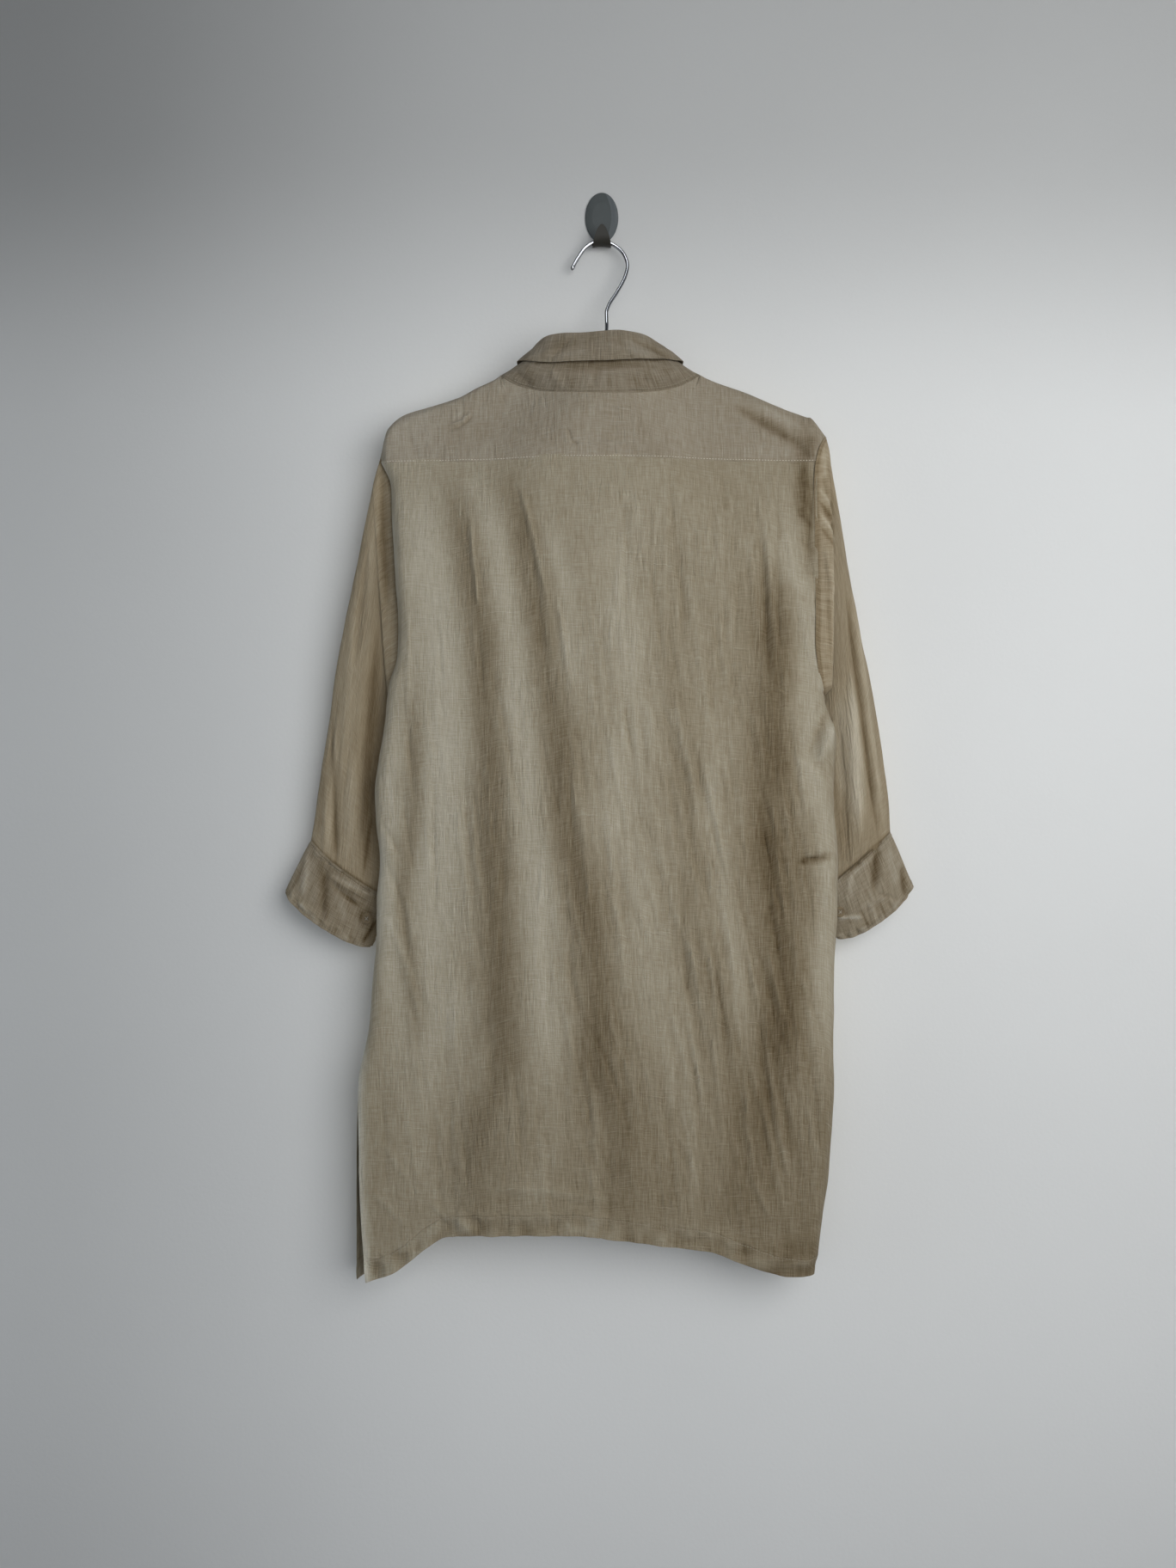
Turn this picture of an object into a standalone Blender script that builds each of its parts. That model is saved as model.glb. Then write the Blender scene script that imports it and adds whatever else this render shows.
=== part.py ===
"""A long linen shirt on its hanger, hung by the hanger's wire from a wall hook.

Metres, +Z up. The wall is the plane y = 0 and the origin is the centre of the hook plate's back face.
The shirt's back faces -Y, its front faces the wall, and the wearer's left is at -X.
"""
import bpy
import numpy as np
from math import pi

# Driving sizes
WALL = 0.0012            # thickness of the cloth walls
SEAM_GAP = 0.00035       # clear gap between two pieces at a seam
SEAM_REACH = 0.0009      # from an edge to the middle of a wall that meets it at an angle
FRONT_DROP = 0.0008      # the fronts' upper edges lie this far under the yoke and the neck line
STAND_REACH = 0.0018     # the same where the stand leans over the neck's edge
ARMPIT_REACH = 0.0014    # and where three pieces meet at the armpit
LEFT_SLEEVE_MORE = 0.0005    # the left sleeve stands this much further off
RIDGE_RADIUS = 0.012     # the cloth's turn over the hanger
RIDGE_SPREAD = 0.160     # height over which the body opens to its full depth
YOKE_SEAM_Z = -0.2735    # the back yoke seam
YOKE_FORWARD = 0.025     # how far the yoke reaches over the shoulder to the front
ARMPIT_Z = -0.510
NECK_HALF = 0.1027       # half the width of the neck seam
NECK_X = -0.0022         # its middle
NECK_BACK_Z = -0.2080
NECK_FRONT_Z = -0.2650
TURN_SHARE = 0.10        # share of a panel's half width that turns into the body's side
TURN_REACH = 0.066       # the same turn, as a share of the half width in x
OVERLAP = 0.015          # each front reaches this far past the centre
OVERLAP_STEP = 0.0021    # the left front lies this far outside the right one
STEP_START = 0.055       # it leaves the right one's depth from here to the centre
STEP_WIDTH = 0.035
CUFF_STEP = 0.0021       # a cuff's upper end lies this far outside its under end
CUFF_LIFT_TURN = 1.7     # and rises to that over this much of its turn
PLACKET_THICK = 0.0010
LABEL_THICK = 0.0008
EDGE_SHARE = 0.0009      # half the gap at a side seam, as a share of the half width
BUTTON_RADIUS = 0.0057
BUTTON_THICK = 0.0022
BUTTON_CLEAR = 0.0005    # a button lies this far off the cloth
STAND_BUTTON_CLEAR = 0.0008
WIRE_RADIUS = 0.0019

LINEN = (0.29, 0.262, 0.205, 1.0)
LINEN_DARK = (0.262, 0.236, 0.184, 1.0)
BUTTON_COLOUR = (0.33, 0.29, 0.22, 1.0)
WOOD = (0.42, 0.30, 0.18, 1.0)
CHROME = (0.75, 0.75, 0.76, 1.0)
PLATE_GREY = (0.075, 0.085, 0.090, 1.0)
LABEL_COLOUR = (0.60, 0.58, 0.52, 1.0)

# The shoulder line, left tip to right tip: x and height. Between the neck sides it is a guide only.
RIDGE = dict(
    x=(-0.2279, -0.2226, -0.2148, -0.2040, -0.1721, -0.1465, -0.1297, -0.1049, -0.060, -0.002,
       0.057, 0.1005, 0.1447, 0.1730, 0.2058, 0.2146, 0.2222, 0.2297),
    z=(-0.2681, -0.2425, -0.2301, -0.2221, -0.2124, -0.2035, -0.1937, -0.1810, -0.130, -0.065,
       -0.130, -0.1800, -0.1982, -0.2106, -0.2230, -0.2262, -0.2325, -0.2451))

# The body's left and right sides: height and x
LEFT_SIDE = dict(
    z=(-1.110, -1.020, -0.943, -0.900, -0.875, -0.853, -0.809, -0.764, -0.721, -0.677, -0.642,
       -0.607, -0.572, -0.537, -0.502, -0.467, -0.432, -0.397, -0.362, -0.327, -0.296, -0.268),
    x=(-0.2522, -0.2520, -0.2515, -0.2490, -0.2425, -0.2386, -0.2351, -0.2307, -0.2302, -0.2264,
       -0.2303, -0.2325, -0.2281, -0.2229, -0.2185, -0.2095, -0.2089, -0.2112, -0.2132, -0.2150,
       -0.2165, -0.2279))
RIGHT_SIDE = dict(
    z=(-1.110, -1.099, -1.082, -1.042, -0.992, -0.9045, -0.808, -0.721, -0.677, -0.620, -0.585,
       -0.556, -0.530, -0.512, -0.470, -0.400, -0.300, -0.245),
    x=(0.2140, 0.2164, 0.2199, 0.2243, 0.2313, 0.2357, 0.2357, 0.2396, 0.2396, 0.2362, 0.2362,
       0.2385, 0.2313, 0.2262, 0.2305, 0.2325, 0.2312, 0.2297))

# The body's depth: height, middle plane, then its reach to the camera and to the wall,
# each at the centre and beside the arms
DEPTH = dict(
    z=(-1.110, -0.900, -0.700, -0.510, -0.380, -0.271, -0.180),
    plane=(-0.0445, -0.0445, -0.0445, -0.0440, -0.0430, -0.0400, -0.0360),
    near_mid=(0.0310, 0.0320, 0.0320, 0.0320, 0.0320, 0.0330, 0.0330),
    near_edge=(0.0150, 0.0150, 0.0150, 0.0160, 0.0190, 0.0180, 0.0160),
    far_mid=(0.0290, 0.0290, 0.0290, 0.0285, 0.0280, 0.0250, 0.0200),
    far_edge=(0.0140, 0.0140, 0.0140, 0.0145, 0.0160, 0.0160, 0.0150))

# The hems, from the left side to the right: x and height
HEM_BACK = dict(
    x=(-0.245, -0.209, -0.176, -0.155, -0.100, -0.034, 0.025, 0.076, 0.108, 0.148, 0.187, 0.216),
    z=(-1.106, -1.092, -1.067, -1.056, -1.0525, -1.051, -1.057, -1.0645, -1.070, -1.086, -1.098,
       -1.099))
HEM_FRONT = dict(
    x=(-0.252, -0.209, -0.150, -0.034, 0.076, 0.148, 0.187, 0.216),
    z=(-1.108, -1.092, -1.056, -1.040, -1.050, -1.078, -1.096, -1.099))

# Long folds: x at the top and at the hem, upper and lower end, half width, height of the ridge.
# A valley has a negative height.
FOLDS_BACK = dict(
    top_x=(-0.178, -0.150, -0.112, -0.088, -0.045, 0.010, 0.075, 0.110, 0.160, 0.190),
    hem_x=(-0.185, -0.150, -0.088, -0.036, 0.048, 0.105, 0.120, 0.165, 0.150, 0.205),
    top_z=(-0.40, -0.34, -0.33, -0.36, -0.30, -0.45, -0.55, -0.60, -0.42, -0.30),
    low_z=(-1.00, -1.30, -1.30, -1.30, -1.30, -1.25, -1.00, -1.20, -0.95, -0.80),
    half=(0.018, 0.024, 0.026, 0.024, 0.034, 0.030, 0.022, 0.026, 0.026, 0.020),
    high=(0.0060, -0.0075, 0.0080, -0.0075, 0.0075, -0.0050, 0.0040, -0.0050, -0.0060, 0.0060))
FOLDS_FRONT = dict(
    top_x=(-0.140, -0.085, 0.090, 0.150),
    hem_x=(-0.150, -0.070, 0.080, 0.160),
    top_z=(-0.36, -0.45, -0.42, -0.36),
    low_z=(-1.30, -1.30, -1.30, -1.30),
    half=(0.026, 0.024, 0.026, 0.026),
    high=(0.0050, -0.0060, -0.0060, 0.0050))

# Where the panels end at the sides, as shares of the half width that turn round the side.
# The left opening for the arm lies behind the side, the right one shows its back seam.
ARM_LEFT = dict(sign=-1, tip_z=-0.2681, near=0.015, far=0.150, yoke_x=-0.2215)
ARM_RIGHT = dict(sign=1, tip_z=-0.2451, near=-0.100, far=0.100, yoke_x=0.2150)
# The side seams lie this share behind the sides, at the armpit and at the hem
SEAM_ARMPIT = 0.015
SEAM_HEM = {-1: 0.015, 1: 0.110}
RIGHT_VENT_Z = -0.880
LEFT_VENT = dict(
    z=(-1.110, -1.070, -1.020, -0.943, -0.900, -0.875, -0.860),
    back_off=(0.105, 0.090, 0.072, 0.056, 0.044, 0.020, 0.0))

# The sleeves, shoulder to cuff: the outer and the inner end of each section (x, z and depth),
# its reach to the camera and to the wall, and how far its near side bows outward
SLEEVE_LEFT = dict(
    outer_x=(-0.2335, -0.2372, -0.2425, -0.2485, -0.2591, -0.2686, -0.2769, -0.2842, -0.2905,
             -0.2959, -0.3018),
    outer_z=(-0.2850, -0.3020, -0.3260, -0.3537, -0.4051, -0.4500, -0.4960, -0.5457, -0.5849,
             -0.6205, -0.6570),
    outer_y=(-0.036, -0.036, -0.036, -0.035, -0.034, -0.032, -0.030, -0.028, -0.026, -0.0245, -0.0235),
    inner_x=(-0.2215, -0.2200, -0.2185, -0.2180, -0.2180, -0.2180, -0.2180, -0.2180, -0.2185,
             -0.2190, -0.2205),
    inner_z=(-0.5080, -0.5170, -0.5330, -0.5520, -0.5740, -0.5960, -0.6180, -0.6400, -0.6640,
             -0.6880, -0.7165),
    inner_y=(-0.0300, -0.0215, -0.0175, -0.0165, -0.0160, -0.0160, -0.0160, -0.0160, -0.0160,
             -0.0160, -0.0165),
    near=(0.0060, 0.0080, 0.0100, 0.0120, 0.0130, 0.0135, 0.0140, 0.0140, 0.0140, 0.0135, 0.0125),
    far=(0.0110, 0.0115, 0.0110, 0.0105, 0.0100, 0.0100, 0.0100, 0.0100, 0.0100, 0.0100, 0.0100),
    bow=(0.0, 0.0, 0.0, 0.0, 0.0, 0.0, 0.0, 0.0, 0.0, 0.0, 0.0))
SLEEVE_RIGHT = dict(
    outer_x=(0.2332, 0.2370, 0.2432, 0.2503, 0.2583, 0.2674, 0.2763, 0.2852, 0.2923, 0.2971, 0.2995),
    outer_z=(-0.2560, -0.2790, -0.3147, -0.3590, -0.4033, -0.4488, -0.4890, -0.5359, -0.5804,
             -0.6161, -0.6490),
    outer_y=(-0.037, -0.036, -0.036, -0.035, -0.033, -0.031, -0.029, -0.027, -0.025, -0.024, -0.0235),
    inner_x=(0.2335, 0.2300, 0.2255, 0.2235, 0.2225, 0.2220, 0.2220, 0.2220, 0.2225, 0.2235, 0.2245),
    inner_z=(-0.5030, -0.5130, -0.5330, -0.5540, -0.5760, -0.5980, -0.6200, -0.6440, -0.6680,
             -0.6920, -0.7172),
    inner_y=(-0.0450, -0.0240, -0.0175, -0.0165, -0.0160, -0.0160, -0.0160, -0.0160, -0.0160,
             -0.0160, -0.0165),
    near=(0.0170, 0.0100, 0.0120, 0.0130, 0.0135, 0.0140, 0.0140, 0.0140, 0.0140, 0.0135, 0.0125),
    far=(0.0150, 0.0130, 0.0110, 0.0105, 0.0100, 0.0100, 0.0100, 0.0100, 0.0100, 0.0100, 0.0100),
    bow=(0.0, -0.006, -0.002, 0.0, 0.0, 0.0, 0.0, 0.0, 0.0, 0.0, 0.0))
# Lengthwise valleys of a sleeve: angle round it from the outer edge, half width, depth, first section
SLEEVE_VALLEYS = dict(
    left=((2.20, 0.34, 0.0060, 3),),
    right=((1.95, 0.36, 0.0050, 4),))

# The cuffs' lower rims, and how far the seam and the rim dip between their ends
CUFF_LEFT = dict(outer=(-0.3302, -0.0235, -0.7126), inner=(-0.2400, -0.0170, -0.7690),
                 dip=(0.0055, 0.0100))
CUFF_RIGHT = dict(outer=(0.3233, -0.0235, -0.7064), inner=(0.2443, -0.0170, -0.7600),
                  dip=(-0.0020, 0.0110))
CUFF_NEAR = 0.0135
CUFF_FAR = 0.0110
CUFF_UNDER = 2.25        # angle at which the under end starts
CUFF_OVER = 2.80         # angle at which the upper end stops, one turn later
CUFF_BUTTON = 2.30
CUFF_BUTTON_SHARE = 0.5  # its place between the seam and the rim
CUFF_ROWS = (0.013, 0.5, 1.0)    # shares of the way from the sleeve's end to the rim

# The collar's rings, from the neck seam up the stand, over the roll and down to the free edge:
# half width, reach to the camera and to the wall, how far its front leaves the neck seam's depth
# for that reach, its heights at the back, the sides and the front, and the power of the cosine
# that takes it down to the front
COLLAR = dict(
    half=(0.1027, 0.0920, 0.0824, 0.0755, 0.0696, 0.0704, 0.0714, 0.0785, 0.0850),
    near=(-0.0730, -0.0725, -0.0715, -0.0702, -0.0688, -0.0702, -0.0718, -0.0755, -0.0775),
    far=(-0.0180, -0.0190, -0.0195, -0.0200, -0.0205, -0.0190, -0.0175, -0.0135, -0.0110),
    lean=(0.0, 0.15, 0.35, 0.50, 1.0, 1.0, 1.0, 1.0, 1.0),
    back_z=(-0.2080, -0.1900, -0.1735, -0.1600, -0.1490, -0.1478, -0.1492, -0.1620, -0.1785),
    side_z=(-0.1810, -0.1762, -0.1705, -0.1655, -0.1604, -0.1592, -0.1600, -0.1640, -0.1690),
    front_z=(-0.2650, -0.2500, -0.2360, -0.2290, -0.2222, -0.2212, -0.2226, -0.2500, -0.2850),
    rise=(1.3, 1.3, 1.3, 1.3, 1.3, 1.3, 1.4, 1.7, 2.0))
STAND_RINGS = 3          # the first rings make the stand
ROLL_RING = 5            # the ring along the top of the roll
BACK_FLAT = 0.5          # the rings are level at the back over this share of their half width,
BACK_FALL = 1.8          # then fall to the sides by this power
FRONT_ROUND = 0.65       # power of the cosine that shapes their front
FALL_REST = 0.0018       # the fall's middle lies this far outside the fronts' middle
FALL_OPENING = 0.16      # half the angle left open at the front
FALL_SPREAD = 0.34       # how much further the points spread
SIDE_SHARE = 0.22        # share of the front neck curve that the yoke's forward part takes

# The hanger's wire, from its tip over the wall hook and down to the wood
WIRE_PATH = (
    (-0.0318, -0.0110, -0.0601), (-0.0290, -0.0106, -0.0535), (-0.0245, -0.0102, -0.0457),
    (-0.0164, -0.0100, -0.0352), (-0.0074, -0.0100, -0.0306), (-0.0002, -0.0100, -0.0302),
    (0.0068, -0.0100, -0.0309), (0.0160, -0.0106, -0.0358), (0.0236, -0.0124, -0.0450),
    (0.0268, -0.0146, -0.0567), (0.0243, -0.0170, -0.0690), (0.0156, -0.0205, -0.0869),
    (0.0066, -0.0240, -0.1030), (0.0045, -0.0258, -0.1110), (0.0048, -0.0290, -0.1254),
    (0.0036, -0.0340, -0.1400), (0.0018, -0.0372, -0.1558))
HANGER_HALF = 0.2030     # half the hanger's width
HANGER_X = 0.0010
HANGER_APEX_Z = -0.1625
HANGER_SHOULDER = 0.109  # inside this the wood leaves the cloth and rises to the wire
HANGER_RISE = 0.9        # power of that rise
HANGER_HALF_DEPTH = 0.0086
HANGER_HALF_HEIGHT = 0.0072
HANGER_NECK = (0.0050, 0.0060)   # half depth and half height inside the neck
HANGER_NECK_X = 0.090    # the wood thickens from here outward
HANGER_NECK_TURN = 0.020
HANGER_TIP = 0.75        # share of its half width beyond which it tapers to a rounded end
HANGER_GAP = 0.0017

# The wall hook: an oval plate whose foot turns up into a tongue
PLATE_HALF = (0.0175, 0.0265)
PLATE_RIM = 0.0012
PLATE_CROWN = 0.0014
TONGUE_THICK = 0.0014
TONGUE_SAG = 0.0010      # the tongue's edges lie lower than its middle, as the wire does
TONGUE = dict(
    y=(-0.0012, -0.0016, -0.0040, -0.0070, -0.0100, -0.0132, -0.0160, -0.0175, -0.0178, -0.0176,
       -0.0174),
    z=(-0.0215, -0.0266, -0.0312, -0.0331, -0.0336, -0.0329, -0.0304, -0.0267, -0.0221, -0.0180,
       -0.0146),
    half=(0.0080, 0.0095, 0.0098, 0.0096, 0.0094, 0.0092, 0.0088, 0.0078, 0.0062, 0.0044, 0.0020))

FRONT_BUTTONS = dict(first_z=-0.305, pitch=0.095, count=7)
LABEL = dict(x=(-0.0310, 0.0337), z=(-0.2552, -0.2216))

# How finely the pieces are divided. The yoke's rows follow its turn over the hanger: distances
# from the shoulder line, and at the armhole shares of the way from the yoke's edges to its tip.
YOKE_TURNS = (-0.0165, -0.0075, 0.0, 0.0075, 0.0165)
YOKE_BOTTOM = (-0.1012, 0.0968)  # x on the back seam of its first and last column at the neck
YOKE_END = dict(back=(1.0, 0.55, 0.22, 0.06), front=(0.25, 0.6, 1.0))
BACK_COLUMNS = 36
BACK_UPPER_ROWS = 8
LOWER_ROWS = 16
YOKE_SHOULDER = 6
YOKE_NECK = 14
FRONT_SHOULDER = 5
FRONT_NECK = 7
CUFF_COLUMNS = 24


def through(x, xs, ys):
    """A smooth curve through a table's points that never overshoots between them."""
    xs, ys = np.asarray(xs, float), np.asarray(ys, float)
    step = np.diff(xs)
    slope = np.diff(ys) / step
    tangent = np.zeros_like(ys)
    left, right = slope[:-1], slope[1:]
    same = left * right > 0
    total = np.where(same, left + right, 1.0)
    tangent[1:-1] = np.where(same, 2 * left * right / total, 0.0)
    tangent[0], tangent[-1] = slope[0], slope[-1]
    x = np.clip(np.asarray(x, float), xs[0], xs[-1])
    i = np.clip(np.searchsorted(xs, x) - 1, 0, len(xs) - 2)
    u = (x - xs[i]) / step[i]
    h = step[i]
    start = (1 + 2 * u) * (1 - u) ** 2 * ys[i] + u * (1 - u) ** 2 * h * tangent[i]
    end = u * u * (3 - 2 * u) * ys[i + 1] + u * u * (u - 1) * h * tangent[i + 1]
    return start + end


def smooth(value):
    value = np.clip(value, 0.0, 1.0)
    return value * value * (3 - 2 * value)


def blend(start, end, share):
    return start + (end - start) * share


def ridge_z(x):
    return through(x, RIDGE["x"], RIDGE["z"])


def side_x(z):
    return through(z, LEFT_SIDE["z"], LEFT_SIDE["x"]), through(z, RIGHT_SIDE["z"], RIGHT_SIDE["x"])


def share_to_across(t):
    """Turn a share of the half width (-1 to 1) into a position across, slowing down at the turn."""
    size = np.abs(t)
    turn = np.clip((1 - size) / TURN_SHARE, 0, 1) * pi / 2
    flat = size * (1 - TURN_REACH) / (1 - TURN_SHARE)
    return np.sign(t) * np.where(size < 1 - TURN_SHARE, flat, 1 - TURN_REACH * (1 - np.cos(turn)))


def closing(across):
    """How far the depth has closed at a position across: 1 inside, 0 at the side."""
    over = np.clip((np.abs(across) - (1 - TURN_REACH)) / TURN_REACH, 0, 1)
    return np.sqrt(np.maximum(1 - over ** 2, 0))


def folds(x, z, table):
    total = np.zeros(np.broadcast(x, z).shape)
    for top_x, hem_x, top_z, low_z, half, high in zip(*(table[name] for name in (
            "top_x", "hem_x", "top_z", "low_z", "half", "high"))):
        down = np.clip((z - YOKE_SEAM_Z) / (-1.09 - YOKE_SEAM_Z), 0, 1)
        middle = blend(top_x, hem_x, down)
        fade = smooth((top_z - z) / 0.12) * smooth((z - low_z) / 0.16)
        total = total + high * fade * np.exp(-((x - middle) / half) ** 2)
    return total


def depth_point(x, z, toward_wall):
    """The point of the body's cloth at x and z, on the wall side or on the camera side."""
    left, right = side_x(z)
    across = np.clip((2 * x - left - right) / (right - left), -1, 1)
    side = "far" if toward_wall else "near"
    middle = through(z, DEPTH["z"], DEPTH[side + "_mid"])
    edge = through(z, DEPTH["z"], DEPTH[side + "_edge"])
    reach = edge + (middle - edge) * np.cos(across * pi / 2) ** 2
    below = np.maximum(ridge_z(x) - z, 0)
    round_over = np.sqrt(np.maximum(1 - (1 - np.minimum(below / RIDGE_RADIUS, 1)) ** 2, 0))
    first = RIDGE_RADIUS / reach
    opened = first * round_over + (1 - first) * smooth(below / RIDGE_SPREAD)
    table = FOLDS_FRONT if toward_wall else FOLDS_BACK
    depth = (reach * opened + folds(x, z, table)) * closing(across)
    plane = through(z, DEPTH["z"], DEPTH["plane"])
    y = plane + depth if toward_wall else plane - depth
    return np.stack(np.broadcast_arrays(x, y, z), -1)


def body_point(t, z):
    """The body's cloth at a share t round it: -1 to 1 is the back, beyond it the front."""
    t, z = np.broadcast_arrays(np.asarray(t, float), np.asarray(z, float))
    turned = np.where(np.abs(t) > 1, np.sign(t) * (2 - np.abs(t)), t)
    left, right = side_x(z)
    x = (left + right) / 2 + (right - left) / 2 * share_to_across(turned)
    return np.where((np.abs(t) > 1)[..., None], depth_point(x, z, True), depth_point(x, z, False))


def arm_edges(z, arm):
    """The shares at which the back and the front end at the armhole, at a height."""
    h = np.clip((arm["tip_z"] - z) / (arm["tip_z"] - ARMPIT_Z), 0, 1)
    bow = np.sqrt(np.maximum(1 - np.abs(2 * h - 1) ** 6, 0))
    base = 1 + SEAM_ARMPIT * smooth((h - 0.80) / 0.20)
    return arm["sign"] * (base + arm["near"] * bow), arm["sign"] * (base + arm["far"] * bow)


def seam_share(z, sign):
    """The share at which a side seam lies, below the armpit."""
    return 1 + blend(SEAM_ARMPIT, SEAM_HEM[sign], smooth((ARMPIT_Z - z) / 0.30))


def normals_of(grid, around):
    """Unit normals of a grid of points, rows by columns."""
    if around:
        wrapped = np.concatenate((grid[:, -1:], grid, grid[:, :1]), axis=1)
        along_row = (wrapped[:, 2:] - wrapped[:, :-2])
    else:
        along_row = np.gradient(grid, axis=1, edge_order=2)
    along_column = np.gradient(grid, axis=0, edge_order=2)
    normal = np.cross(along_row, along_column)
    length = np.linalg.norm(normal, axis=2, keepdims=True)
    return normal / np.maximum(length, 1e-12)


def shell(name, grid, colour, thickness=WALL, around=False):
    """A closed wall of one thickness round a grid of points, as one object."""
    rows, columns = grid.shape[:2]
    normal = normals_of(grid, around)
    skins = np.concatenate(((grid + normal * thickness / 2).reshape(-1, 3),
                            (grid - normal * thickness / 2).reshape(-1, 3)))
    half = rows * columns
    last = columns if around else columns - 1
    faces = []
    for r in range(rows - 1):
        for c in range(last):
            a, b = r * columns + c, r * columns + (c + 1) % columns
            d, e = a + columns, b + columns
            faces.append((a, b, e, d))
            faces.append((half + a, half + d, half + e, half + b))
    if around:
        top = [(c, (c + 1) % columns) for c in range(columns)]
        bottom = [((rows - 1) * columns + (c + 1) % columns, (rows - 1) * columns + c)
                  for c in range(columns)]
        border = top + bottom
    else:
        ring = [c for c in range(columns)]
        ring += [r * columns + columns - 1 for r in range(1, rows)]
        ring += [(rows - 1) * columns + c for c in range(columns - 2, -1, -1)]
        ring += [r * columns for r in range(rows - 2, 0, -1)]
        border = list(zip(ring, ring[1:] + ring[:1]))
    for a, b in border:
        faces.append((b, a, half + a, half + b))
    return solid(name, skins, faces, colour)


def volume_of(points, faces):
    """Six times the signed volume, positive when the faces point out."""
    total = 0.0
    for face in faces:
        for second, third in zip(face[1:], face[2:]):
            total += np.dot(points[face[0]], np.cross(points[second], points[third]))
    return total


def solid(name, points, faces, colour, roughness=0.85, metallic=0.0):
    """One closed object, its faces turned to point out."""
    points = np.asarray(points, float)
    if volume_of(points, faces) < 0:
        faces = [face[::-1] for face in faces]
    mesh = bpy.data.meshes.new(name)
    mesh.from_pydata([tuple(map(float, point)) for point in points], [], faces)
    mesh.validate()
    mesh.shade_smooth()
    mesh.set_sharp_from_angle(angle=0.7)
    material = bpy.data.materials.new(name)
    material.use_nodes = True
    shader = material.node_tree.nodes["Principled BSDF"]
    shader.inputs["Base Color"].default_value = colour
    shader.inputs["Roughness"].default_value = roughness
    shader.inputs["Metallic"].default_value = metallic
    mesh.materials.append(material)
    item = bpy.data.objects.new(name, mesh)
    bpy.context.collection.objects.link(item)
    return item


def tube(name, path, widths, heights, colour, sides=10, roughness=0.5, metallic=0.0, frame=None):
    """A closed bar along a path, with an oval section and rounded ends."""
    path = np.asarray(path, float)
    tangent = np.gradient(path, axis=0)
    tangent /= np.linalg.norm(tangent, axis=1, keepdims=True)
    side = np.cross(tangent, np.asarray(frame, float))
    side /= np.linalg.norm(side, axis=1, keepdims=True)
    upright = np.cross(side, tangent)
    points = [path[0]]
    for p, s, u, w, h in zip(path, side, upright, widths, heights):
        for k in range(sides):
            angle = 2 * pi * k / sides
            points.append(p + s * w * np.cos(angle) + u * h * np.sin(angle))
    points.append(path[-1])
    count = len(path)
    faces = [(0, 1 + (k + 1) % sides, 1 + k) for k in range(sides)]
    for r in range(count - 1):
        for k in range(sides):
            a, b = 1 + r * sides + k, 1 + r * sides + (k + 1) % sides
            faces.append((a, b, b + sides, a + sides))
    tail = 1 + (count - 1) * sides
    faces += [(tail + k, tail + (k + 1) % sides, tail + sides) for k in range(sides)]
    return solid(name, points, faces, colour, roughness, metallic)


def remove_all():
    for item in list(bpy.data.objects):
        bpy.data.objects.remove(item, do_unlink=True)


# The yoke and the neck line

def reach_to_z(x, w):
    """The height at a distance along the cloth from the shoulder line."""
    away = np.abs(w)
    quarter = RIDGE_RADIUS * pi / 2
    turned = RIDGE_RADIUS * (1 - np.cos(np.minimum(away, quarter) / RIDGE_RADIUS))
    return ridge_z(x) - turned - np.maximum(away - quarter, 0)


def z_to_reach(x, z):
    below = np.maximum(ridge_z(x) - z, 0)
    turned = RIDGE_RADIUS * np.arccos(1 - np.minimum(below / RIDGE_RADIUS, 1))
    return turned + np.maximum(below - RIDGE_RADIUS, 0)


def shoulder_point(x, w):
    """A point of the cloth over the shoulder, w back (negative) or forward from its line."""
    z = reach_to_z(x, w)
    return np.where((w > 0)[..., None], depth_point(x, z, True), depth_point(x, z, False))


def neck_side(sign):
    x = NECK_X + sign * NECK_HALF
    return x, float(ridge_z(x))


def neck_line(angle):
    """The neck seam at an angle round it: 0 is the centre back, +-pi the centre front."""
    out = np.zeros((len(angle), 3))
    for i, a in enumerate(angle):
        sign = 1.0 if a >= 0 else -1.0
        size = abs(a)
        side, side_height = neck_side(sign)
        if size <= pi / 2:
            x = NECK_X + NECK_HALF * np.sin(a)
            z = side_height + (NECK_BACK_Z - side_height) * np.cos(a) ** 1.3
            out[i] = depth_point(np.array(x), np.array(z), False)
            continue
        share = (size - pi / 2) / (pi / 2)
        if share < SIDE_SHARE:
            w = np.array(YOKE_FORWARD * share / SIDE_SHARE)
            out[i] = shoulder_point(np.array(side), w)
            continue
        turn = (share - SIDE_SHARE) / (1 - SIDE_SHARE) * pi / 2
        out[i] = front_neck(sign, np.array([turn]))[0]
    return out


def front_neck(sign, turn):
    """The front neck line from the yoke's corner (turn 0) to the centre front (a quarter turn)."""
    side, _ = neck_side(sign)
    corner = float(reach_to_z(side, YOKE_FORWARD))
    x = NECK_X + sign * NECK_HALF * np.cos(turn)
    z = corner + (NECK_FRONT_Z - corner) * np.sin(turn)
    return lift_left_front(depth_point(x, z, True), sign)


def lift_left_front(points, sign):
    """The left front's centre lies outside the right one's."""
    if sign < 0:
        points = points.copy()
        points[..., 1] += OVERLAP_STEP * smooth((points[..., 0] - (NECK_X - STEP_START)) / STEP_WIDTH)
    return points


def arm_heights(arm, front_reach):
    """Shares of the armhole's height where the back seam and the front seam meet it."""
    h = np.linspace(0, 0.4, 400)
    z = arm["tip_z"] + (ARMPIT_Z - arm["tip_z"]) * h
    back = (arm["tip_z"] - YOKE_SEAM_Z) / (arm["tip_z"] - ARMPIT_Z)
    _, far = arm_edges(z, arm)
    points = body_point(far, z)
    reach = z_to_reach(points[:, 0], z)
    front = float(np.interp(front_reach, reach, h))
    return back, front


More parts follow.
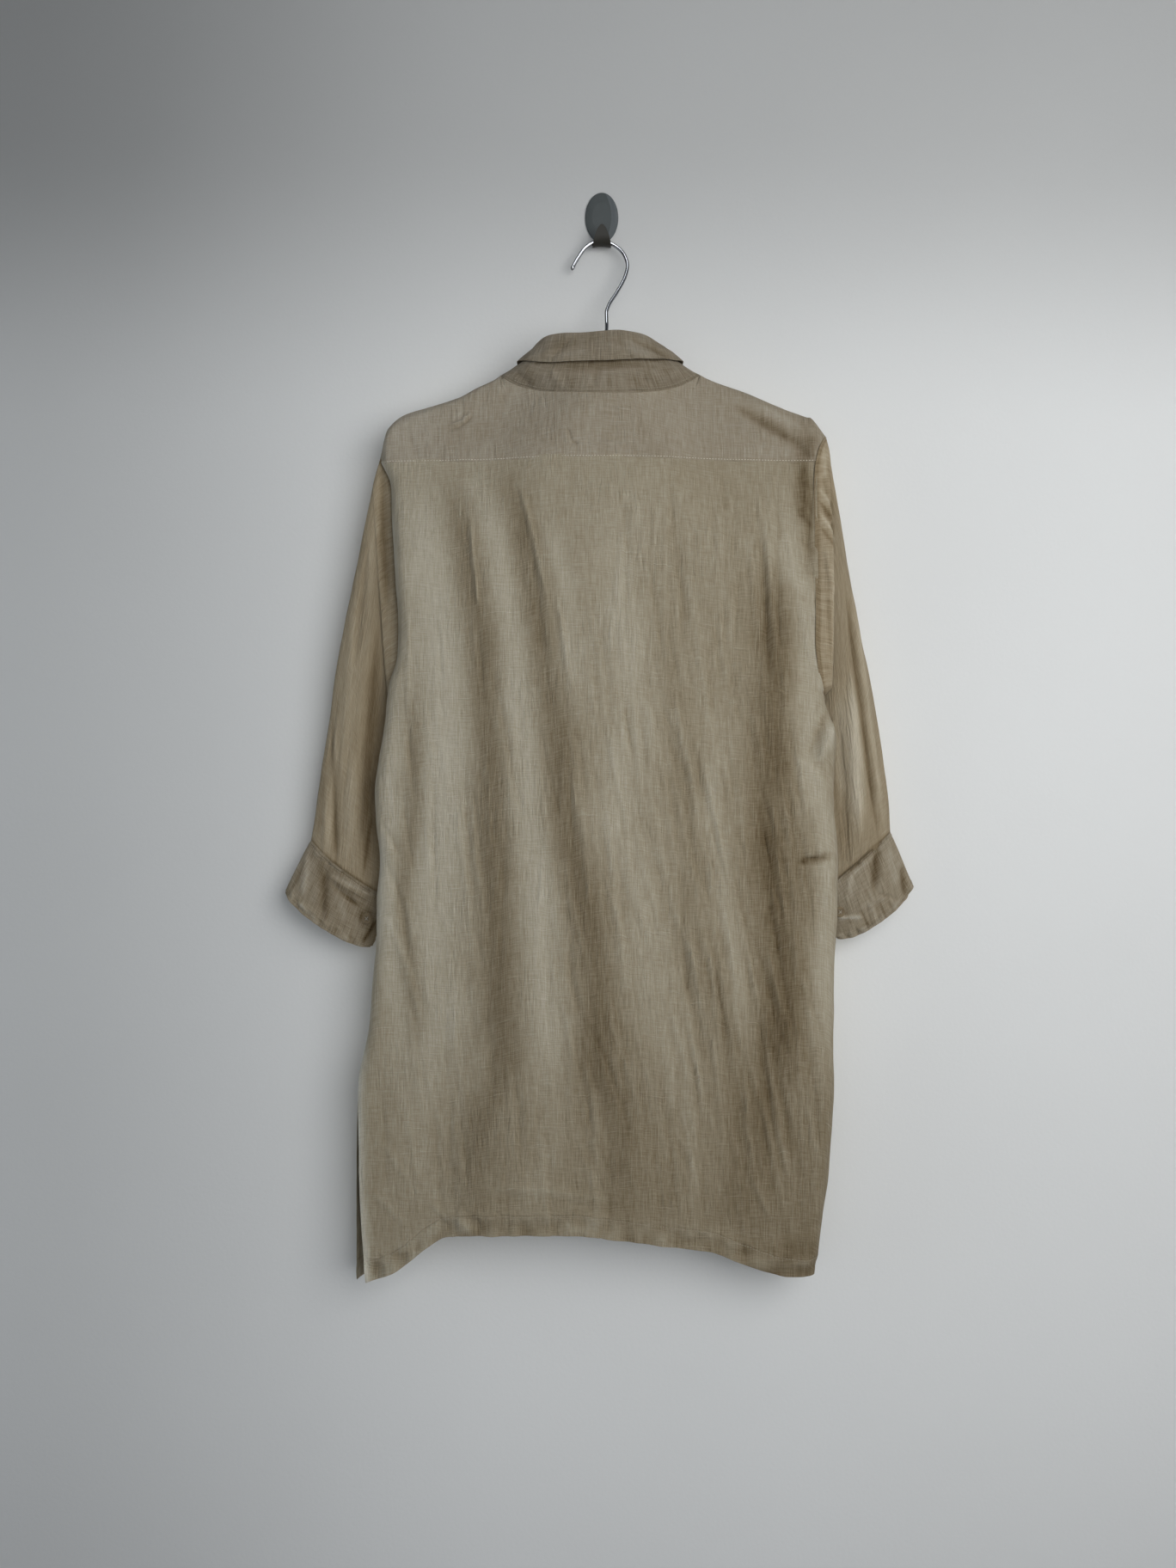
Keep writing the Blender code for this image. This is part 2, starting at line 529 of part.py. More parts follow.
def arm_points(arm, h, front):
    z = arm["tip_z"] + (ARMPIT_Z - arm["tip_z"]) * np.asarray(h, float)
    near, far = arm_edges(z, arm)
    return body_point(far if front else near, z)


def yoke_grid():
    columns = []
    for arm in (ARM_LEFT, ARM_RIGHT):
        back_h, front_h = arm_heights(arm, YOKE_FORWARD)
        end = np.concatenate((arm_points(arm, back_h * np.array(YOKE_END["back"]), False),
                              arm_points(arm, [0.0], True),
                              arm_points(arm, front_h * np.array(YOKE_END["front"]), True)))
        side, _ = neck_side(arm["sign"])
        part = [end]
        for x in np.linspace(arm["yoke_x"], side, YOKE_SHOULDER):
            lowest = -float(z_to_reach(np.array(x), YOKE_SEAM_Z))
            w = np.array((lowest, (lowest + YOKE_TURNS[0]) / 2) + YOKE_TURNS + (YOKE_FORWARD,))
            part.append(shoulder_point(np.full(len(w), x), w))
        columns.append(part)
    forward = [w for w in YOKE_TURNS[::-1] if w >= 0]
    tops = [(neck_side(-1)[0], w) for w in forward]
    for point in neck_line(np.linspace(-pi / 2, pi / 2, YOKE_NECK + 1)[1:-1]):
        tops.append((point[0], -float(z_to_reach(point[0], point[2]))))
    tops += [(neck_side(1)[0], w) for w in forward[::-1]]
    lowest = -float(z_to_reach(np.array(neck_side(1)[0]), YOKE_SEAM_Z))
    turns = np.array((lowest, (lowest + YOKE_TURNS[0]) / 2) + YOKE_TURNS + (YOKE_FORWARD,))
    turns = (turns - lowest) / (YOKE_FORWARD - lowest)
    even = np.linspace(0, 1, len(turns))
    neck = []
    bottoms = np.linspace(YOKE_BOTTOM[0], YOKE_BOTTOM[1], len(tops))
    for k, (bottom, (x, w)) in enumerate(zip(bottoms, tops)):
        inward = min(k, len(tops) - 1 - k)
        rows = blend(turns, even, smooth((inward - len(forward) + 1) / 5))
        lowest = -float(z_to_reach(np.array(bottom), YOKE_SEAM_Z))
        neck.append(shoulder_point(blend(bottom, x, rows), blend(lowest, w, rows)))
    left, right = columns
    return np.stack(left + neck + right[::-1], axis=1)


# The back and the fronts

def spread(count, ease=0.3):
    """Shares from 0 to 1, a little closer together at both ends."""
    u = np.linspace(0, 1, count + 1)
    return blend(u, (1 - np.cos(pi * u)) / 2, ease)


def hem_z(x, table):
    return through(x, table["x"], table["z"])


def back_grid():
    across = spread(BACK_COLUMNS)
    rows = []
    gap = EDGE_SHARE
    for v in np.linspace(0, 1, BACK_UPPER_ROWS + 1):
        z = blend(YOKE_SEAM_Z - SEAM_GAP, ARMPIT_Z, v)
        left, _ = arm_edges(z, ARM_LEFT)
        right, _ = arm_edges(z, ARM_RIGHT)
        last = v == 1
        t = blend(left + gap * last, right - gap * last, across)
        rows.append(body_point(t, np.full_like(t, z)))
    for v in np.linspace(0, 1, LOWER_ROWS + 1)[1:]:
        z = np.full(BACK_COLUMNS + 1, ARMPIT_Z)
        for _ in range(3):
            left = -seam_share(z, -1) + gap + through(z, LEFT_VENT["z"], LEFT_VENT["back_off"])
            right = seam_share(z, 1) - gap - vent_share(z)
            t = blend(left, right, across)
            x = body_point(t, z)[..., 0]
            z = blend(ARMPIT_Z, hem_z(x, HEM_BACK), v)
        rows.append(body_point(t, z))
    return np.stack(rows)


def vent_share(z):
    """How far each edge of the right vent draws back from its seam."""
    return 0.012 * smooth((RIGHT_VENT_Z - z) / 0.05)


def front_grid(arm, sign):
    """One front, from its side to its edge past the centre."""
    gap = EDGE_SHARE
    _, front_h = arm_heights(arm, YOKE_FORWARD)
    side, _ = neck_side(sign)
    neck = front_neck(sign, neck_turns())
    end = arm_points(arm, [front_h], True)[0]
    shoulder_x = np.linspace(arm["yoke_x"], side, FRONT_SHOULDER + 1)[:-1]
    shoulder = shoulder_point(shoulder_x, np.full(FRONT_SHOULDER, YOKE_FORWARD))
    top = np.concatenate((end[None], shoulder, neck))
    top[1:, 2] -= FRONT_DROP
    count = len(top)
    bottom = front_row(arm, sign, np.full(count, ARMPIT_Z), count, gap)
    rows = []
    for v in np.linspace(0, 1, BACK_UPPER_ROWS + 1):
        x = blend(top[:, 0], bottom[:, 0], v)
        z = blend(top[:, 2], ARMPIT_Z, v)
        side_edge = arm_points(arm, [blend(front_h, 1.0, v)], True)[0]
        share = (x - x[0]) / (NECK_X - x[0])
        x = np.where(share < 1, side_edge[0] + (NECK_X - side_edge[0]) * share, x)
        row = lift_left_front(depth_point(x, z, True), sign)
        row[0] = side_edge
        rows.append(row)
    rows[0][0, 2] -= FRONT_DROP
    rows[-1] = bottom
    for v in np.linspace(0, 1, LOWER_ROWS + 1)[1:]:
        z = np.full(count, ARMPIT_Z)
        for _ in range(3):
            row = front_row(arm, sign, z, count, gap)
            z = blend(ARMPIT_Z, hem_z(row[:, 0], HEM_FRONT), v)
        rows.append(front_row(arm, sign, z, count, gap))
    return np.stack(rows)


def front_row(arm, sign, z, count, gap):
    """A row of a front below the armhole: even steps, then three columns at the centre."""
    left, right = side_x(z)
    middle, half = (left + right) / 2, (right - left) / 2
    edge = 2 - seam_share(z, sign) - gap - (vent_share(z) if sign > 0 else 0)
    centre = sign * (NECK_X + sign * OVERLAP - middle) / half * (1 - TURN_SHARE) / (1 - TURN_REACH)
    share = spread(count - 3, 0.2)
    share = np.concatenate((share, [1.0, 1.0]))
    t = sign * blend(edge, centre, share)
    x = middle + half * share_to_across(t)
    x[-2] = NECK_X
    x[-1] = NECK_X - sign * OVERLAP
    return lift_left_front(depth_point(x, z, True), sign)


# Sleeves and cuffs

def section(outer, inner, near, far, bow, angle, sign, dip=0.0):
    """A flattened ring between an outer and an inner point, at angles round it."""
    share = (1 + np.cos(angle)) / 2
    points = inner + (outer - inner) * share[:, None]
    across = np.sin(angle)
    points[:, 1] -= np.where(across > 0, near, far) * across
    points[:, 0] += sign * bow * np.maximum(across, 0)
    points[:, 2] -= dip * (1 - np.abs(np.cos(angle)) ** 3)
    return points


def sleeve_grid(arm, table, cuff, armhole, valleys):
    """Sections from the armhole to the cuff. The first one follows the edges that it is sewn to."""
    sign = arm["sign"]
    top, bottom = armhole[0, 2], armhole[:, 2].min()
    lowest = int(np.argmin(armhole[:, 2]))
    count = len(armhole)
    height = np.clip((top - armhole[:, 2]) / (top - bottom), 0, 1)
    first = np.arccos(1 - 2 * height)
    first[lowest + 1:] = 2 * pi - first[lowest + 1:]
    even = np.empty(count)
    even[:lowest + 1] = np.linspace(0, pi, lowest + 1)
    even[lowest:] = np.linspace(pi, 2 * pi, count - lowest + 1)[:-1]
    rows = [armhole]
    total = len(table["near"])
    for k in range(total):
        angle = blend(first, even, min((k + 1) / 4, 1.0))
        outer = np.array([table["outer_" + axis][k] for axis in "xyz"])
        inner = np.array([table["inner_" + axis][k] for axis in "xyz"])
        dip = cuff["dip"][0] * smooth((k + 4 - total) / 3)
        ring = section(outer, inner, table["near"][k], table["far"][k], table["bow"][k], angle,
                       sign, dip)
        for where, half, deep, start in valleys:
            fade = smooth((k - start + 1) / 3) * smooth((total - k) / 3)
            ring[:, 1] += deep * fade * np.exp(-((angle - where) / half) ** 2)
        rows.append(ring)
    return np.stack(rows)


def cuff_ring(table, cuff, share, angle, sign):
    """A ring of a cuff. Past one turn it runs outside itself, as the upper end laps the under one."""
    top_outer = np.array([table["outer_" + axis][-1] for axis in "xyz"])
    top_inner = np.array([table["inner_" + axis][-1] for axis in "xyz"])
    outer = blend(top_outer, np.array(cuff["outer"]), share)
    inner = blend(top_inner, np.array(cuff["inner"]), share)
    near = blend(table["near"][-1], CUFF_NEAR, share)
    far = blend(table["far"][-1], CUFF_FAR, share)
    dip = blend(cuff["dip"][0], cuff["dip"][1], share)
    ring = section(outer, inner, near, far, 0.0, angle, sign, dip)
    ahead = section(outer, inner, near, far, 0.0, angle + 0.01, sign, dip)
    axis = np.cross(outer - inner, [0.0, 1.0, 0.0])
    out = np.cross(ahead - ring, axis)
    out /= np.linalg.norm(out, axis=1, keepdims=True)
    centre = (outer + inner) / 2
    flip = np.sign(np.sum(out * (ring - centre), axis=1, keepdims=True))
    lift = CUFF_STEP * smooth((angle - 2 * pi) / CUFF_LIFT_TURN)
    return ring + out * flip * lift[:, None]


def cuff_grid(table, cuff, sign):
    angle = np.linspace(CUFF_UNDER, CUFF_OVER + 2 * pi, CUFF_COLUMNS + 1)
    return np.stack([cuff_ring(table, cuff, share, angle, sign) for share in CUFF_ROWS])


# The collar

def collar_ring(index, angle):
    """A ring of the collar. The first one is the neck seam itself."""
    if index == 0:
        return neck_line(angle)
    half, near, far = (COLLAR[name][index] for name in ("half", "near", "far"))
    back, side, front = (COLLAR[name][index] for name in ("back_z", "side_z", "front_z"))
    cosine = np.cos(angle)
    behind = cosine > 0
    size = np.abs(cosine)
    x = NECK_X + half * np.sin(angle)
    y = (near + far) / 2 + (near - far) / 2 * np.where(behind, size, -size ** FRONT_ROUND)
    lean = blend(COLLAR["lean"][index], 1.0, smooth(cosine / 0.6))
    y = blend(neck_line(angle)[:, 1], y, lean)
    fall = np.clip((np.abs(np.sin(angle)) - BACK_FLAT) / (1 - BACK_FLAT), 0, 1) ** BACK_FALL
    z = np.where(behind, blend(back, side, fall), blend(side, front, size ** COLLAR["rise"][index]))
    if index > ROLL_RING:
        floor = depth_point(x, z, True)[:, 1] + FALL_REST
        resting = smooth((index - ROLL_RING) / 2) * smooth(size / 0.3)
        y = np.where(behind, y, y + np.maximum(floor - y, 0) * resting)
    points = np.stack((x, y, z), -1)
    lapped = angle < -pi / 2
    lifted = lift_left_front(points, -1)
    return np.where(lapped[:, None], lifted, points)


def neck_turns():
    """The turns of a front's neck points: to the overlap's start, the centre and the edge."""
    inner = np.arccos(OVERLAP / NECK_HALF)
    return np.concatenate((np.linspace(0, inner, FRONT_NECK), [pi / 2, pi - inner]))


def neck_angles():
    """Angles round the neck seam that fall on the points of the yoke and the fronts."""
    back = np.linspace(0, pi / 2, YOKE_NECK // 2 + 1)
    forward = np.array([w for w in YOKE_TURNS if w > 0]) / YOKE_FORWARD * SIDE_SHARE
    front = SIDE_SHARE + (1 - SIDE_SHARE) * neck_turns() / (pi / 2)
    half = np.concatenate((back, pi / 2 * (1 + forward), pi / 2 * (1 + front)))
    return np.concatenate((-half[:0:-1], half))


def stand_grid():
    angle = neck_angles()
    rings = [collar_ring(index, angle) for index in range(STAND_RINGS)]
    reach = blend(SEAM_REACH, STAND_REACH, smooth((np.abs(angle) - 0.7) / 0.5))
    rings[0] = move_along(rings[0], rings[1], reach[:, None])
    return np.stack(rings)


def move_along(start, end, distance):
    step = end - start
    return start + step / np.linalg.norm(step, axis=-1, keepdims=True) * distance


def fall_grid():
    first = STAND_RINGS - 1
    last = len(COLLAR["half"]) - 1
    rings = []
    angle = neck_angles()
    reach = pi - FALL_OPENING
    angle = angle[np.abs(angle) < reach - 0.05]
    angle = np.concatenate(([-reach], angle, [reach]))
    for index in range(first, last + 1):
        share = smooth((index - first - 3) / (last - first - 3))
        rings.append(collar_ring(index, angle * (1 - FALL_SPREAD * share / reach)))
    rings[0] = move_along(rings[0], rings[1], SEAM_REACH)
    return np.stack(rings)


# Small pieces

def armhole_ring(yoke, back, front, arm):
    """The first ring of a sleeve: the armhole's edges, each point moved just past its panel."""
    left = arm["sign"] < 0
    edge, beside = (0, 1) if left else (-1, -2)
    upper = BACK_UPPER_ROWS
    near = back[:upper, edge], back[:upper, beside]
    far = front[1:upper, 0], front[1:upper, 1]
    over = yoke[:, edge], yoke[:, beside]
    tip = len(YOKE_END["back"])
    points = np.concatenate((over[0][tip:0:-1], near[0], [back[upper, edge]], far[0][::-1],
                             over[0][:tip:-1]))
    inside = np.concatenate((over[1][tip:0:-1], near[1], [back[upper, beside]], far[1][::-1],
                             over[1][:tip:-1]))
    step = points - inside
    lowest = int(np.argmin(points[:, 2]))
    step[lowest] = (arm["sign"], 0.0, 0.8)
    reach = np.full(len(points), SEAM_REACH + (LEFT_SLEEVE_MORE if left else 0))
    reach[lowest] = ARMPIT_REACH
    step /= np.linalg.norm(step, axis=1, keepdims=True)
    return points + step * reach[:, None]


def placket_grid(front):
    """A strip on the left front's last three columns, moved outward."""
    strip = front[:, -3:].copy()
    strip[..., 1] += WALL / 2 + SEAM_GAP + PLACKET_THICK / 2
    return strip


def label_grid():
    x = np.linspace(LABEL["x"][0], LABEL["x"][1], 4)
    z = np.linspace(LABEL["z"][0], LABEL["z"][1], 4)
    grid = depth_point(x[None, :], z[:, None], False)
    grid[..., 1] += WALL / 2 + 2 * SEAM_GAP + LABEL_THICK / 2
    return grid


def disc(name, centre, normal, radius, thickness, colour, sides=12):
    """A round button with a bevelled rim, its middle at centre and its face along normal."""
    normal = np.asarray(normal, float) / np.linalg.norm(normal)
    aside = np.cross(normal, [0.0, 0.0, 1.0])
    aside /= np.linalg.norm(aside)
    upright = np.cross(aside, normal)
    turn = 2 * pi * np.arange(sides) / sides
    circle = np.cos(turn)[:, None] * aside + np.sin(turn)[:, None] * upright
    rings = []
    for share, level in ((0.92, -0.5), (1.0, 0.2), (0.85, 0.5), (0.62, 0.3)):
        rings.append(np.asarray(centre) + circle * radius * share + normal * thickness * level)
    points = np.concatenate(rings)
    faces = [tuple(range(sides))[::-1]]
    for r in range(len(rings) - 1):
        for k in range(sides):
            a, b = r * sides + k, r * sides + (k + 1) % sides
            faces.append((a, b, b + sides, a + sides))
    top = (len(rings) - 1) * sides
    faces.append(tuple(range(top, top + sides)))
    return solid(name, points, faces, colour, 0.4)


def front_buttons(placket):
    """The buttons down the front and the one on the stand, just off what they fasten."""
    column = placket[:, 1]
    order = np.argsort(column[:, 2])
    lift = PLACKET_THICK / 2 + BUTTON_THICK / 2 + BUTTON_CLEAR
    for k in range(FRONT_BUTTONS["count"]):
        z = FRONT_BUTTONS["first_z"] - k * FRONT_BUTTONS["pitch"]
        y = np.interp(z, column[order, 2], column[order, 1])
        disc(f"button_front_{k + 1}", (NECK_X, y + lift, z), (0, 1, 0), BUTTON_RADIUS,
             BUTTON_THICK, BUTTON_COLOUR)
    low, middle, high = (collar_ring(index, np.array([-pi]))[0] for index in range(STAND_RINGS))
    outward = np.cross(high - low, (1.0, 0.0, 0.0))
    outward *= np.sign(outward[1]) / np.linalg.norm(outward)
    middle = middle + outward * (WALL / 2 + BUTTON_THICK / 2 + STAND_BUTTON_CLEAR)
    disc("button_collar", middle, outward, BUTTON_RADIUS * 0.9, BUTTON_THICK, BUTTON_COLOUR)


def cuff_button(name, table, cuff, sign):
    """The button on the upper end of a cuff, square to the cloth under it."""
    beside = 0.05
    angle = CUFF_BUTTON + 2 * pi + np.array([-beside, 0.0, beside])
    low = cuff_ring(table, cuff, CUFF_BUTTON_SHARE + beside, angle, sign)
    high = cuff_ring(table, cuff, CUFF_BUTTON_SHARE - beside, angle, sign)
    normal = np.cross(low[2] - low[0], high[1] - low[1])
    normal *= -np.sign(normal[1]) / np.linalg.norm(normal)
    centre = (low[1] + high[1]) / 2 + normal * (WALL / 2 + BUTTON_THICK / 2 + BUTTON_CLEAR)
    disc(name, centre, normal, BUTTON_RADIUS, BUTTON_THICK, BUTTON_COLOUR)


# The hanger and the wall hook

def hanger_height(x):
    """The middle of the hanger's wood under the shoulder line, rising freely between the sides."""
    under = ridge_z(x) - WALL / 2 - HANGER_GAP - HANGER_HALF_HEIGHT
    side = np.where(x < HANGER_X, HANGER_X - HANGER_SHOULDER, HANGER_X + HANGER_SHOULDER)
    foot = ridge_z(side) - WALL / 2 - HANGER_GAP - HANGER_HALF_HEIGHT
    share = np.minimum(np.abs(x - HANGER_X) / HANGER_SHOULDER, 1)
    inner = HANGER_APEX_Z + (foot - HANGER_APEX_Z) * share ** HANGER_RISE
    return np.where(share < 1, inner, under)


def make_hanger():
    share = np.linspace(-1, 1, 27)
    x = HANGER_X + HANGER_HALF * np.sin(share * pi / 2)
    y = through(np.minimum(ridge_z(x), NECK_BACK_Z), DEPTH["z"], DEPTH["plane"])
    path = np.stack((x, y, hanger_height(x)), -1)
    beyond = np.maximum(np.abs(share) - HANGER_TIP, 0) / (1.01 - HANGER_TIP)
    taper = np.sqrt(1 - beyond ** 2)
    outside = smooth((np.abs(x - HANGER_X) - HANGER_NECK_X) / HANGER_NECK_TURN)
    depths = blend(HANGER_NECK[0], HANGER_HALF_DEPTH, outside) * taper
    heights = blend(HANGER_NECK[1], HANGER_HALF_HEIGHT, outside) * taper
    return tube("hanger", path, depths, heights, WOOD, sides=10, frame=(0, 0, 1))


def smooth_path(points, count):
    """Evenly spread points on a smooth curve through the given ones."""
    points = np.asarray(points, float)
    length = np.concatenate(([0], np.cumsum(np.linalg.norm(np.diff(points, axis=0), axis=1))))
    along = np.linspace(0, length[-1], count)
    return np.stack([through(along, length, points[:, axis]) for axis in range(3)], -1)


def make_wire():
    path = smooth_path(WIRE_PATH, 42)
    radius = np.full(len(path), WIRE_RADIUS)
    radius[0] *= 0.8
    return tube("hanger_wire", path, radius, radius, CHROME, sides=10, roughness=0.15,
                metallic=1.0, frame=(0, 1, 0))


def make_wall_hook():
    """The oval plate, flat on the wall, joined to the tongue that turns up from its foot."""
    sides = 40
    turn = 2 * pi * np.arange(sides) / sides
    oval = np.stack((PLATE_HALF[0] * np.cos(turn), np.zeros(sides), PLATE_HALF[1] * np.sin(turn)), -1)
    rings = [oval * 0.97, oval + (0, -PLATE_RIM / 2, 0)]
    for share in (0.97, 0.75, 0.5, 0.25):
        rings.append(oval * share + (0, -PLATE_RIM - PLATE_CROWN * (1 - share ** 2), 0))
    points = np.concatenate(rings)
    faces = [tuple(range(sides))]
    for r in range(len(rings) - 1):
        for k in range(sides):
            a, b = r * sides + k, r * sides + (k + 1) % sides
            faces.append((a, a + sides, b + sides, b))
    top = (len(rings) - 1) * sides
    faces.append(tuple(range(top, top + sides))[::-1])
    plate = solid("wall_hook", points, faces, PLATE_GREY, 0.35, 0.9)

    rows = []
    for y, z, half in zip(TONGUE["y"], TONGUE["z"], TONGUE["half"]):
        x = np.linspace(-half, half, 5)
        rows.append(np.stack((x, np.full(5, y), z - TONGUE_SAG * (x / half) ** 2), -1))
    tongue = shell("tongue", np.stack(rows), PLATE_GREY, TONGUE_THICK)
    tongue.hide_render = True
    tongue.display_type = "WIRE"
    join = plate.modifiers.new("join", "BOOLEAN")
    join.operation = "UNION"
    join.solver = "EXACT"
    join.object = tongue
    return plate


def make_shirt():
    yoke, back = yoke_grid(), back_grid()
    front_left, front_right = front_grid(ARM_LEFT, -1), front_grid(ARM_RIGHT, 1)
    shell("yoke", yoke, LINEN)
    shell("back", back, LINEN)
    shell("front_left", front_left, LINEN)
    shell("front_right", front_right, LINEN)
    placket = placket_grid(front_left)
    shell("front_placket", placket, LINEN, PLACKET_THICK)
    shell("neck_label", label_grid(), LABEL_COLOUR, LABEL_THICK)
    for arm, front, table, cuff, side in (
            (ARM_LEFT, front_left, SLEEVE_LEFT, CUFF_LEFT, "left"),
            (ARM_RIGHT, front_right, SLEEVE_RIGHT, CUFF_RIGHT, "right")):
        armhole = armhole_ring(yoke, back, front, arm)
        sleeve = sleeve_grid(arm, table, cuff, armhole, SLEEVE_VALLEYS[side])
        shell("sleeve_" + side, sleeve, LINEN_DARK, around=True)
        shell("cuff_" + side, cuff_grid(table, cuff, arm["sign"]), LINEN_DARK)
        cuff_button("button_cuff_" + side, table, cuff, arm["sign"])
    shell("collar_stand", stand_grid(), LINEN)
    shell("collar", fall_grid(), LINEN)
    front_buttons(placket)


def main():
    remove_all()
    make_shirt()
    make_hanger()
    make_wire()
    make_wall_hook()


main()
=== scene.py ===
"""The looks of a long linen shirt on its hanger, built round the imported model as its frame.

The cloth is the part's own surfaces, drawn finely, with creases, seams, stitches, weave and light.
Metres, +Z up. The wall is the plane y = 0, the shirt's back faces -Y and the camera looks along +Y.
"""
from math import cos, pi, sin

import bmesh
import bpy
import numpy as np
from mathutils import Matrix, Vector, noise


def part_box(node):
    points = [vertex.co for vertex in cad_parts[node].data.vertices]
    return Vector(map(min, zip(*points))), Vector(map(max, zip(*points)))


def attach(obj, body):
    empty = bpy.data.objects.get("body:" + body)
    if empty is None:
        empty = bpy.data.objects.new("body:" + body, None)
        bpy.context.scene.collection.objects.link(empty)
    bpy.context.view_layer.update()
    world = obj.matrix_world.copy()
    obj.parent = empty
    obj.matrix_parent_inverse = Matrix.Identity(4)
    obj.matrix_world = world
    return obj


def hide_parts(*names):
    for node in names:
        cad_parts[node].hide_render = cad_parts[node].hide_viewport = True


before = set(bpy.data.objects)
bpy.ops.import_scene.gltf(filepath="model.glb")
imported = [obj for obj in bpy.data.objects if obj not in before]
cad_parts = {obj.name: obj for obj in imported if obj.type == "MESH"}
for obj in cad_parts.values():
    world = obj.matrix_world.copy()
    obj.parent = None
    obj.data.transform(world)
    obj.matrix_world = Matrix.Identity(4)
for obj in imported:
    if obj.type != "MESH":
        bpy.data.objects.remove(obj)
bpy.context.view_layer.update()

# Camera and light
CAMERA = (-0.0146, -1.247, -0.600)
LENS = 27.0
SENSOR = 36.0
FRAME_MIDDLE = (684.0, 912.0)    # the photograph's middle, in its own pixels
PIXEL = SENSOR / LENS / 1824     # size of one of its pixels at a distance of 1
WORLD_STRENGTH = 0.22
LIGHTS = (
    dict(name="window", place=(0.72, -1.35, -0.34), aim=(0.10, -0.05, -0.66), size=(1.3, 1.3),
         power=16.0, colour=(1.0, 0.985, 0.96)),
    dict(name="fill", place=(-0.62, -1.50, -0.76), aim=(-0.26, 0.0, -0.78), size=(0.9, 0.9),
         power=1.8, colour=(1.0, 0.985, 0.955)),
    dict(name="left", place=(-1.55, -0.62, -0.66), aim=(-0.20, -0.05, -0.70), size=(0.7, 1.2),
         power=2.6, colour=(0.84, 0.92, 1.0)),
    dict(name="card", place=(-0.10, -2.10, 0.85), aim=(0.0, 0.0, -0.10), size=(0.8, 2.0),
         power=36.0, colour=(0.95, 0.98, 1.0), seen="glossy"),
    dict(name="behind", place=(0.6, 1.6, 0.1), aim=(0.0, 0.0, -0.6), size=(1.6, 1.6),
         power=22.0, colour=(1.0, 0.99, 0.97)),
)

# Colours and cloth
LINEN_COLOURS = dict(body=(0.385, 0.340, 0.250), yoke=(0.370, 0.326, 0.251),
                     sleeve=(0.385, 0.322, 0.221), cuff=(0.388, 0.345, 0.265),
                     collar=(0.326, 0.288, 0.223))
THREAD_COLOUR = (0.36, 0.33, 0.26)
THREAD_PALE_COLOUR = (0.90, 0.86, 0.74)
PAINTED_LIGHT_ACROSS = 0.50        # painted light: the cloth is painted paler to the left and at the top, by these shares a metre
PAINTED_LIGHT_UP = 0.08
PAINTED_SHADE_LOW = 0.15           # and painted shade darkens it towards the hem
WARMTH = (1.0, 1.18, 1.48)    # darker cloth, in its weave and in its painted shade alike, is warmer: a power of its brightness for each channel
CREASE_PAINTED_SHADING = 55.0       # painted highlight on a crease's ridges and painted shade in its valleys, by this share a metre
CREASE_BEYOND = 0.12     # a crease runs on by this share of its length,
CREASE_FADE = 0.34       # fades over this share,
CREASE_WIDTHS = (0.55, 0.45)     # and has the first share of its width at its ends, both midway
FOLD_SLOPE = 0.60        # slope of the long folds' flanks, as a share of their painted shading
FOLD_RISE = 0.89         # half of a slope's height, as a share of its half width times its slope
FOLD_FLANK = 1.2         # how steeply it rises in the fold's middle
FOLD_START = (0.05, 0.11)    # a fold starts this far over its top, and is full this much lower
FOLD_END = (0.10, 0.14)  # the same under its bottom
FOLD_LOW = dict(share=0.55, z=-0.83, reach=0.12)    # below z the bands lose this share of their painted shading
CHROME_COLOUR = (0.29, 0.295, 0.31)
PLATE_COLOUR = (0.068, 0.080, 0.083)
# Painted reflection: the plate's right flank gets this paler, bluer colour
FLANK_PAINTED_HIGHLIGHT_COLOUR = (0.108, 0.124, 0.134)
TONGUE_COLOUR = (0.034, 0.033, 0.028)
BUTTON_COLOUR = (0.40, 0.315, 0.20)
WOOD_COLOUR = (0.42, 0.30, 0.18)
LABEL_COLOUR = (0.60, 0.58, 0.52)
WALL_COLOUR = (0.85, 0.875, 0.885)
CLOTH_THICK = 0.0006
HEM_WIDTH = 0.020
# Painted light and shade of whole pieces: the left sleeve, the left cuff and the collar darker, the
# right sleeve paler
PIECE_PAINTED_SHADING = dict(sleeve_left=-0.14, cuff_left=-0.37, sleeve_right=0.10, cuff_right=0.0,
                  collar=-0.17, collar_stand=-0.15)
FALL_EDGE_Z = -0.1752    # the fall's free edge casts its shadow on the stand below this
FALL_TOP = ((-0.0588, 0.012, 0.0026), (-0.0220, 0.012, -0.0008), (0.0160, 0.017, 0.0022),
            (0.0560, 0.009, -0.0016))    # where the roll's top bulges: x, half width, height
FALL_TOP_Z = -0.166      # it does so above this height, in full this much higher
FALL_TOP_REACH = 0.012
FALL_LOW_REACH = 0.018   # above the free edge, its rise at the back fades over this distance
FALL_RISE = dict(high=0.0030, full=0.040, end=0.062, fade=0.014)     # that rise, along x
SEAM_PAINTED_SHADE = -0.30        # painted shade: a sleeve is painted darker beside its seams, over this distance
SEAM_SHADE = 0.0018
EDGE_PAINTED_HIGHLIGHT = 0.007       # painted highlight: the back is painted paler this far in from its sides, where it turns to the light
JOIN_REACH = 0.004       # a sleeve's ends run this far under their neighbours
JOIN_DEPTH = 0.0012      # and this much smaller, mostly in depth and height
JOIN_ASIDE = 0.2
PLATE_SIDES = 192        # how finely the plate is divided round its edge, across its face,
PLATE_LEVELS = 66
WIRE_POINTS = 260        # and the wire and the wood along their lengths
HANGER_POINTS = 121
PLATE_ROUND = 0.0003     # the plate's rim is rounded by this
TONGUE_BEVEL = 0.00025
STITCH_PITCH = 0.0030
STITCH_LENGTH = 0.0021
STITCH_RADIUS = 0.00022
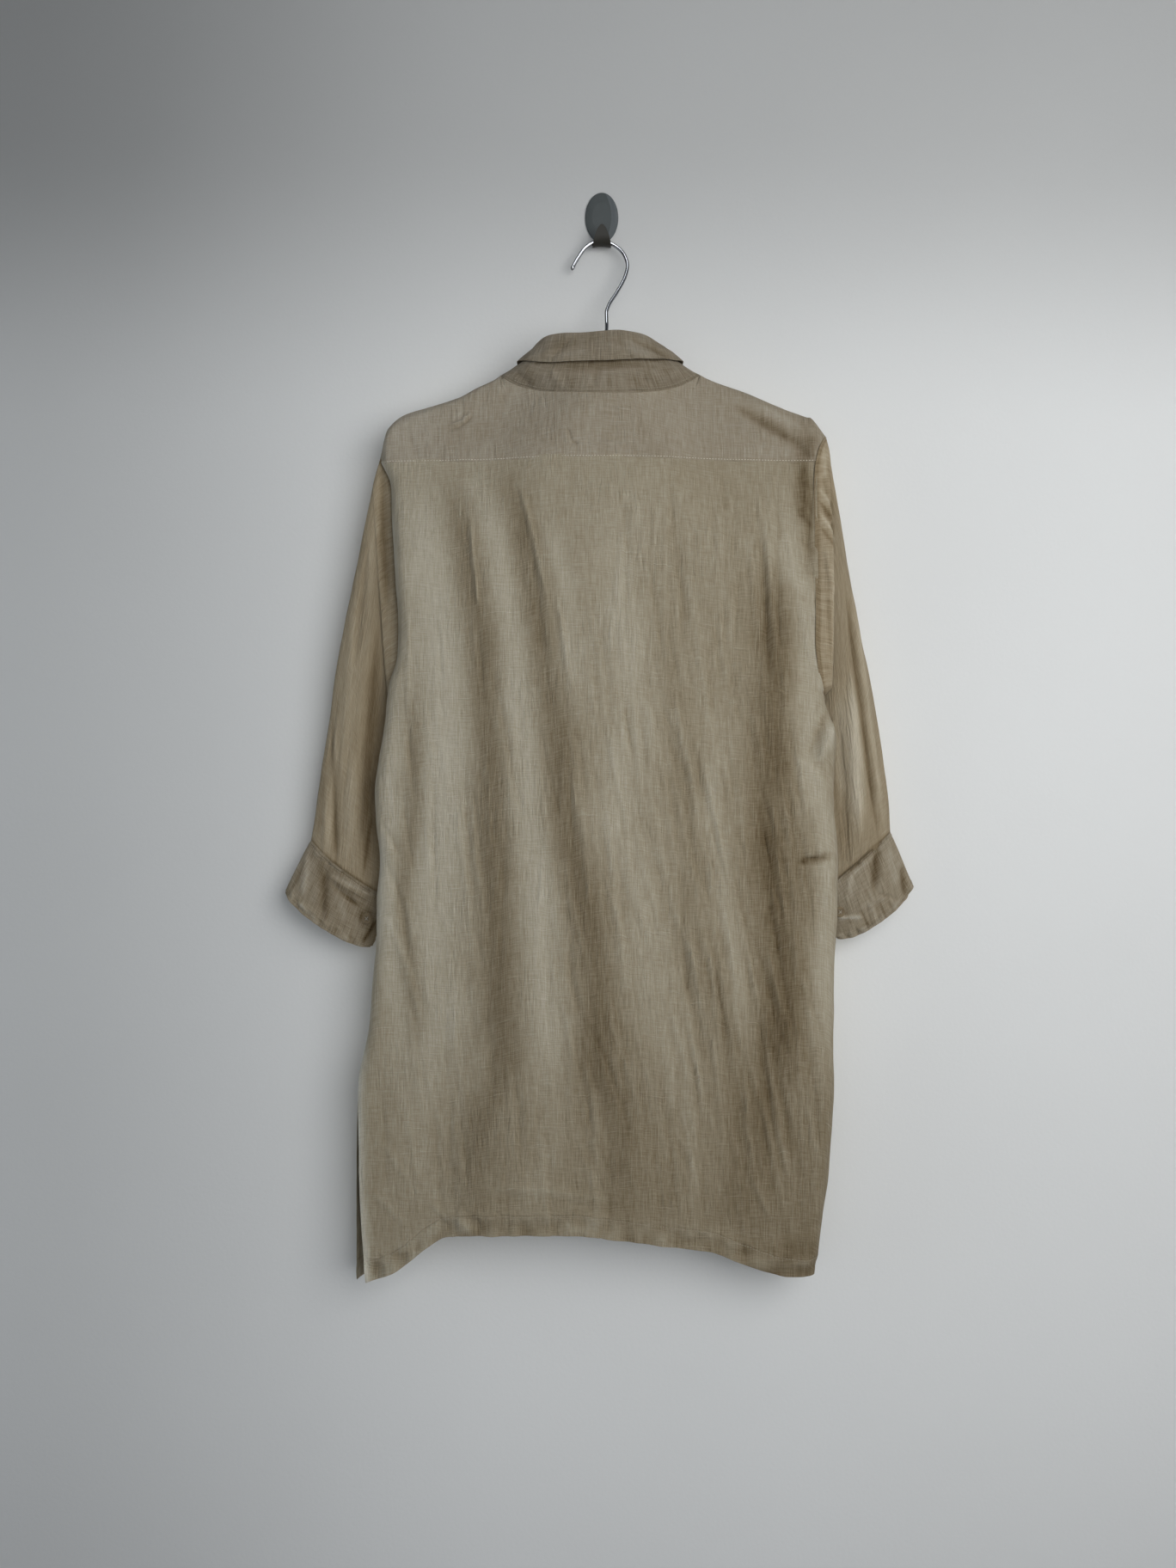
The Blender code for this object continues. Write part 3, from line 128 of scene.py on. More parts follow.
STITCH_SIDES = 5
# A stitch's rings: place along it, width and height over the cloth, as shares of its length
# and of its radius
STITCH_RINGS = ((-0.5, 0.2, -0.85), (-0.3, 0.9, 0.35), (0.3, 0.9, 0.35), (0.5, 0.2, -0.85))
FLANK_X = 0.0035         # the plate's right flank falls away from this curve, at this slope
FLANK_BOW = 0.0065
FLANK_SLOPE = 0.34

# How each cloth piece is worn: its rows and columns (for a sleeve, columns for each of its own),
# the depth at which the photograph's pixels lie on it, the height of its unevenness and the seed
# of that, whether it is a tube, the edges that pucker, with their widths and heights, and its sewn
# lines: each an edge and a distance from it
WORN = dict(
    back=dict(cells=(208, 216), y=-0.075, uneven=0.0012, seed=3.0,
              puckers=(("bottom", HEM_WIDTH, 0.0045),), lines=(("bottom", HEM_WIDTH),)),
    yoke=dict(cells=(100, 300), y=-0.058, uneven=0.0008, seed=5.0),
    front_left=dict(cells=(200, 90), uneven=0.0010, seed=11.0,
                    puckers=(("bottom", HEM_WIDTH, 0.0020),), lines=(("bottom", HEM_WIDTH),)),
    front_right=dict(cells=(200, 90), uneven=0.0010, seed=17.0,
                     puckers=(("bottom", HEM_WIDTH, 0.0020),), lines=(("bottom", HEM_WIDTH),)),
    sleeve=dict(cells=(170, 2), y=-0.045, uneven=0.0010, seed=23.0, tube=True),
    cuff=dict(cells=(52, 220), y=-0.036, uneven=0.0006, seed=29.0, tube=True,
              puckers=(("top", 0.006, 0.0018), ("bottom", 0.007, 0.0028)),
              lines=(("top", 0.003), ("bottom", 0.003))),
    stand=dict(cells=(20, 240), y=-0.062, uneven=0.0, seed=0.0, lines=(("top", 0.002),)),
    fall=dict(cells=(40, 240), y=-0.075, uneven=0.0004, seed=31.0,
              lines=(("left", 0.005), ("right", 0.005))))
LABEL_CELLS = (12, 24)   # the same rows and columns for the label, and its skin's thickness
LABEL_SKIN = 0.0005
# Unevenness: size of the noise, its share of the height, how it stretches, what its seed adds
UNEVEN = ((0.045, 1.0, (1.0, 0.4, 0.7), 0), (0.016, 0.3, (1.0, 0.4, 0.8), 7))
PUCKER_PAINTED_SHADING = 0.50       # puckers get this share more painted highlight and painted shade
PUCKER_SEED = 3
PUCKER_END = 1.25        # they end and fade at these shares of the sewn edge's width,
PUCKER_FADE = 0.5
PUCKER_WIDE = 0.75       # and are this share of it wide, and this much wider
PUCKER_LEAST = 0.002
# Painted highlight beside the back's left and right sides, and its strength
EDGE_PAINTED_HIGHLIGHTS = (("left", 0.70), ("right", 0.16))
# Edges carried on under their neighbours: by how much, and how far in
BACK_TUCK = ("top", 0.004, 0.0004)
TUCK_ROWS = (1.0, 0.4)   # shares of that reach at which rows are added
STAND_TUCKS = (("top", 0.0016, 0.0), ("bottom", 0.0035, 0.0008))
# The fall's shadow on the stand: its strength and reach down, the middle and the half width over
# which it is full, and the width of its soft ends
FALL_SHADOW = dict(painted_shading=0.55, reach=0.0026, middle=-0.001, half=0.056, end=0.014)
# How far from its edge each row of stitches runs
INSETS = dict(hem=HEM_WIDTH - 0.001, yoke=0.0018, stand=0.0040, cuff=0.0035, placket=0.004)

# Linen: layers of smooth noise, each with its size across and down the weave, its detail and
# roughness, and its share in the cloth's brightness. Slubs are the tops of theirs.
LINEN_LAYERS = (
    dict(name="warp", size=(0.0009, 0.022), detail=3.0, roughness=0.6, share=0.76),
    dict(name="weft", size=(0.016, 0.0009), detail=3.0, roughness=0.6, share=0.50),
    dict(name="slub_down", size=(0.0017, 0.060), detail=1.0, share=0.15, slub=True),
    dict(name="slub_across", size=(0.040, 0.0016), detail=1.0, share=0.14, slub=True),
    dict(name="streak", size=(0.0042, 0.055), share=0.18),
    dict(name="thread_down", size=(0.0021, 0.018), share=0.22),
    dict(name="thread_across", size=(0.015, 0.0019), share=0.18),
    dict(name="blotch", size=(0.070, 0.110), detail=3.0, share=0.26))
LINEN_LEVEL = 1.09       # what the layers add up to in the middle
SLUB_LIMITS = (0.62, 0.80)   # a slub begins at the first value of its noise, full at the second
SLUB_RELIEF = 0.5        # how high slubs stand, next to the threads
CRINKLE = dict(size=(0.008, 0.016), detail=3.0, roughness=0.58)
CREASED = dict(size=(0.0065, 0.045))     # sharp upright creases where this noise turns,
CREASE_POWER = 0.7
PATCHES = dict(size=(0.060, 0.080), detail=1.0)      # in patches where this one is high
PATCH_LIMITS = (0.42, 0.62)
# Relief: its height and strength
THREAD_RELIEF = (0.0007, 0.8)
CRINKLE_RELIEF = (0.0022, 0.6)
CREASE_RELIEF = (0.0024, 0.8)
LINE_RELIEF = (0.0005, 0.8)
PAINTED_LIGHT_MIDDLE = 0.65        # the painted light up the cloth adds nothing this far under the hook
PAINTED_SHADE_LOW_FROM = (-1.02, -0.74)    # heights between which painted shade darkens the cloth towards the hem
# A sewn line: half width of its groove and of the step beside it, how far the cloth puckers, and
# the size of those puckers
GROOVE = 0.0011
LINE_STEP = 0.0008
PUCKER_REACH = 0.012
PUCKER_SIZE = 0.0045
BAND_HIGH = 0.7          # how high the cloth's edge stands beside a groove with a depth of 1,
PUCKER_HIGH = 3.0        # and how high its puckers do
# Painted shade in a sewn line's groove
GROOVE_PAINTED_SHADE = -0.07

# Painted shade on the wall, darker to the top and the left and a little paler at the bottom: axis,
# limits, and the change of its brightness at the lower and upper one.
# The first row runs along a slope of both axes, to the upper left corner.
WALL_PAINTED_SHADE_SLOPE = (-0.6, 0.5)
WALL_PAINTED_SHADE = (
    ("slope", 0.02, 0.38, 0.0, -0.03),
    ("z", -0.24, 0.10, 0.0, -0.32),
    ("x", -0.62, -0.10, -0.24, 0.0),
    ("z", -1.30, -0.90, 0.06, 0.0))
WALL_REACH = 14.0
WALL_BEHIND = 0.0006     # it stands this far behind the plate's back
ROOM_DARK = (0.16, 0.17, 0.19, 1.0)      # what the metal mirrors on the left and on the right
ROOM_BRIGHT = (0.80, 0.84, 0.90, 1.0)

# The fine upright creases in CRINKLE_ZONES: limits of their lengths and half widths, and how much
# their lean and bow vary
CRINKLE_SEED = 41
CRINKLE_LENGTHS = (0.05, 0.15)
CRINKLE_WIDTHS = (0.0017, 0.0034)
CRINKLE_LEAN = 0.07
CRINKLE_BOW = 0.0012

# Creases: start and end as x and z, half width, height, bow. A valley has a negative height.
BACK_CREASES = (
    ((-0.1329, -0.3326), (-0.1243, -0.4226), 0.0026, 0.0026),
    ((-0.0840, -0.2983), (-0.0575, -0.4097), 0.0027, 0.0026, 0.0020),
    ((-0.0455, -0.4097), (-0.0317, -0.5040), 0.0022, 0.0020),
    ((0.1962, -0.6780), (0.2322, -0.6720), 0.0034, -0.0066),
    ((0.2245, -0.5280), (0.2056, -0.5726), 0.0034, -0.0026, 0.0010),
    ((0.2314, -0.5380), (0.2185, -0.5760), 0.0056, 0.0044),
    ((0.1919, -0.5726), (0.2236, -0.6026), 0.0050, 0.0016, 0.0020),
    ((-0.2229, -0.6394), (-0.2049, -0.6754), 0.0030, -0.0016, 0.0010),
    ((-0.2186, -0.6797), (-0.2049, -0.7097), 0.0026, -0.0016, -0.0010),
    ((-0.2263, -0.7405), (-0.2049, -0.7371), 0.0030, 0.0016),
    ((-0.2109, -0.7011), (-0.1980, -0.7697), 0.0040, -0.0016, 0.0030),
    ((-0.2134, -0.7440), (-0.1843, -0.8382), 0.0040, 0.0016, 0.0020),
    ((-0.2306, -0.9582), (-0.1980, -1.0011), 0.0040, 0.0012, 0.0020),
    ((-0.2340, -1.0139), (-0.1980, -1.0456), 0.0040, 0.0014, 0.0010),
    ((-0.1757, -1.0216), (-0.1517, -1.0422), 0.0030, 0.0016),
    ((-0.2237, -0.9068), (-0.2186, -1.0096), 0.0030, -0.0010),
    ((-0.1037, -1.0062), (-0.0352, -1.0088), 0.0050, 0.0016, 0.0010),
    ((-0.0437, -1.0114), (0.0163, -1.0165), 0.0040, 0.0015),
    ((-0.0095, -0.8468), (0.0317, -0.9625), 0.0022, -0.0016, 0.0030),
    ((0.0043, -0.8297), (0.0385, -0.9325), 0.0020, 0.0014, 0.0020),
    ((0.0317, -0.8382), (0.0471, -0.9000), 0.0018, 0.0012),
    ((0.0762, -0.7697), (0.0968, -0.8768), 0.0020, -0.0014, 0.0020),
    ((0.0900, -0.6840), (0.1208, -0.7868), 0.0022, 0.0016, 0.0030),
    ((0.1054, -0.7268), (0.1277, -0.8597), 0.0020, -0.0015, -0.0030),
    ((0.1499, -0.7483), (0.1757, -0.8468), 0.0022, -0.0016, 0.0020),
    ((0.1637, -0.7611), (0.1834, -0.8597), 0.0018, 0.0013, 0.0020),
    ((0.1705, -0.8597), (0.1894, -0.9582), 0.0022, -0.0012),
    ((0.1919, -0.7937), (0.2202, -0.8511), 0.0024, -0.0014, 0.0030),
    ((0.1962, -0.8040), (0.2271, -0.7954), 0.0020, 0.0010),
    ((0.0720, -0.9479), (0.0900, -0.9856), 0.0020, 0.0014, 0.0030),
    ((0.0591, -0.9668), (0.0762, -1.0182), 0.0022, -0.0013),
    ((0.1448, -0.9754), (0.1748, -1.0439), 0.0026, 0.0014, -0.0030),
    ((0.1148, -0.8811), (0.1277, -0.9582), 0.0020, -0.0012),
    ((0.1894, -0.2855), (0.2142, -0.3000), 0.0032, -0.0012),
    ((0.1911, -0.3155), (0.2142, -0.3326), 0.0030, -0.0012),
    ((0.1954, -0.3480), (0.2151, -0.3686), 0.0030, -0.0012),
    ((0.1971, -0.3755), (0.2159, -0.3926), 0.0026, -0.0010),
    ((0.1919, -0.4097), (0.2185, -0.4183), 0.0030, -0.0010),
    ((-0.0009, -0.6840), (0.0334, -0.8125), 0.0022, 0.0012, 0.0030),
    ((0.0248, -0.7097), (0.0591, -0.8297), 0.0020, -0.0011, 0.0020),
    ((-0.0523, -0.7783), (-0.0249, -0.8982), 0.0026, 0.0010, 0.0020),
    ((-0.1980, -0.5383), (-0.1894, -0.6154), 0.0034, -0.0012),
    ((-0.1551, -0.8382), (-0.1380, -0.9325), 0.0040, 0.0009),
    ((0.0377, -0.6754), (0.0634, -0.7697), 0.0020, 0.0010, 0.0020))
# Zones of fine upright creases: x and z, how they lean, their height and number
CRINKLE_ZONES = (
    dict(x=(0.060, 0.215), z=(-1.020, -0.560), lean=0.16, high=0.00150, count=140),
    dict(x=(-0.030, 0.100), z=(-1.030, -0.480), lean=0.13, high=0.00130, count=100),
    dict(x=(-0.200, -0.030), z=(-1.030, -0.420), lean=0.06, high=0.00120, count=80),
    dict(x=(0.000, 0.215), z=(-0.560, -0.330), lean=0.05, high=0.00130, count=80))
YOKE_CREASES = (
    ((-0.1551, -0.2358), (-0.1337, -0.2221), 0.0017, 0.0030, -0.0025),
    ((-0.1569, -0.2392), (-0.1320, -0.2255), 0.0018, -0.0022, -0.0025),
    ((0.1401, -0.2194), (0.1957, -0.2541), 0.0055, -0.0022, 0.0010),
    ((0.1560, -0.2170), (0.2050, -0.2430), 0.0050, 0.0012, 0.0010),
    ((-0.0343, -0.2443), (-0.0317, -0.2563), 0.0015, -0.0015),
    ((-0.0317, -0.2572), (-0.0240, -0.2598), 0.0015, -0.0020),
    ((-0.0283, -0.2581), (0.0317, -0.2589), 0.0014, 0.0010),
    ((-0.0317, -0.2246), (0.0317, -0.2238), 0.0014, 0.0010),
    ((0.0325, -0.2246), (0.0325, -0.2581), 0.0014, 0.0010),
    ((0.1919, -0.2469), (0.2099, -0.2675), 0.0040, -0.0018),
    ((-0.1980, -0.2469), (-0.1851, -0.2726), 0.0050, -0.0008))
# The same for the sleeves, the cuffs and the collar, in the photograph's pixels
SLEEVE_CREASES = dict(
    left=(((388, 1000), (384, 850), 0.0050, -0.0030, 0.002),
          ((373, 992), (391, 840), 0.0042, 0.0020, 0.001),
          ((422, 1016), (437, 735), 0.0070, -0.0042, 0.003),
          ((450, 700), (444, 548), 0.0050, -0.0030, 0.001),
          ((396, 900), (412, 690), 0.0060, 0.0018),
          ((412, 770), (426, 640), 0.0040, -0.0016),
          ((420, 1016), (428, 935), 0.0016, 0.0014),
          ((404, 980), (408, 880), 0.0060, 0.0016)),
    right=(((986, 690), (1024, 968), 0.0034, -0.0032, -0.002),
           ((996, 700), (1031, 960), 0.0040, 0.0022, -0.002),
           ((978, 835), (990, 1005), 0.0045, -0.0018),
           ((992, 790), (1003, 965), 0.0065, 0.0032),
           ((955, 556), (969, 598), 0.0028, -0.0020),
           ((955, 596), (971, 622), 0.0026, -0.0020),
           ((957, 640), (966, 694), 0.0030, 0.0016),
           ((958, 700), (963, 780), 0.0030, -0.0012)))
CUFF_CREASES = dict(
    left=(((416, 1054), (387, 1030), 0.0030, -0.0024),
          ((426, 1046), (384, 1020), 0.0024, 0.0018),
          ((356, 992), (352, 1042), 0.0040, 0.0016),
          ((378, 1008), (374, 1066), 0.0045, -0.0020),
          ((346, 1050), (366, 1062), 0.0030, 0.0014),
          ((402, 1074), (386, 1096), 0.0030, -0.0014),
          ((392, 1058), (372, 1080), 0.0030, 0.0012)),
    right=(((1022, 976), (1017, 1034), 0.0050, -0.0032),
           ((1051, 1008), (1053, 1042), 0.0040, -0.0026),
           ((1044, 1046), (1022, 1040), 0.0022, -0.0016),
           ((990, 1062), (1034, 1040), 0.0030, 0.0014),
           ((1008, 1052), (1014, 1078), 0.0018, -0.0013),
           ((1018, 1048), (1026, 1070), 0.0018, -0.0013),
           ((1030, 1046), (1040, 1062), 0.0018, -0.0013),
           ((976, 1068), (1004, 1066), 0.0020, 0.0016),
           ((992, 1010), (986, 1040), 0.0030, 0.0013)))
FALL_CREASES = (((700, 398), (762, 416), 0.0040, 0.0014), ((716, 392), (738, 420), 0.0034, -0.0018),
                ((664, 392), (640, 416), 0.0040, -0.0014),
                ((735, 394), (780, 412), 0.0034, -0.0014),
                ((612, 410), (650, 404), 0.0040, 0.0013))
STAND_CREASES = (((600, 430), (618, 448), 0.0030, -0.0014),
                 ((700, 428), (688, 452), 0.0030, -0.0013),
                 ((640, 430), (652, 450), 0.0034, 0.0011),
                 ((760, 428), (745, 448), 0.0030, -0.0013),
                 ((790, 428), (770, 444), 0.0026, 0.0011))
# Painted light and shade without relief, such as shade in hollows and under buttons and the label's
# shadow through the yoke: start and end in the photograph's pixels, half width, change of
# brightness
YOKE_PAINTED_SHADES = (
    ((500, 505), (640, 500), 0.0260, -0.07), ((862, 524), (925, 526), 0.0090, 0.10),
    ((858, 471), (927, 511), 0.0056, -0.28), ((884, 468), (938, 498), 0.0040, 0.10),
    ((946, 503), (941, 534), 0.0062, -0.24), ((690, 484), (735, 485), 0.0015, -0.07),
    ((663, 473), (700, 472), 0.0015, -0.06), ((741, 472), (743, 512), 0.0015, -0.05),
    ((700, 513), (735, 512), 0.0015, -0.05), ((525, 486), (540, 474), 0.0018, 0.16),
    ((700, 500), (701, 530), 0.0015, -0.07))
BACK_PAINTED_SHADES = (
    ((941, 530), (936, 600), 0.0066, -0.26), ((949, 560), (946, 620), 0.0034, -0.12),
    ((928, 588), (950, 610), 0.0024, -0.18), ((932, 578), (950, 598), 0.0024, 0.12),
    ((930, 1004), (971, 996), 0.0036, -0.16), ((930, 997), (971, 989), 0.0036, 0.05),
    ((962, 832), (950, 872), 0.0026, -0.08), ((968, 836), (969, 876), 0.0044, 0.22),
    ((452, 590), (459, 700), 0.0024, 0.24), ((441, 960), (437, 1115), 0.0036, 0.26),
    ((449, 1000), (452, 1060), 0.0050, 0.08), ((456, 970), (462, 1050), 0.0030, -0.08),
    ((444, 1076), (452, 1074), 0.0060, 0.12), ((946, 930), (950, 1090), 0.0110, -0.20),
    ((900, 1460), (955, 1465), 0.0160, -0.10),
    ((640, 1250), (760, 1250), 0.0600, -0.03), ((650, 740), (690, 850), 0.0300, 0.11),
    ((690, 960), (700, 1080), 0.0260, -0.09), ((890, 960), (900, 1040), 0.0240, -0.08),
    ((885, 760), (880, 850), 0.0160, 0.08), ((905, 1220), (915, 1300), 0.0200, 0.08),
    ((600, 1424), (900, 1440), 0.0080, 0.07), ((445, 1455), (560, 1424), 0.0080, 0.06),
    ((474, 700), (484, 640), 0.0026, 0.12),
    ((456, 905), (463, 930), 0.0028, -0.10), ((447, 900), (452, 940), 0.0030, 0.14))
SLEEVE_PAINTED_SHADES = dict(
    left=(((378, 992), (389, 860), 0.0034, 0.20), ((388, 1002), (385, 850), 0.0032, -0.26),
          ((424, 1018), (438, 735), 0.0058, -0.18), ((419, 1018), (430, 950), 0.0020, -0.30),
          ((400, 1004), (409, 890), 0.0060, 0.12), ((447, 700), (442, 560), 0.0036, -0.16),
          ((426, 700), (436, 600), 0.0040, 0.12), ((366, 975), (376, 890), 0.0026, -0.16)),
    right=(((986, 690), (1024, 968), 0.0022, -0.22), ((995, 700), (1031, 958), 0.0032, 0.16),
           ((990, 790), (1001, 965), 0.0095, 0.44), ((978, 800), (983, 930), 0.0050, 0.30),
           ((974, 900), (985, 1005), 0.0026, -0.16),
           ((950, 572), (970, 592), 0.0024, 0.32), ((950, 586), (971, 612), 0.0026, -0.42),
           ((950, 600), (973, 628), 0.0024, 0.34), ((951, 616), (971, 642), 0.0024, -0.34),
           ((957, 520), (958, 560), 0.0028, 0.18), ((962, 540), (972, 600), 0.0018, -0.20),
           ((958, 650), (963, 760), 0.0026, -0.14), ((966, 640), (966, 760), 0.0020, 0.14)))
CUFF_PAINTED_SHADES = dict(
    left=(((388, 1003), (436, 1029), 0.0017, -0.42), ((366, 984), (392, 1003), 0.0016, 0.34),
          ((384, 1016), (432, 1043), 0.0021, 0.22), ((384, 1023), (430, 1050), 0.0024, -0.16),
          ((418, 1056), (398, 1040), 0.0024, -0.28), ((415, 1068), (433, 1066), 0.0096, -0.34),
          ((437, 1070), (419, 1099), 0.0025, -0.50), ((358, 994), (352, 1042), 0.0042, 0.22),
          ((372, 1000), (381, 1068), 0.0050, -0.24), ((344, 1048), (372, 1076), 0.0030, 0.20),
          ((392, 1040), (402, 1074), 0.0050, 0.14), ((364, 990), (336, 1038), 0.0022, -0.20),
          ((392, 1076), (404, 1094), 0.0026, 0.14), ((384, 1082), (392, 1094), 0.0022, -0.14)),
    right=(((980, 1022), (1036, 968), 0.0017, -0.40), ((984, 1026), (1038, 975), 0.0017, 0.20),
           ((1021, 980), (1017, 1034), 0.0044, -0.28), ((1034, 985), (1044, 1030), 0.0050, 0.16),
           ((1051, 1008), (1055, 1042), 0.0032, -0.22), ((976, 1069), (1004, 1067), 0.0024, 0.46),
           ((1000, 1056), (1012, 1080), 0.0020, -0.22), ((1010, 1050), (1022, 1074), 0.0020, 0.16),
           ((1022, 1048), (1032, 1068), 0.0020, -0.20), ((992, 1020), (988, 1050), 0.0044, 0.14),
           ((1036, 1042), (1044, 1060), 0.0020, 0.16), ((984, 1060), (994, 1076), 0.0020, -0.18)))
FALL_PAINTED_SHADES = (
    ((700, 391), (640, 404), 0.0060, -0.12), ((736, 393), (780, 413), 0.0040, -0.16),
    ((724, 392), (768, 412), 0.0034, 0.14), ((658, 391), (626, 414), 0.0050, -0.12),
    ((700, 403), (758, 409), 0.0040, 0.09), ((616, 404), (600, 420), 0.0040, -0.12),
    ((688, 409), (650, 412), 0.0030, 0.08), ((712, 391), (722, 414), 0.0030, -0.09))
STAND_PAINTED_SHADES = (
    ((645, 430), (755, 428), 0.0060, -0.24), ((612, 424), (620, 448), 0.0034, -0.14),
    ((700, 438), (750, 431), 0.0030, 0.13), ((660, 440), (668, 455), 0.0022, -0.14),
    ((684, 438), (690, 453), 0.0022, 0.12), ((735, 440), (748, 452), 0.0024, -0.14),
    ((632, 436), (640, 452), 0.0026, 0.12), ((770, 428), (782, 442), 0.0030, -0.12),
    ((757, 430), (772, 446), 0.0026, 0.10))

# Driving sizes
WALL = 0.0012            # thickness of the cloth walls
SEAM_GAP = 0.00035       # clear gap between two pieces at a seam
SEAM_REACH = 0.0009      # from an edge to the middle of a wall that meets it at an angle
FRONT_DROP = 0.0008      # the fronts' upper edges lie this far under the yoke and the neck line
STAND_REACH = 0.0018     # the same where the stand leans over the neck's edge
ARMPIT_REACH = 0.0014    # and where three pieces meet at the armpit
LEFT_SLEEVE_MORE = 0.0005    # the left sleeve stands this much further off
RIDGE_RADIUS = 0.012     # the cloth's turn over the hanger
RIDGE_SPREAD = 0.160     # height over which the body opens to its full depth
YOKE_SEAM_Z = -0.2735    # the back yoke seam
YOKE_FORWARD = 0.025     # how far the yoke reaches over the shoulder to the front
ARMPIT_Z = -0.510
NECK_HALF = 0.1027       # half the width of the neck seam
NECK_X = -0.0022         # its middle
NECK_BACK_Z = -0.2080
NECK_FRONT_Z = -0.2650
TURN_SHARE = 0.10        # share of a panel's half width that turns into the body's side
TURN_REACH = 0.066       # the same turn, as a share of the half width in x
OVERLAP = 0.015          # each front reaches this far past the centre
OVERLAP_STEP = 0.0021    # the left front lies this far outside the right one
STEP_START = 0.055       # it leaves the right one's depth from here to the centre
STEP_WIDTH = 0.035
VENT_OPEN = 0.012        # how far each edge of the right vent draws back, over this height
VENT_REACH = 0.05
CUFF_STEP = 0.0021       # a cuff's upper end lies this far outside its under end
CUFF_LIFT_TURN = 1.7     # and rises to that over this much of its turn
PLACKET_THICK = 0.0010
LABEL_THICK = 0.0008
EDGE_SHARE = 0.0009      # half the gap at a side seam, as a share of the half width
BUTTON_RADIUS = 0.0057
BUTTON_THICK = 0.0022
WIRE_RADIUS = 0.0019

# The shoulder line, left tip to right tip: x and height. Between the neck sides it is a guide only.
RIDGE = dict(
    x=(-0.2279, -0.2226, -0.2148, -0.2040, -0.1721, -0.1465, -0.1297, -0.1049, -0.060, -0.002,
       0.057, 0.1005, 0.1447, 0.1730, 0.2058, 0.2146, 0.2222, 0.2297),
    z=(-0.2681, -0.2425, -0.2301, -0.2221, -0.2124, -0.2035, -0.1937, -0.1810, -0.130, -0.065,
       -0.130, -0.1800, -0.1982, -0.2106, -0.2230, -0.2262, -0.2325, -0.2451))

# The body's left and right sides: height and x
LEFT_SIDE = dict(
    z=(-1.110, -1.020, -0.943, -0.900, -0.875, -0.853, -0.809, -0.764, -0.721, -0.677, -0.642,
       -0.607, -0.572, -0.537, -0.502, -0.467, -0.432, -0.397, -0.362, -0.327, -0.296, -0.268),
    x=(-0.2522, -0.2520, -0.2515, -0.2490, -0.2425, -0.2386, -0.2351, -0.2307, -0.2302, -0.2264,
       -0.2303, -0.2325, -0.2281, -0.2229, -0.2185, -0.2095, -0.2089, -0.2112, -0.2132, -0.2150,
       -0.2165, -0.2279))
RIGHT_SIDE = dict(
    z=(-1.110, -1.099, -1.082, -1.042, -0.992, -0.9045, -0.808, -0.721, -0.677, -0.620, -0.585,
       -0.556, -0.530, -0.512, -0.470, -0.400, -0.300, -0.245),
    x=(0.2140, 0.2164, 0.2199, 0.2243, 0.2313, 0.2357, 0.2357, 0.2396, 0.2396, 0.2362, 0.2362,
       0.2385, 0.2313, 0.2262, 0.2305, 0.2325, 0.2312, 0.2297))

# The body's depth: height, middle plane, then its reach to the camera and to the wall,
# each at the centre and beside the arms
DEPTH = dict(
    z=(-1.110, -0.900, -0.700, -0.510, -0.380, -0.271, -0.180),
    plane=(-0.0445, -0.0445, -0.0445, -0.0440, -0.0430, -0.0400, -0.0360),
    near_mid=(0.0310, 0.0320, 0.0320, 0.0320, 0.0320, 0.0330, 0.0330),
    near_edge=(0.0150, 0.0150, 0.0150, 0.0160, 0.0190, 0.0180, 0.0160),
    far_mid=(0.0290, 0.0290, 0.0290, 0.0285, 0.0280, 0.0250, 0.0200),
    far_edge=(0.0140, 0.0140, 0.0140, 0.0145, 0.0160, 0.0160, 0.0150))

# The hems, from the left side to the right: x and height
HEM_BACK = dict(
    x=(-0.245, -0.209, -0.176, -0.155, -0.100, -0.034, 0.025, 0.076, 0.108, 0.148, 0.187, 0.216),
    z=(-1.106, -1.092, -1.067, -1.056, -1.0525, -1.051, -1.057, -1.0645, -1.070, -1.086, -1.098,
       -1.099))
HEM_FRONT = dict(
    x=(-0.252, -0.209, -0.150, -0.034, 0.076, 0.148, 0.187, 0.216),
    z=(-1.108, -1.092, -1.056, -1.040, -1.050, -1.078, -1.096, -1.099))

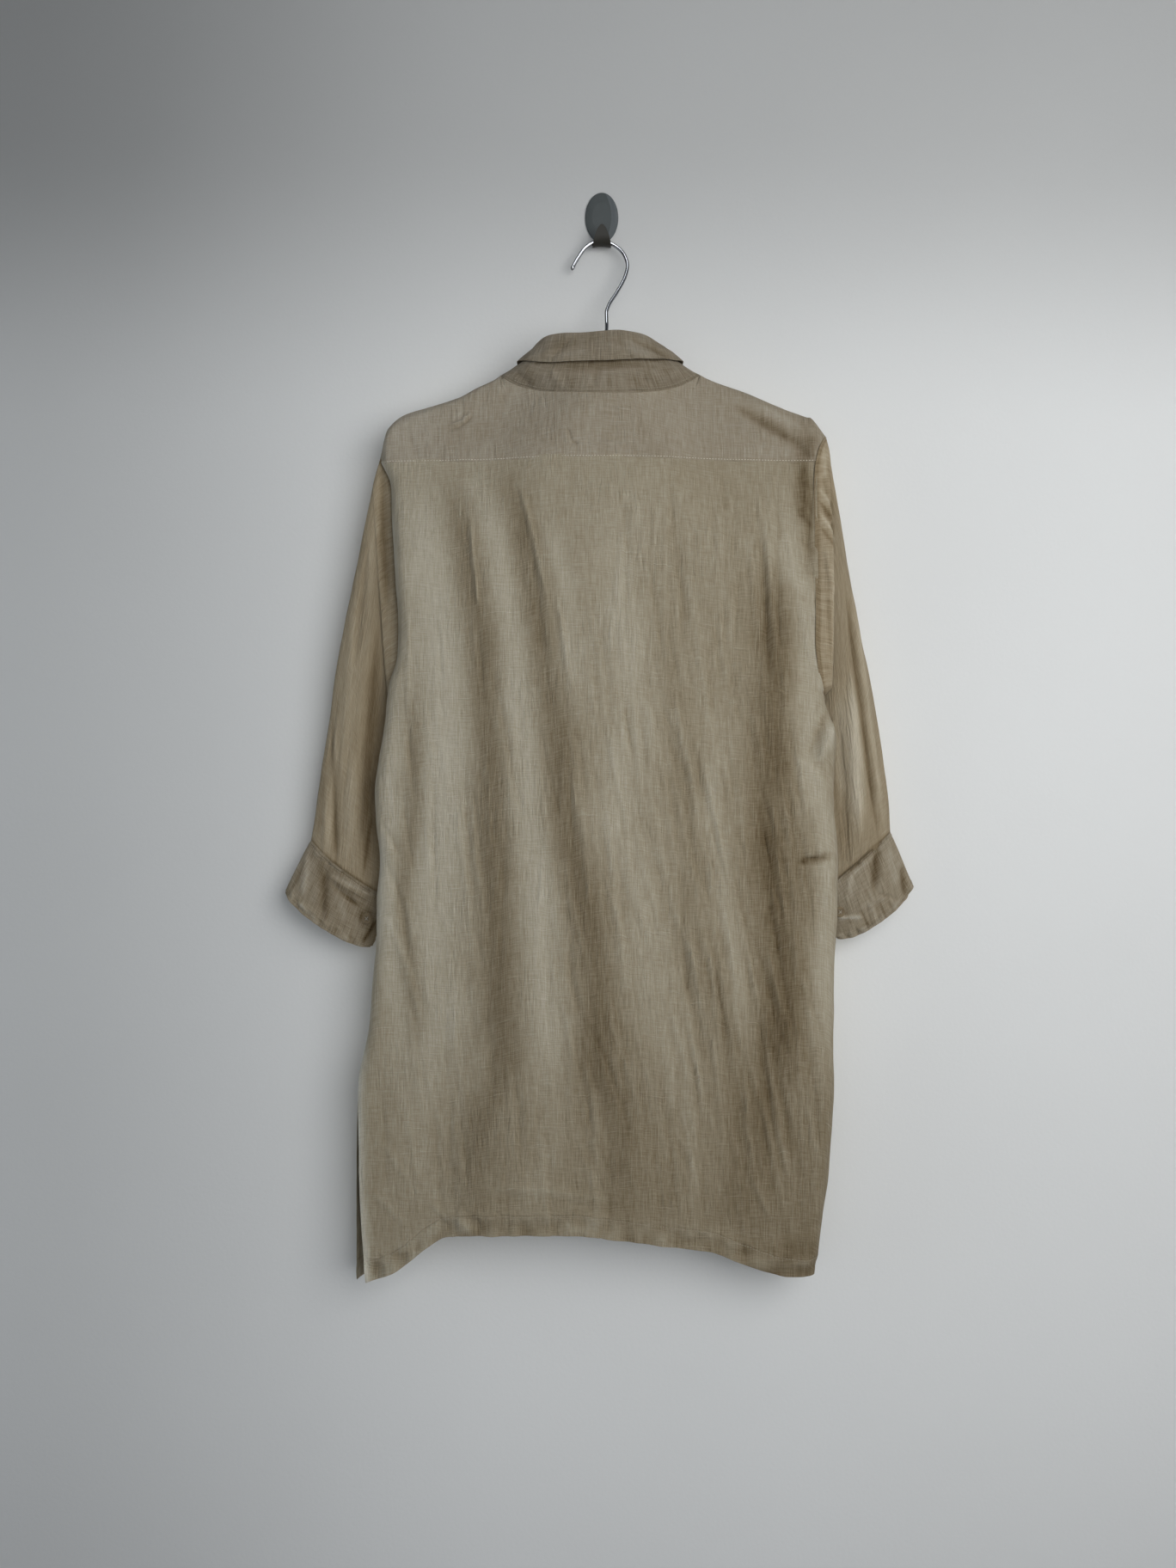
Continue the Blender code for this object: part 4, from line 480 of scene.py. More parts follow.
# Long folds of the back, as bands of painted light (above 0) or painted shade. Each runs from its
# top through the common levels below it to its bottom, and x has a value for each of these heights.
# The cloth rises to the right along the painted dark ones and falls along the pale ones.
FOLD_LEVELS = (-0.315, -0.367, -0.418, -0.470, -0.521, -0.573, -0.624, -0.675, -0.727, -0.778,
               -0.830,
               -0.881, -0.933)
FOLDS_BACK = (
    dict(top=-0.521, bottom=-0.847, half=0.010, painted_shading=0.15,
         x=(-0.210, -0.211, -0.215, -0.216, -0.216, -0.216, -0.207)),
    dict(top=-0.315, bottom=-0.984, half=0.027, painted_shading=0.24,
         x=(-0.175, -0.172, -0.167, -0.163, -0.156, -0.159, -0.160, -0.165, -0.169, -0.171,
            -0.162, -0.179, -0.181, -0.183)),
    dict(top=-0.521, bottom=-0.838, half=0.010, painted_shading=-0.26,
         x=(-0.189, -0.189, -0.190, -0.197, -0.201, -0.193, -0.188)),
    dict(top=-0.298, bottom=-1.001, half=0.019, painted_shading=-0.36,
         x=(-0.155, -0.149, -0.138, -0.129, -0.121, -0.119, -0.113, -0.112, -0.111, -0.107,
            -0.104, -0.104, -0.099, -0.119, -0.136)),
    dict(top=-0.298, bottom=-0.993, half=0.018, painted_shading=0.27,
         x=(-0.124, -0.118, -0.104, -0.094, -0.087, -0.086, -0.078, -0.075, -0.069, -0.061,
            -0.060, -0.056, -0.052, -0.052, -0.063)),
    dict(top=-0.298, bottom=-1.001, half=0.020, painted_shading=-0.32,
         x=(-0.092, -0.087, -0.077, -0.069, -0.060, -0.049, -0.043, -0.039, -0.030, -0.018,
            -0.009, -0.004, -0.005, 0.015, 0.022)),
    dict(top=-0.324, bottom=-0.453, half=0.009, painted_shading=0.17,
         x=(-0.059, -0.048, -0.035, -0.032)),
    dict(top=-0.350, bottom=-0.993, half=0.024, painted_shading=0.17,
         x=(0.013, 0.015, 0.018, 0.026, 0.026, 0.018, 0.015, 0.026, 0.040, 0.045, 0.052, 0.075,
            0.085, 0.095)),
    dict(top=-0.470, bottom=-0.958, half=0.015, painted_shading=-0.13,
         x=(0.068, 0.075, 0.083, 0.084, 0.086, 0.093, 0.095, 0.117, 0.135, 0.128)),
    dict(top=-0.555, bottom=-0.847, half=0.012, painted_shading=0.15,
         x=(0.116, 0.118, 0.107, 0.116, 0.120, 0.135, 0.147)),
    dict(top=-0.401, bottom=-1.001, half=0.025, painted_shading=-0.38,
         x=(0.166, 0.171, 0.175, 0.167, 0.171, 0.170, 0.170, 0.175, 0.183, 0.181, 0.177, 0.159,
            0.145)),
    dict(top=-0.333, bottom=-0.847, half=0.017, painted_shading=0.31,
         x=(0.184, 0.189, 0.205, 0.206, 0.205, 0.206, 0.218, 0.223, 0.222, 0.222, 0.222)),
    dict(z=(-0.247, -0.273, -0.307, -0.333, -0.367), half=0.010, painted_shading=-0.26,
         x=(0.203, 0.203, 0.206, 0.208, 0.213)))
FOLDS_FRONT = (
    dict(top=-0.36, bottom=-1.10, x=(-0.140, -0.150), half=0.026, high=0.0050),
    dict(top=-0.45, bottom=-1.10, x=(-0.085, -0.070), half=0.024, high=-0.0060),
    dict(top=-0.42, bottom=-1.10, x=(0.090, 0.080), half=0.026, high=-0.0060),
    dict(top=-0.36, bottom=-1.10, x=(0.150, 0.160), half=0.026, high=0.0050))

# Where the panels end at the sides, as shares of the half width that turn round the side.
# The left opening for the arm lies behind the side, the right one shows its back seam.
ARM_LEFT = dict(sign=-1, tip_z=-0.2681, near=0.015, far=0.150, yoke_x=-0.2215)
ARM_RIGHT = dict(sign=1, tip_z=-0.2451, near=-0.100, far=0.100, yoke_x=0.2150)
# The side seams lie this share behind the sides, at the armpit and at the hem
SEAM_ARMPIT = 0.015
SEAM_HEM = {-1: 0.015, 1: 0.110}
RIGHT_VENT_Z = -0.880
LEFT_VENT = dict(
    z=(-1.110, -1.070, -1.020, -0.943, -0.900, -0.875, -0.860),
    back_off=(0.105, 0.090, 0.072, 0.056, 0.044, 0.020, 0.0))

# The sleeves, shoulder to cuff: the outer and the inner end of each section (x, z and depth),
# its reach to the camera and to the wall, and how far its near side bows outward
SLEEVE_LEFT = dict(
    outer_x=(-0.2335, -0.2372, -0.2425, -0.2485, -0.2591, -0.2686, -0.2769, -0.2842, -0.2905,
             -0.2959, -0.3018),
    outer_z=(-0.2850, -0.3020, -0.3260, -0.3537, -0.4051, -0.4500, -0.4960, -0.5457, -0.5849,
             -0.6205, -0.6570),
    outer_y=(-0.036, -0.036, -0.036, -0.035, -0.034, -0.032, -0.030, -0.028, -0.026, -0.0245,
             -0.0235),
    inner_x=(-0.2215, -0.2200, -0.2185, -0.2180, -0.2180, -0.2180, -0.2180, -0.2180, -0.2185,
             -0.2190, -0.2205),
    inner_z=(-0.5080, -0.5170, -0.5330, -0.5520, -0.5740, -0.5960, -0.6180, -0.6400, -0.6640,
             -0.6880, -0.7165),
    inner_y=(-0.0300, -0.0215, -0.0175, -0.0165, -0.0160, -0.0160, -0.0160, -0.0160, -0.0160,
             -0.0160, -0.0165),
    near=(0.0060, 0.0080, 0.0100, 0.0120, 0.0130, 0.0135, 0.0140, 0.0140, 0.0140, 0.0135, 0.0125),
    far=(0.0110, 0.0115, 0.0110, 0.0105, 0.0100, 0.0100, 0.0100, 0.0100, 0.0100, 0.0100, 0.0100),
    bow=(0.0, 0.0, 0.0, 0.0, 0.0, 0.0, 0.0, 0.0, 0.0, 0.0, 0.0))
SLEEVE_RIGHT = dict(
    outer_x=(0.2332, 0.2370, 0.2432, 0.2503, 0.2583, 0.2674, 0.2763, 0.2852, 0.2923, 0.2971,
             0.2995),
    outer_z=(-0.2560, -0.2790, -0.3147, -0.3590, -0.4033, -0.4488, -0.4890, -0.5359, -0.5804,
             -0.6161, -0.6490),
    outer_y=(-0.037, -0.036, -0.036, -0.035, -0.033, -0.031, -0.029, -0.027, -0.025, -0.024,
             -0.0235),
    inner_x=(0.2335, 0.2300, 0.2255, 0.2235, 0.2225, 0.2220, 0.2220, 0.2220, 0.2225, 0.2235,
             0.2245),
    inner_z=(-0.5030, -0.5130, -0.5330, -0.5540, -0.5760, -0.5980, -0.6200, -0.6440, -0.6680,
             -0.6920, -0.7172),
    inner_y=(-0.0450, -0.0240, -0.0175, -0.0165, -0.0160, -0.0160, -0.0160, -0.0160, -0.0160,
             -0.0160, -0.0165),
    near=(0.0170, 0.0100, 0.0120, 0.0130, 0.0135, 0.0140, 0.0140, 0.0140, 0.0140, 0.0135, 0.0125),
    far=(0.0150, 0.0130, 0.0110, 0.0105, 0.0100, 0.0100, 0.0100, 0.0100, 0.0100, 0.0100, 0.0100),
    bow=(0.0, -0.006, -0.002, 0.0, 0.0, 0.0, 0.0, 0.0, 0.0, 0.0, 0.0))
# Lengthwise valleys of a sleeve: angle round it from the outer edge, half width, depth and first
# section
SLEEVE_VALLEYS = dict(
    left=((2.20, 0.34, 0.0060, 3),),
    right=((1.95, 0.36, 0.0050, 4),))

# The cuffs' lower rims, and how far the seam and the rim dip between their ends
CUFF_LEFT = dict(outer=(-0.3302, -0.0235, -0.7126), inner=(-0.2400, -0.0170, -0.7690),
                 dip=(0.0055, 0.0100))
CUFF_RIGHT = dict(outer=(0.3233, -0.0235, -0.7064), inner=(0.2443, -0.0170, -0.7600),
                  dip=(-0.0020, 0.0110))
CUFF_NEAR = 0.0135
CUFF_FAR = 0.0110
CUFF_UNDER = 2.25        # angle at which the under end starts
CUFF_OVER = 2.80         # angle at which the upper end stops, one turn later
CUFF_ROWS = (0.013, 0.5, 1.0)    # shares of the way from the sleeve's end to the rim

# The collar's rings, from the neck seam up the stand, over the roll and down to the free edge:
# half width, reach to the camera and to the wall, how far its front leaves the neck seam's depth
# for that reach, its heights at the back, the sides and the front, and the power of the cosine
# that takes it down to the front
COLLAR = dict(
    half=(0.1027, 0.0920, 0.0824, 0.0755, 0.0696, 0.0704, 0.0714, 0.0785, 0.0850),
    near=(-0.0730, -0.0725, -0.0715, -0.0702, -0.0688, -0.0702, -0.0718, -0.0755, -0.0775),
    far=(-0.0180, -0.0190, -0.0195, -0.0200, -0.0205, -0.0190, -0.0175, -0.0135, -0.0110),
    lean=(0.0, 0.15, 0.35, 0.50, 1.0, 1.0, 1.0, 1.0, 1.0),
    back_z=(-0.2080, -0.1900, -0.1735, -0.1600, -0.1490, -0.1478, -0.1492, -0.1620, -0.1785),
    side_z=(-0.1810, -0.1762, -0.1705, -0.1655, -0.1604, -0.1592, -0.1600, -0.1640, -0.1690),
    front_z=(-0.2650, -0.2500, -0.2360, -0.2290, -0.2222, -0.2212, -0.2226, -0.2500, -0.2850),
    rise=(1.3, 1.3, 1.3, 1.3, 1.3, 1.3, 1.4, 1.7, 2.0))
STAND_RINGS = 3          # the first rings make the stand
ROLL_RING = 5            # the ring along the top of the roll
BACK_FLAT = 0.5          # the rings are level at the back over this share of their half width,
BACK_FALL = 1.8          # then fall to the sides by this power
FRONT_ROUND = 0.65       # power of the cosine that shapes their front
FALL_REST = 0.0018       # the fall's middle lies this far outside the fronts' middle
FALL_OPENING = 0.16      # half the angle left open at the front
FALL_SPREAD = 0.34       # how much further the points spread
NECK_FALL = 1.3          # power of the cosine that takes the neck seam down at the back
SIDE_SHARE = 0.22        # share of the front neck curve that the yoke's forward part takes

# The hanger's wire, from its tip over the wall hook and down to the wood
WIRE_PATH = (
    (-0.0318, -0.0110, -0.0601), (-0.0290, -0.0106, -0.0535), (-0.0245, -0.0102, -0.0457),
    (-0.0164, -0.0100, -0.0352), (-0.0074, -0.0100, -0.0306), (-0.0002, -0.0100, -0.0302),
    (0.0068, -0.0100, -0.0309), (0.0160, -0.0106, -0.0358), (0.0236, -0.0124, -0.0450),
    (0.0268, -0.0146, -0.0567), (0.0243, -0.0170, -0.0690), (0.0156, -0.0205, -0.0869),
    (0.0066, -0.0240, -0.1030), (0.0045, -0.0258, -0.1110), (0.0048, -0.0290, -0.1254),
    (0.0036, -0.0340, -0.1400), (0.0018, -0.0372, -0.1558))
HANGER_HALF = 0.2030     # half the hanger's width
HANGER_X = 0.0010
HANGER_APEX_Z = -0.1625
HANGER_SHOULDER = 0.109  # inside this the wood leaves the cloth and rises to the wire
HANGER_RISE = 0.9        # power of that rise
HANGER_HALF_DEPTH = 0.0086
HANGER_HALF_HEIGHT = 0.0072
HANGER_NECK = (0.0050, 0.0060)   # half depth and half height inside the neck
HANGER_NECK_X = 0.090    # the wood thickens from here outward
HANGER_NECK_TURN = 0.020
HANGER_TIP = 0.75        # share of its half width beyond which it tapers to a rounded end
HANGER_GAP = 0.0017

# The wall hook: an oval plate whose foot turns up into a tongue
PLATE_HALF = (0.0175, 0.0265)
PLATE_RIM = 0.0012
PLATE_CROWN = 0.0014
TONGUE_THICK = 0.0014
TONGUE_SAG = 0.0010      # the tongue's edges lie lower than its middle, as the wire does
TONGUE = dict(
    y=(-0.0012, -0.0016, -0.0040, -0.0070, -0.0100, -0.0132, -0.0160, -0.0175, -0.0178, -0.0176,
       -0.0174),
    z=(-0.0215, -0.0266, -0.0312, -0.0331, -0.0336, -0.0329, -0.0304, -0.0267, -0.0221, -0.0180,
       -0.0146),
    half=(0.0080, 0.0095, 0.0098, 0.0096, 0.0094, 0.0092, 0.0088, 0.0078, 0.0062, 0.0044, 0.0020))

LABEL = dict(x=(-0.0310, 0.0337), z=(-0.2552, -0.2216))

# A button's section, from the middle of its back round the rim to the middle of its face, as shares
# of its radius and thickness; its holes; and its threads, that cross: places along a thread and
# heights over its face, as shares of HOLE_REACH and THREAD_RISE
BUTTON_SECTION = ((0.0, -0.5), (0.86, -0.5), (0.97, -0.25), (1.0, 0.1), (0.94, 0.42), (0.84, 0.5),
                  (0.72, 0.44), (0.64, 0.22), (0.5, 0.16), (0.0, 0.14))
BUTTON_SIDES = 48
HOLE_RADIUS = 0.00085
HOLE_SIDES = 14
HOLE_AT = BUTTON_RADIUS * 0.27
HOLE_REACH = HOLE_AT * 1.41      # a hole's distance from the button's middle
THREAD_ARCH = ((-1.1, -1.2), (-0.8, 0.2), (0.0, 0.45), (0.8, 0.2), (1.1, -1.2))
THREAD_RISE = 0.0004
THREAD_RADIUS = 0.00024
THREAD_SHIFTS = (-0.00025, 0.00025)
THREAD_SIDES = 6
BUTTON_FACING = dict(button_collar=(0.0, 1.0, 0.35), button_cuff_left=(-0.35, -1.0, 0.05),
                     button_cuff_right=(0.35, -1.0, 0.05))
FRONT_FACING = (0.0, 1.0, 0.0)

# How finely the pieces are divided. The yoke's rows follow its turn over the hanger: distances
# from the shoulder line, and at the armhole shares of the way from the yoke's edges to its tip.
YOKE_TURNS = (-0.0165, -0.0075, 0.0, 0.0075, 0.0165)
YOKE_BOTTOM = (-0.1012, 0.0968)  # x on the back seam of its first and last column at the neck
YOKE_END = dict(back=(1.0, 0.55, 0.22, 0.06), front=(0.25, 0.6, 1.0))
BACK_COLUMNS = 120
BACK_UPPER_ROWS = 40
LOWER_ROWS = 100
YOKE_SHOULDER = 24
YOKE_NECK = 48
FRONT_SHOULDER = 18
FRONT_NECK = 22
CUFF_COLUMNS = 72


def through(x, xs, ys):
    """A smooth curve through a table's points that never overshoots between them."""
    xs, ys = np.asarray(xs, float), np.asarray(ys, float)
    step = np.diff(xs)
    slope = np.diff(ys) / step
    tangent = np.zeros_like(ys)
    left, right = slope[:-1], slope[1:]
    same = left * right > 0
    total = np.where(same, left + right, 1.0)
    tangent[1:-1] = np.where(same, 2 * left * right / total, 0.0)
    tangent[0], tangent[-1] = slope[0], slope[-1]
    x = np.clip(np.asarray(x, float), xs[0], xs[-1])
    i = np.clip(np.searchsorted(xs, x) - 1, 0, len(xs) - 2)
    u = (x - xs[i]) / step[i]
    h = step[i]
    start = (1 + 2 * u) * (1 - u) ** 2 * ys[i] + u * (1 - u) ** 2 * h * tangent[i]
    end = u * u * (3 - 2 * u) * ys[i + 1] + u * u * (u - 1) * h * tangent[i + 1]
    return start + end


def smooth(value):
    value = np.clip(value, 0.0, 1.0)
    return value * value * (3 - 2 * value)


def blend(start, end, share):
    return start + (end - start) * share


def ridge_z(x):
    return through(x, RIDGE["x"], RIDGE["z"])


def side_x(z):
    return through(z, LEFT_SIDE["z"], LEFT_SIDE["x"]), through(z, RIGHT_SIDE["z"], RIGHT_SIDE["x"])


def share_to_across(t):
    """Turn a share of the half width (-1 to 1) into a position across, slowing down at the turn."""
    size = np.abs(t)
    turn = np.clip((1 - size) / TURN_SHARE, 0, 1) * pi / 2
    flat = size * (1 - TURN_REACH) / (1 - TURN_SHARE)
    return np.sign(t) * np.where(size < 1 - TURN_SHARE, flat, 1 - TURN_REACH * (1 - np.cos(turn)))


def closing(across):
    """How far the depth has closed at a position across: 1 inside, 0 at the side."""
    over = np.clip((np.abs(across) - (1 - TURN_REACH)) / TURN_REACH, 0, 1)
    return np.sqrt(np.maximum(1 - over ** 2, 0))


def fold_heights(fold):
    """A long fold's heights: its top, the next common levels and its bottom."""
    below = [z for z in FOLD_LEVELS if z < fold["top"]]
    return fold["top"], *below[:len(fold["x"]) - 2], fold["bottom"]


def fold_bands(x, z, table):
    """Each long fold's row, and how far points lie from its middle, with soft ends."""
    x, z = np.broadcast_arrays(x, z)
    for fold in table:
        heights = fold["z"] if "z" in fold else fold_heights(fold)
        low, high = min(heights), max(heights)
        middle = through(z, heights[::-1], fold["x"][::-1])
        fade = (smooth((high + FOLD_START[0] - z) / FOLD_START[1])
                * smooth((z - low + FOLD_END[0]) / FOLD_END[1]))
        yield fold, (x - middle) / fold["half"], fade


def folds(x, z, table):
    """Height of the long folds. A table with tones gives slopes, any other ridges and valleys."""
    total = np.zeros(np.broadcast(x, z).shape)
    for fold, away, fade in fold_bands(x, z, table):
        if "painted_shading" in fold:
            rise = -FOLD_SLOPE * fold["painted_shading"] * fold["half"] * FOLD_RISE
            total = total + rise * fade * np.tanh(FOLD_FLANK * away)
        else:
            total = total + fold["high"] * fade * np.exp(-away ** 2)
    return total


def fold_painted_shading(x, z):
    """The painted light and shade of the back along its long folds."""
    total = sum(fold["painted_shading"] * fade * np.exp(-away ** 2)
                for fold, away, fade in fold_bands(x, z, FOLDS_BACK))
    return total * (1 - FOLD_LOW["share"] * smooth((FOLD_LOW["z"] - z) / FOLD_LOW["reach"]))


def depth_point(x, z, toward_wall):
    """The point of the body's cloth at x and z, on the wall side or on the camera side."""
    left, right = side_x(z)
    across = np.clip((2 * x - left - right) / (right - left), -1, 1)
    side = "far" if toward_wall else "near"
    middle = through(z, DEPTH["z"], DEPTH[side + "_mid"])
    edge = through(z, DEPTH["z"], DEPTH[side + "_edge"])
    reach = edge + (middle - edge) * np.cos(across * pi / 2) ** 2
    below = np.maximum(ridge_z(x) - z, 0)
    round_over = np.sqrt(np.maximum(1 - (1 - np.minimum(below / RIDGE_RADIUS, 1)) ** 2, 0))
    first = RIDGE_RADIUS / reach
    opened = first * round_over + (1 - first) * smooth(below / RIDGE_SPREAD)
    table = FOLDS_FRONT if toward_wall else FOLDS_BACK
    depth = (reach * opened + folds(x, z, table)) * closing(across)
    plane = through(z, DEPTH["z"], DEPTH["plane"])
    y = plane + depth if toward_wall else plane - depth
    return np.stack(np.broadcast_arrays(x, y, z), -1)


def body_point(t, z):
    """The body's cloth at a share t round it: -1 to 1 is the back, beyond it the front."""
    t, z = np.broadcast_arrays(np.asarray(t, float), np.asarray(z, float))
    turned = np.where(np.abs(t) > 1, np.sign(t) * (2 - np.abs(t)), t)
    left, right = side_x(z)
    x = (left + right) / 2 + (right - left) / 2 * share_to_across(turned)
    return np.where((np.abs(t) > 1)[..., None], depth_point(x, z, True), depth_point(x, z, False))


def arm_edges(z, arm):
    """The shares at which the back and the front end at the armhole, at a height."""
    h = np.clip((arm["tip_z"] - z) / (arm["tip_z"] - ARMPIT_Z), 0, 1)
    bow = np.sqrt(np.maximum(1 - np.abs(2 * h - 1) ** 6, 0))
    base = 1 + SEAM_ARMPIT * smooth((h - 0.80) / 0.20)
    return arm["sign"] * (base + arm["near"] * bow), arm["sign"] * (base + arm["far"] * bow)


def seam_share(z, sign):
    """The share at which a side seam lies, below the armpit."""
    return 1 + blend(SEAM_ARMPIT, SEAM_HEM[sign], smooth((ARMPIT_Z - z) / 0.30))


def normals_of(grid, around):
    """Unit normals of a grid of points, rows by columns."""
    if around:
        wrapped = np.concatenate((grid[:, -1:], grid, grid[:, :1]), axis=1)
        along_row = (wrapped[:, 2:] - wrapped[:, :-2])
    else:
        along_row = np.gradient(grid, axis=1, edge_order=2)
    along_column = np.gradient(grid, axis=0, edge_order=2)
    normal = np.cross(along_row, along_column)
    length = np.linalg.norm(normal, axis=2, keepdims=True)
    return normal / np.maximum(length, 1e-12)


# The yoke and the neck line

def reach_to_z(x, w):
    """The height at a distance along the cloth from the shoulder line."""
    away = np.abs(w)
    quarter = RIDGE_RADIUS * pi / 2
    turned = RIDGE_RADIUS * (1 - np.cos(np.minimum(away, quarter) / RIDGE_RADIUS))
    return ridge_z(x) - turned - np.maximum(away - quarter, 0)


def z_to_reach(x, z):
    """The distance along the cloth from the shoulder line at a height."""
    below = np.maximum(ridge_z(x) - z, 0)
    turned = RIDGE_RADIUS * np.arccos(1 - np.minimum(below / RIDGE_RADIUS, 1))
    return turned + np.maximum(below - RIDGE_RADIUS, 0)


def shoulder_point(x, w):
    """A point of the cloth over the shoulder, w back (negative) or forward from its line."""
    z = reach_to_z(x, w)
    return np.where((w > 0)[..., None], depth_point(x, z, True), depth_point(x, z, False))


def neck_side(sign):
    x = NECK_X + sign * NECK_HALF
    return x, float(ridge_z(x))


def neck_line(angle):
    """The neck seam at an angle round it: 0 is the centre back, +-pi the centre front."""
    out = np.zeros((len(angle), 3))
    for i, a in enumerate(angle):
        sign = 1.0 if a >= 0 else -1.0
        size = abs(a)
        side, side_height = neck_side(sign)
        if size <= pi / 2:
            x = NECK_X + NECK_HALF * np.sin(a)
            z = side_height + (NECK_BACK_Z - side_height) * np.cos(a) ** NECK_FALL
            out[i] = depth_point(np.array(x), np.array(z), False)
            continue
        share = (size - pi / 2) / (pi / 2)
        if share < SIDE_SHARE:
            w = np.array(YOKE_FORWARD * share / SIDE_SHARE)
            out[i] = shoulder_point(np.array(side), w)
            continue
        turn = (share - SIDE_SHARE) / (1 - SIDE_SHARE) * pi / 2
        out[i] = front_neck(sign, np.array([turn]))[0]
    return out


def front_neck(sign, turn):
    """The front neck line from the yoke's corner (turn 0) to the centre front (a quarter turn)."""
    side, _ = neck_side(sign)
    corner = float(reach_to_z(side, YOKE_FORWARD))
    x = NECK_X + sign * NECK_HALF * np.cos(turn)
    z = corner + (NECK_FRONT_Z - corner) * np.sin(turn)
    return lift_left_front(depth_point(x, z, True), sign)


def lift_left_front(points, sign):
    """The left front's centre lies outside the right one's."""
    if sign < 0:
        points = points.copy()
        across = points[..., 0] - (NECK_X - STEP_START)
        points[..., 1] += OVERLAP_STEP * smooth(across / STEP_WIDTH)
    return points


def arm_heights(arm, front_reach):
    """Shares of the armhole's height where the back seam and the front seam meet it."""
    h = np.linspace(0, 0.4, 400)
    z = arm["tip_z"] + (ARMPIT_Z - arm["tip_z"]) * h
    back = (arm["tip_z"] - YOKE_SEAM_Z) / (arm["tip_z"] - ARMPIT_Z)
    _, far = arm_edges(z, arm)
    points = body_point(far, z)
    reach = z_to_reach(points[:, 0], z)
    front = float(np.interp(front_reach, reach, h))
    return back, front


def arm_points(arm, h, front):
    """Points of the armhole's front or back edge at shares of its height, from the shoulder."""
    z = arm["tip_z"] + (ARMPIT_Z - arm["tip_z"]) * np.asarray(h, float)
    near, far = arm_edges(z, arm)
    return body_point(far if front else near, z)


def yoke_rows(x):
    """Distances of the yoke's rows from the shoulder line, from its seam at x to its front edge."""
    lowest = -float(z_to_reach(np.array(x), YOKE_SEAM_Z))
    return np.array((lowest, (lowest + YOKE_TURNS[0]) / 2) + YOKE_TURNS + (YOKE_FORWARD,))


def yoke_grid():
    """The yoke from armhole to armhole: both shoulders' columns, and between them the neck's."""
    columns = []
    for arm in (ARM_LEFT, ARM_RIGHT):
        back_h, front_h = arm_heights(arm, YOKE_FORWARD)
        end = np.concatenate((arm_points(arm, back_h * np.array(YOKE_END["back"]), False),
                              arm_points(arm, [0.0], True),
                              arm_points(arm, front_h * np.array(YOKE_END["front"]), True)))
        side, _ = neck_side(arm["sign"])
        part = [end]
        for x in np.linspace(arm["yoke_x"], side, YOKE_SHOULDER):
            w = yoke_rows(x)
            part.append(shoulder_point(np.full(len(w), x), w))
        columns.append(part)
    forward = [w for w in YOKE_TURNS[::-1] if w >= 0]
    tops = [(neck_side(-1)[0], w) for w in forward]
    for point in neck_line(np.linspace(-pi / 2, pi / 2, YOKE_NECK + 1)[1:-1]):
        tops.append((point[0], -float(z_to_reach(point[0], point[2]))))
    tops += [(neck_side(1)[0], w) for w in forward[::-1]]
    turns = yoke_rows(neck_side(1)[0])
    turns = (turns - turns[0]) / (YOKE_FORWARD - turns[0])
    even = np.linspace(0, 1, len(turns))
    neck = []
    bottoms = np.linspace(YOKE_BOTTOM[0], YOKE_BOTTOM[1], len(tops))
    for k, (bottom, (x, w)) in enumerate(zip(bottoms, tops)):
        inward = min(k, len(tops) - 1 - k)
        rows = blend(turns, even, smooth((inward - len(forward) + 1) / 5))
        neck.append(shoulder_point(blend(bottom, x, rows), blend(yoke_rows(bottom)[0], w, rows)))
    left, right = columns
    return np.stack(left + neck + right[::-1], axis=1)


# The back and the fronts

def spread(count, ease=0.3):
    """Shares from 0 to 1, a little closer together at both ends."""
    u = np.linspace(0, 1, count + 1)
    return blend(u, (1 - np.cos(pi * u)) / 2, ease)


def hem_z(x, table):
    return through(x, table["x"], table["z"])


def back_grid():
    """The back below its yoke, from side to side: rows beside the armholes, then to the hem."""
    across = spread(BACK_COLUMNS)
    rows = []
    gap = EDGE_SHARE
    for v in np.linspace(0, 1, BACK_UPPER_ROWS + 1):
        z = blend(YOKE_SEAM_Z - SEAM_GAP, ARMPIT_Z, v)
        left, _ = arm_edges(z, ARM_LEFT)
        right, _ = arm_edges(z, ARM_RIGHT)
        last = v == 1
        t = blend(left + gap * last, right - gap * last, across)
        rows.append(body_point(t, np.full_like(t, z)))
    for v in np.linspace(0, 1, LOWER_ROWS + 1)[1:]:
        z = np.full(BACK_COLUMNS + 1, ARMPIT_Z)
        for _ in range(3):
            left = -seam_share(z, -1) + gap + through(z, LEFT_VENT["z"], LEFT_VENT["back_off"])
            right = seam_share(z, 1) - gap - vent_share(z)
            t = blend(left, right, across)
            x = body_point(t, z)[..., 0]
            z = blend(ARMPIT_Z, hem_z(x, HEM_BACK), v)
        rows.append(body_point(t, z))
    return np.stack(rows)


def vent_share(z):
    """How far each edge of the right vent draws back from its seam, as a share of the width."""
    return VENT_OPEN * smooth((RIGHT_VENT_Z - z) / VENT_REACH)


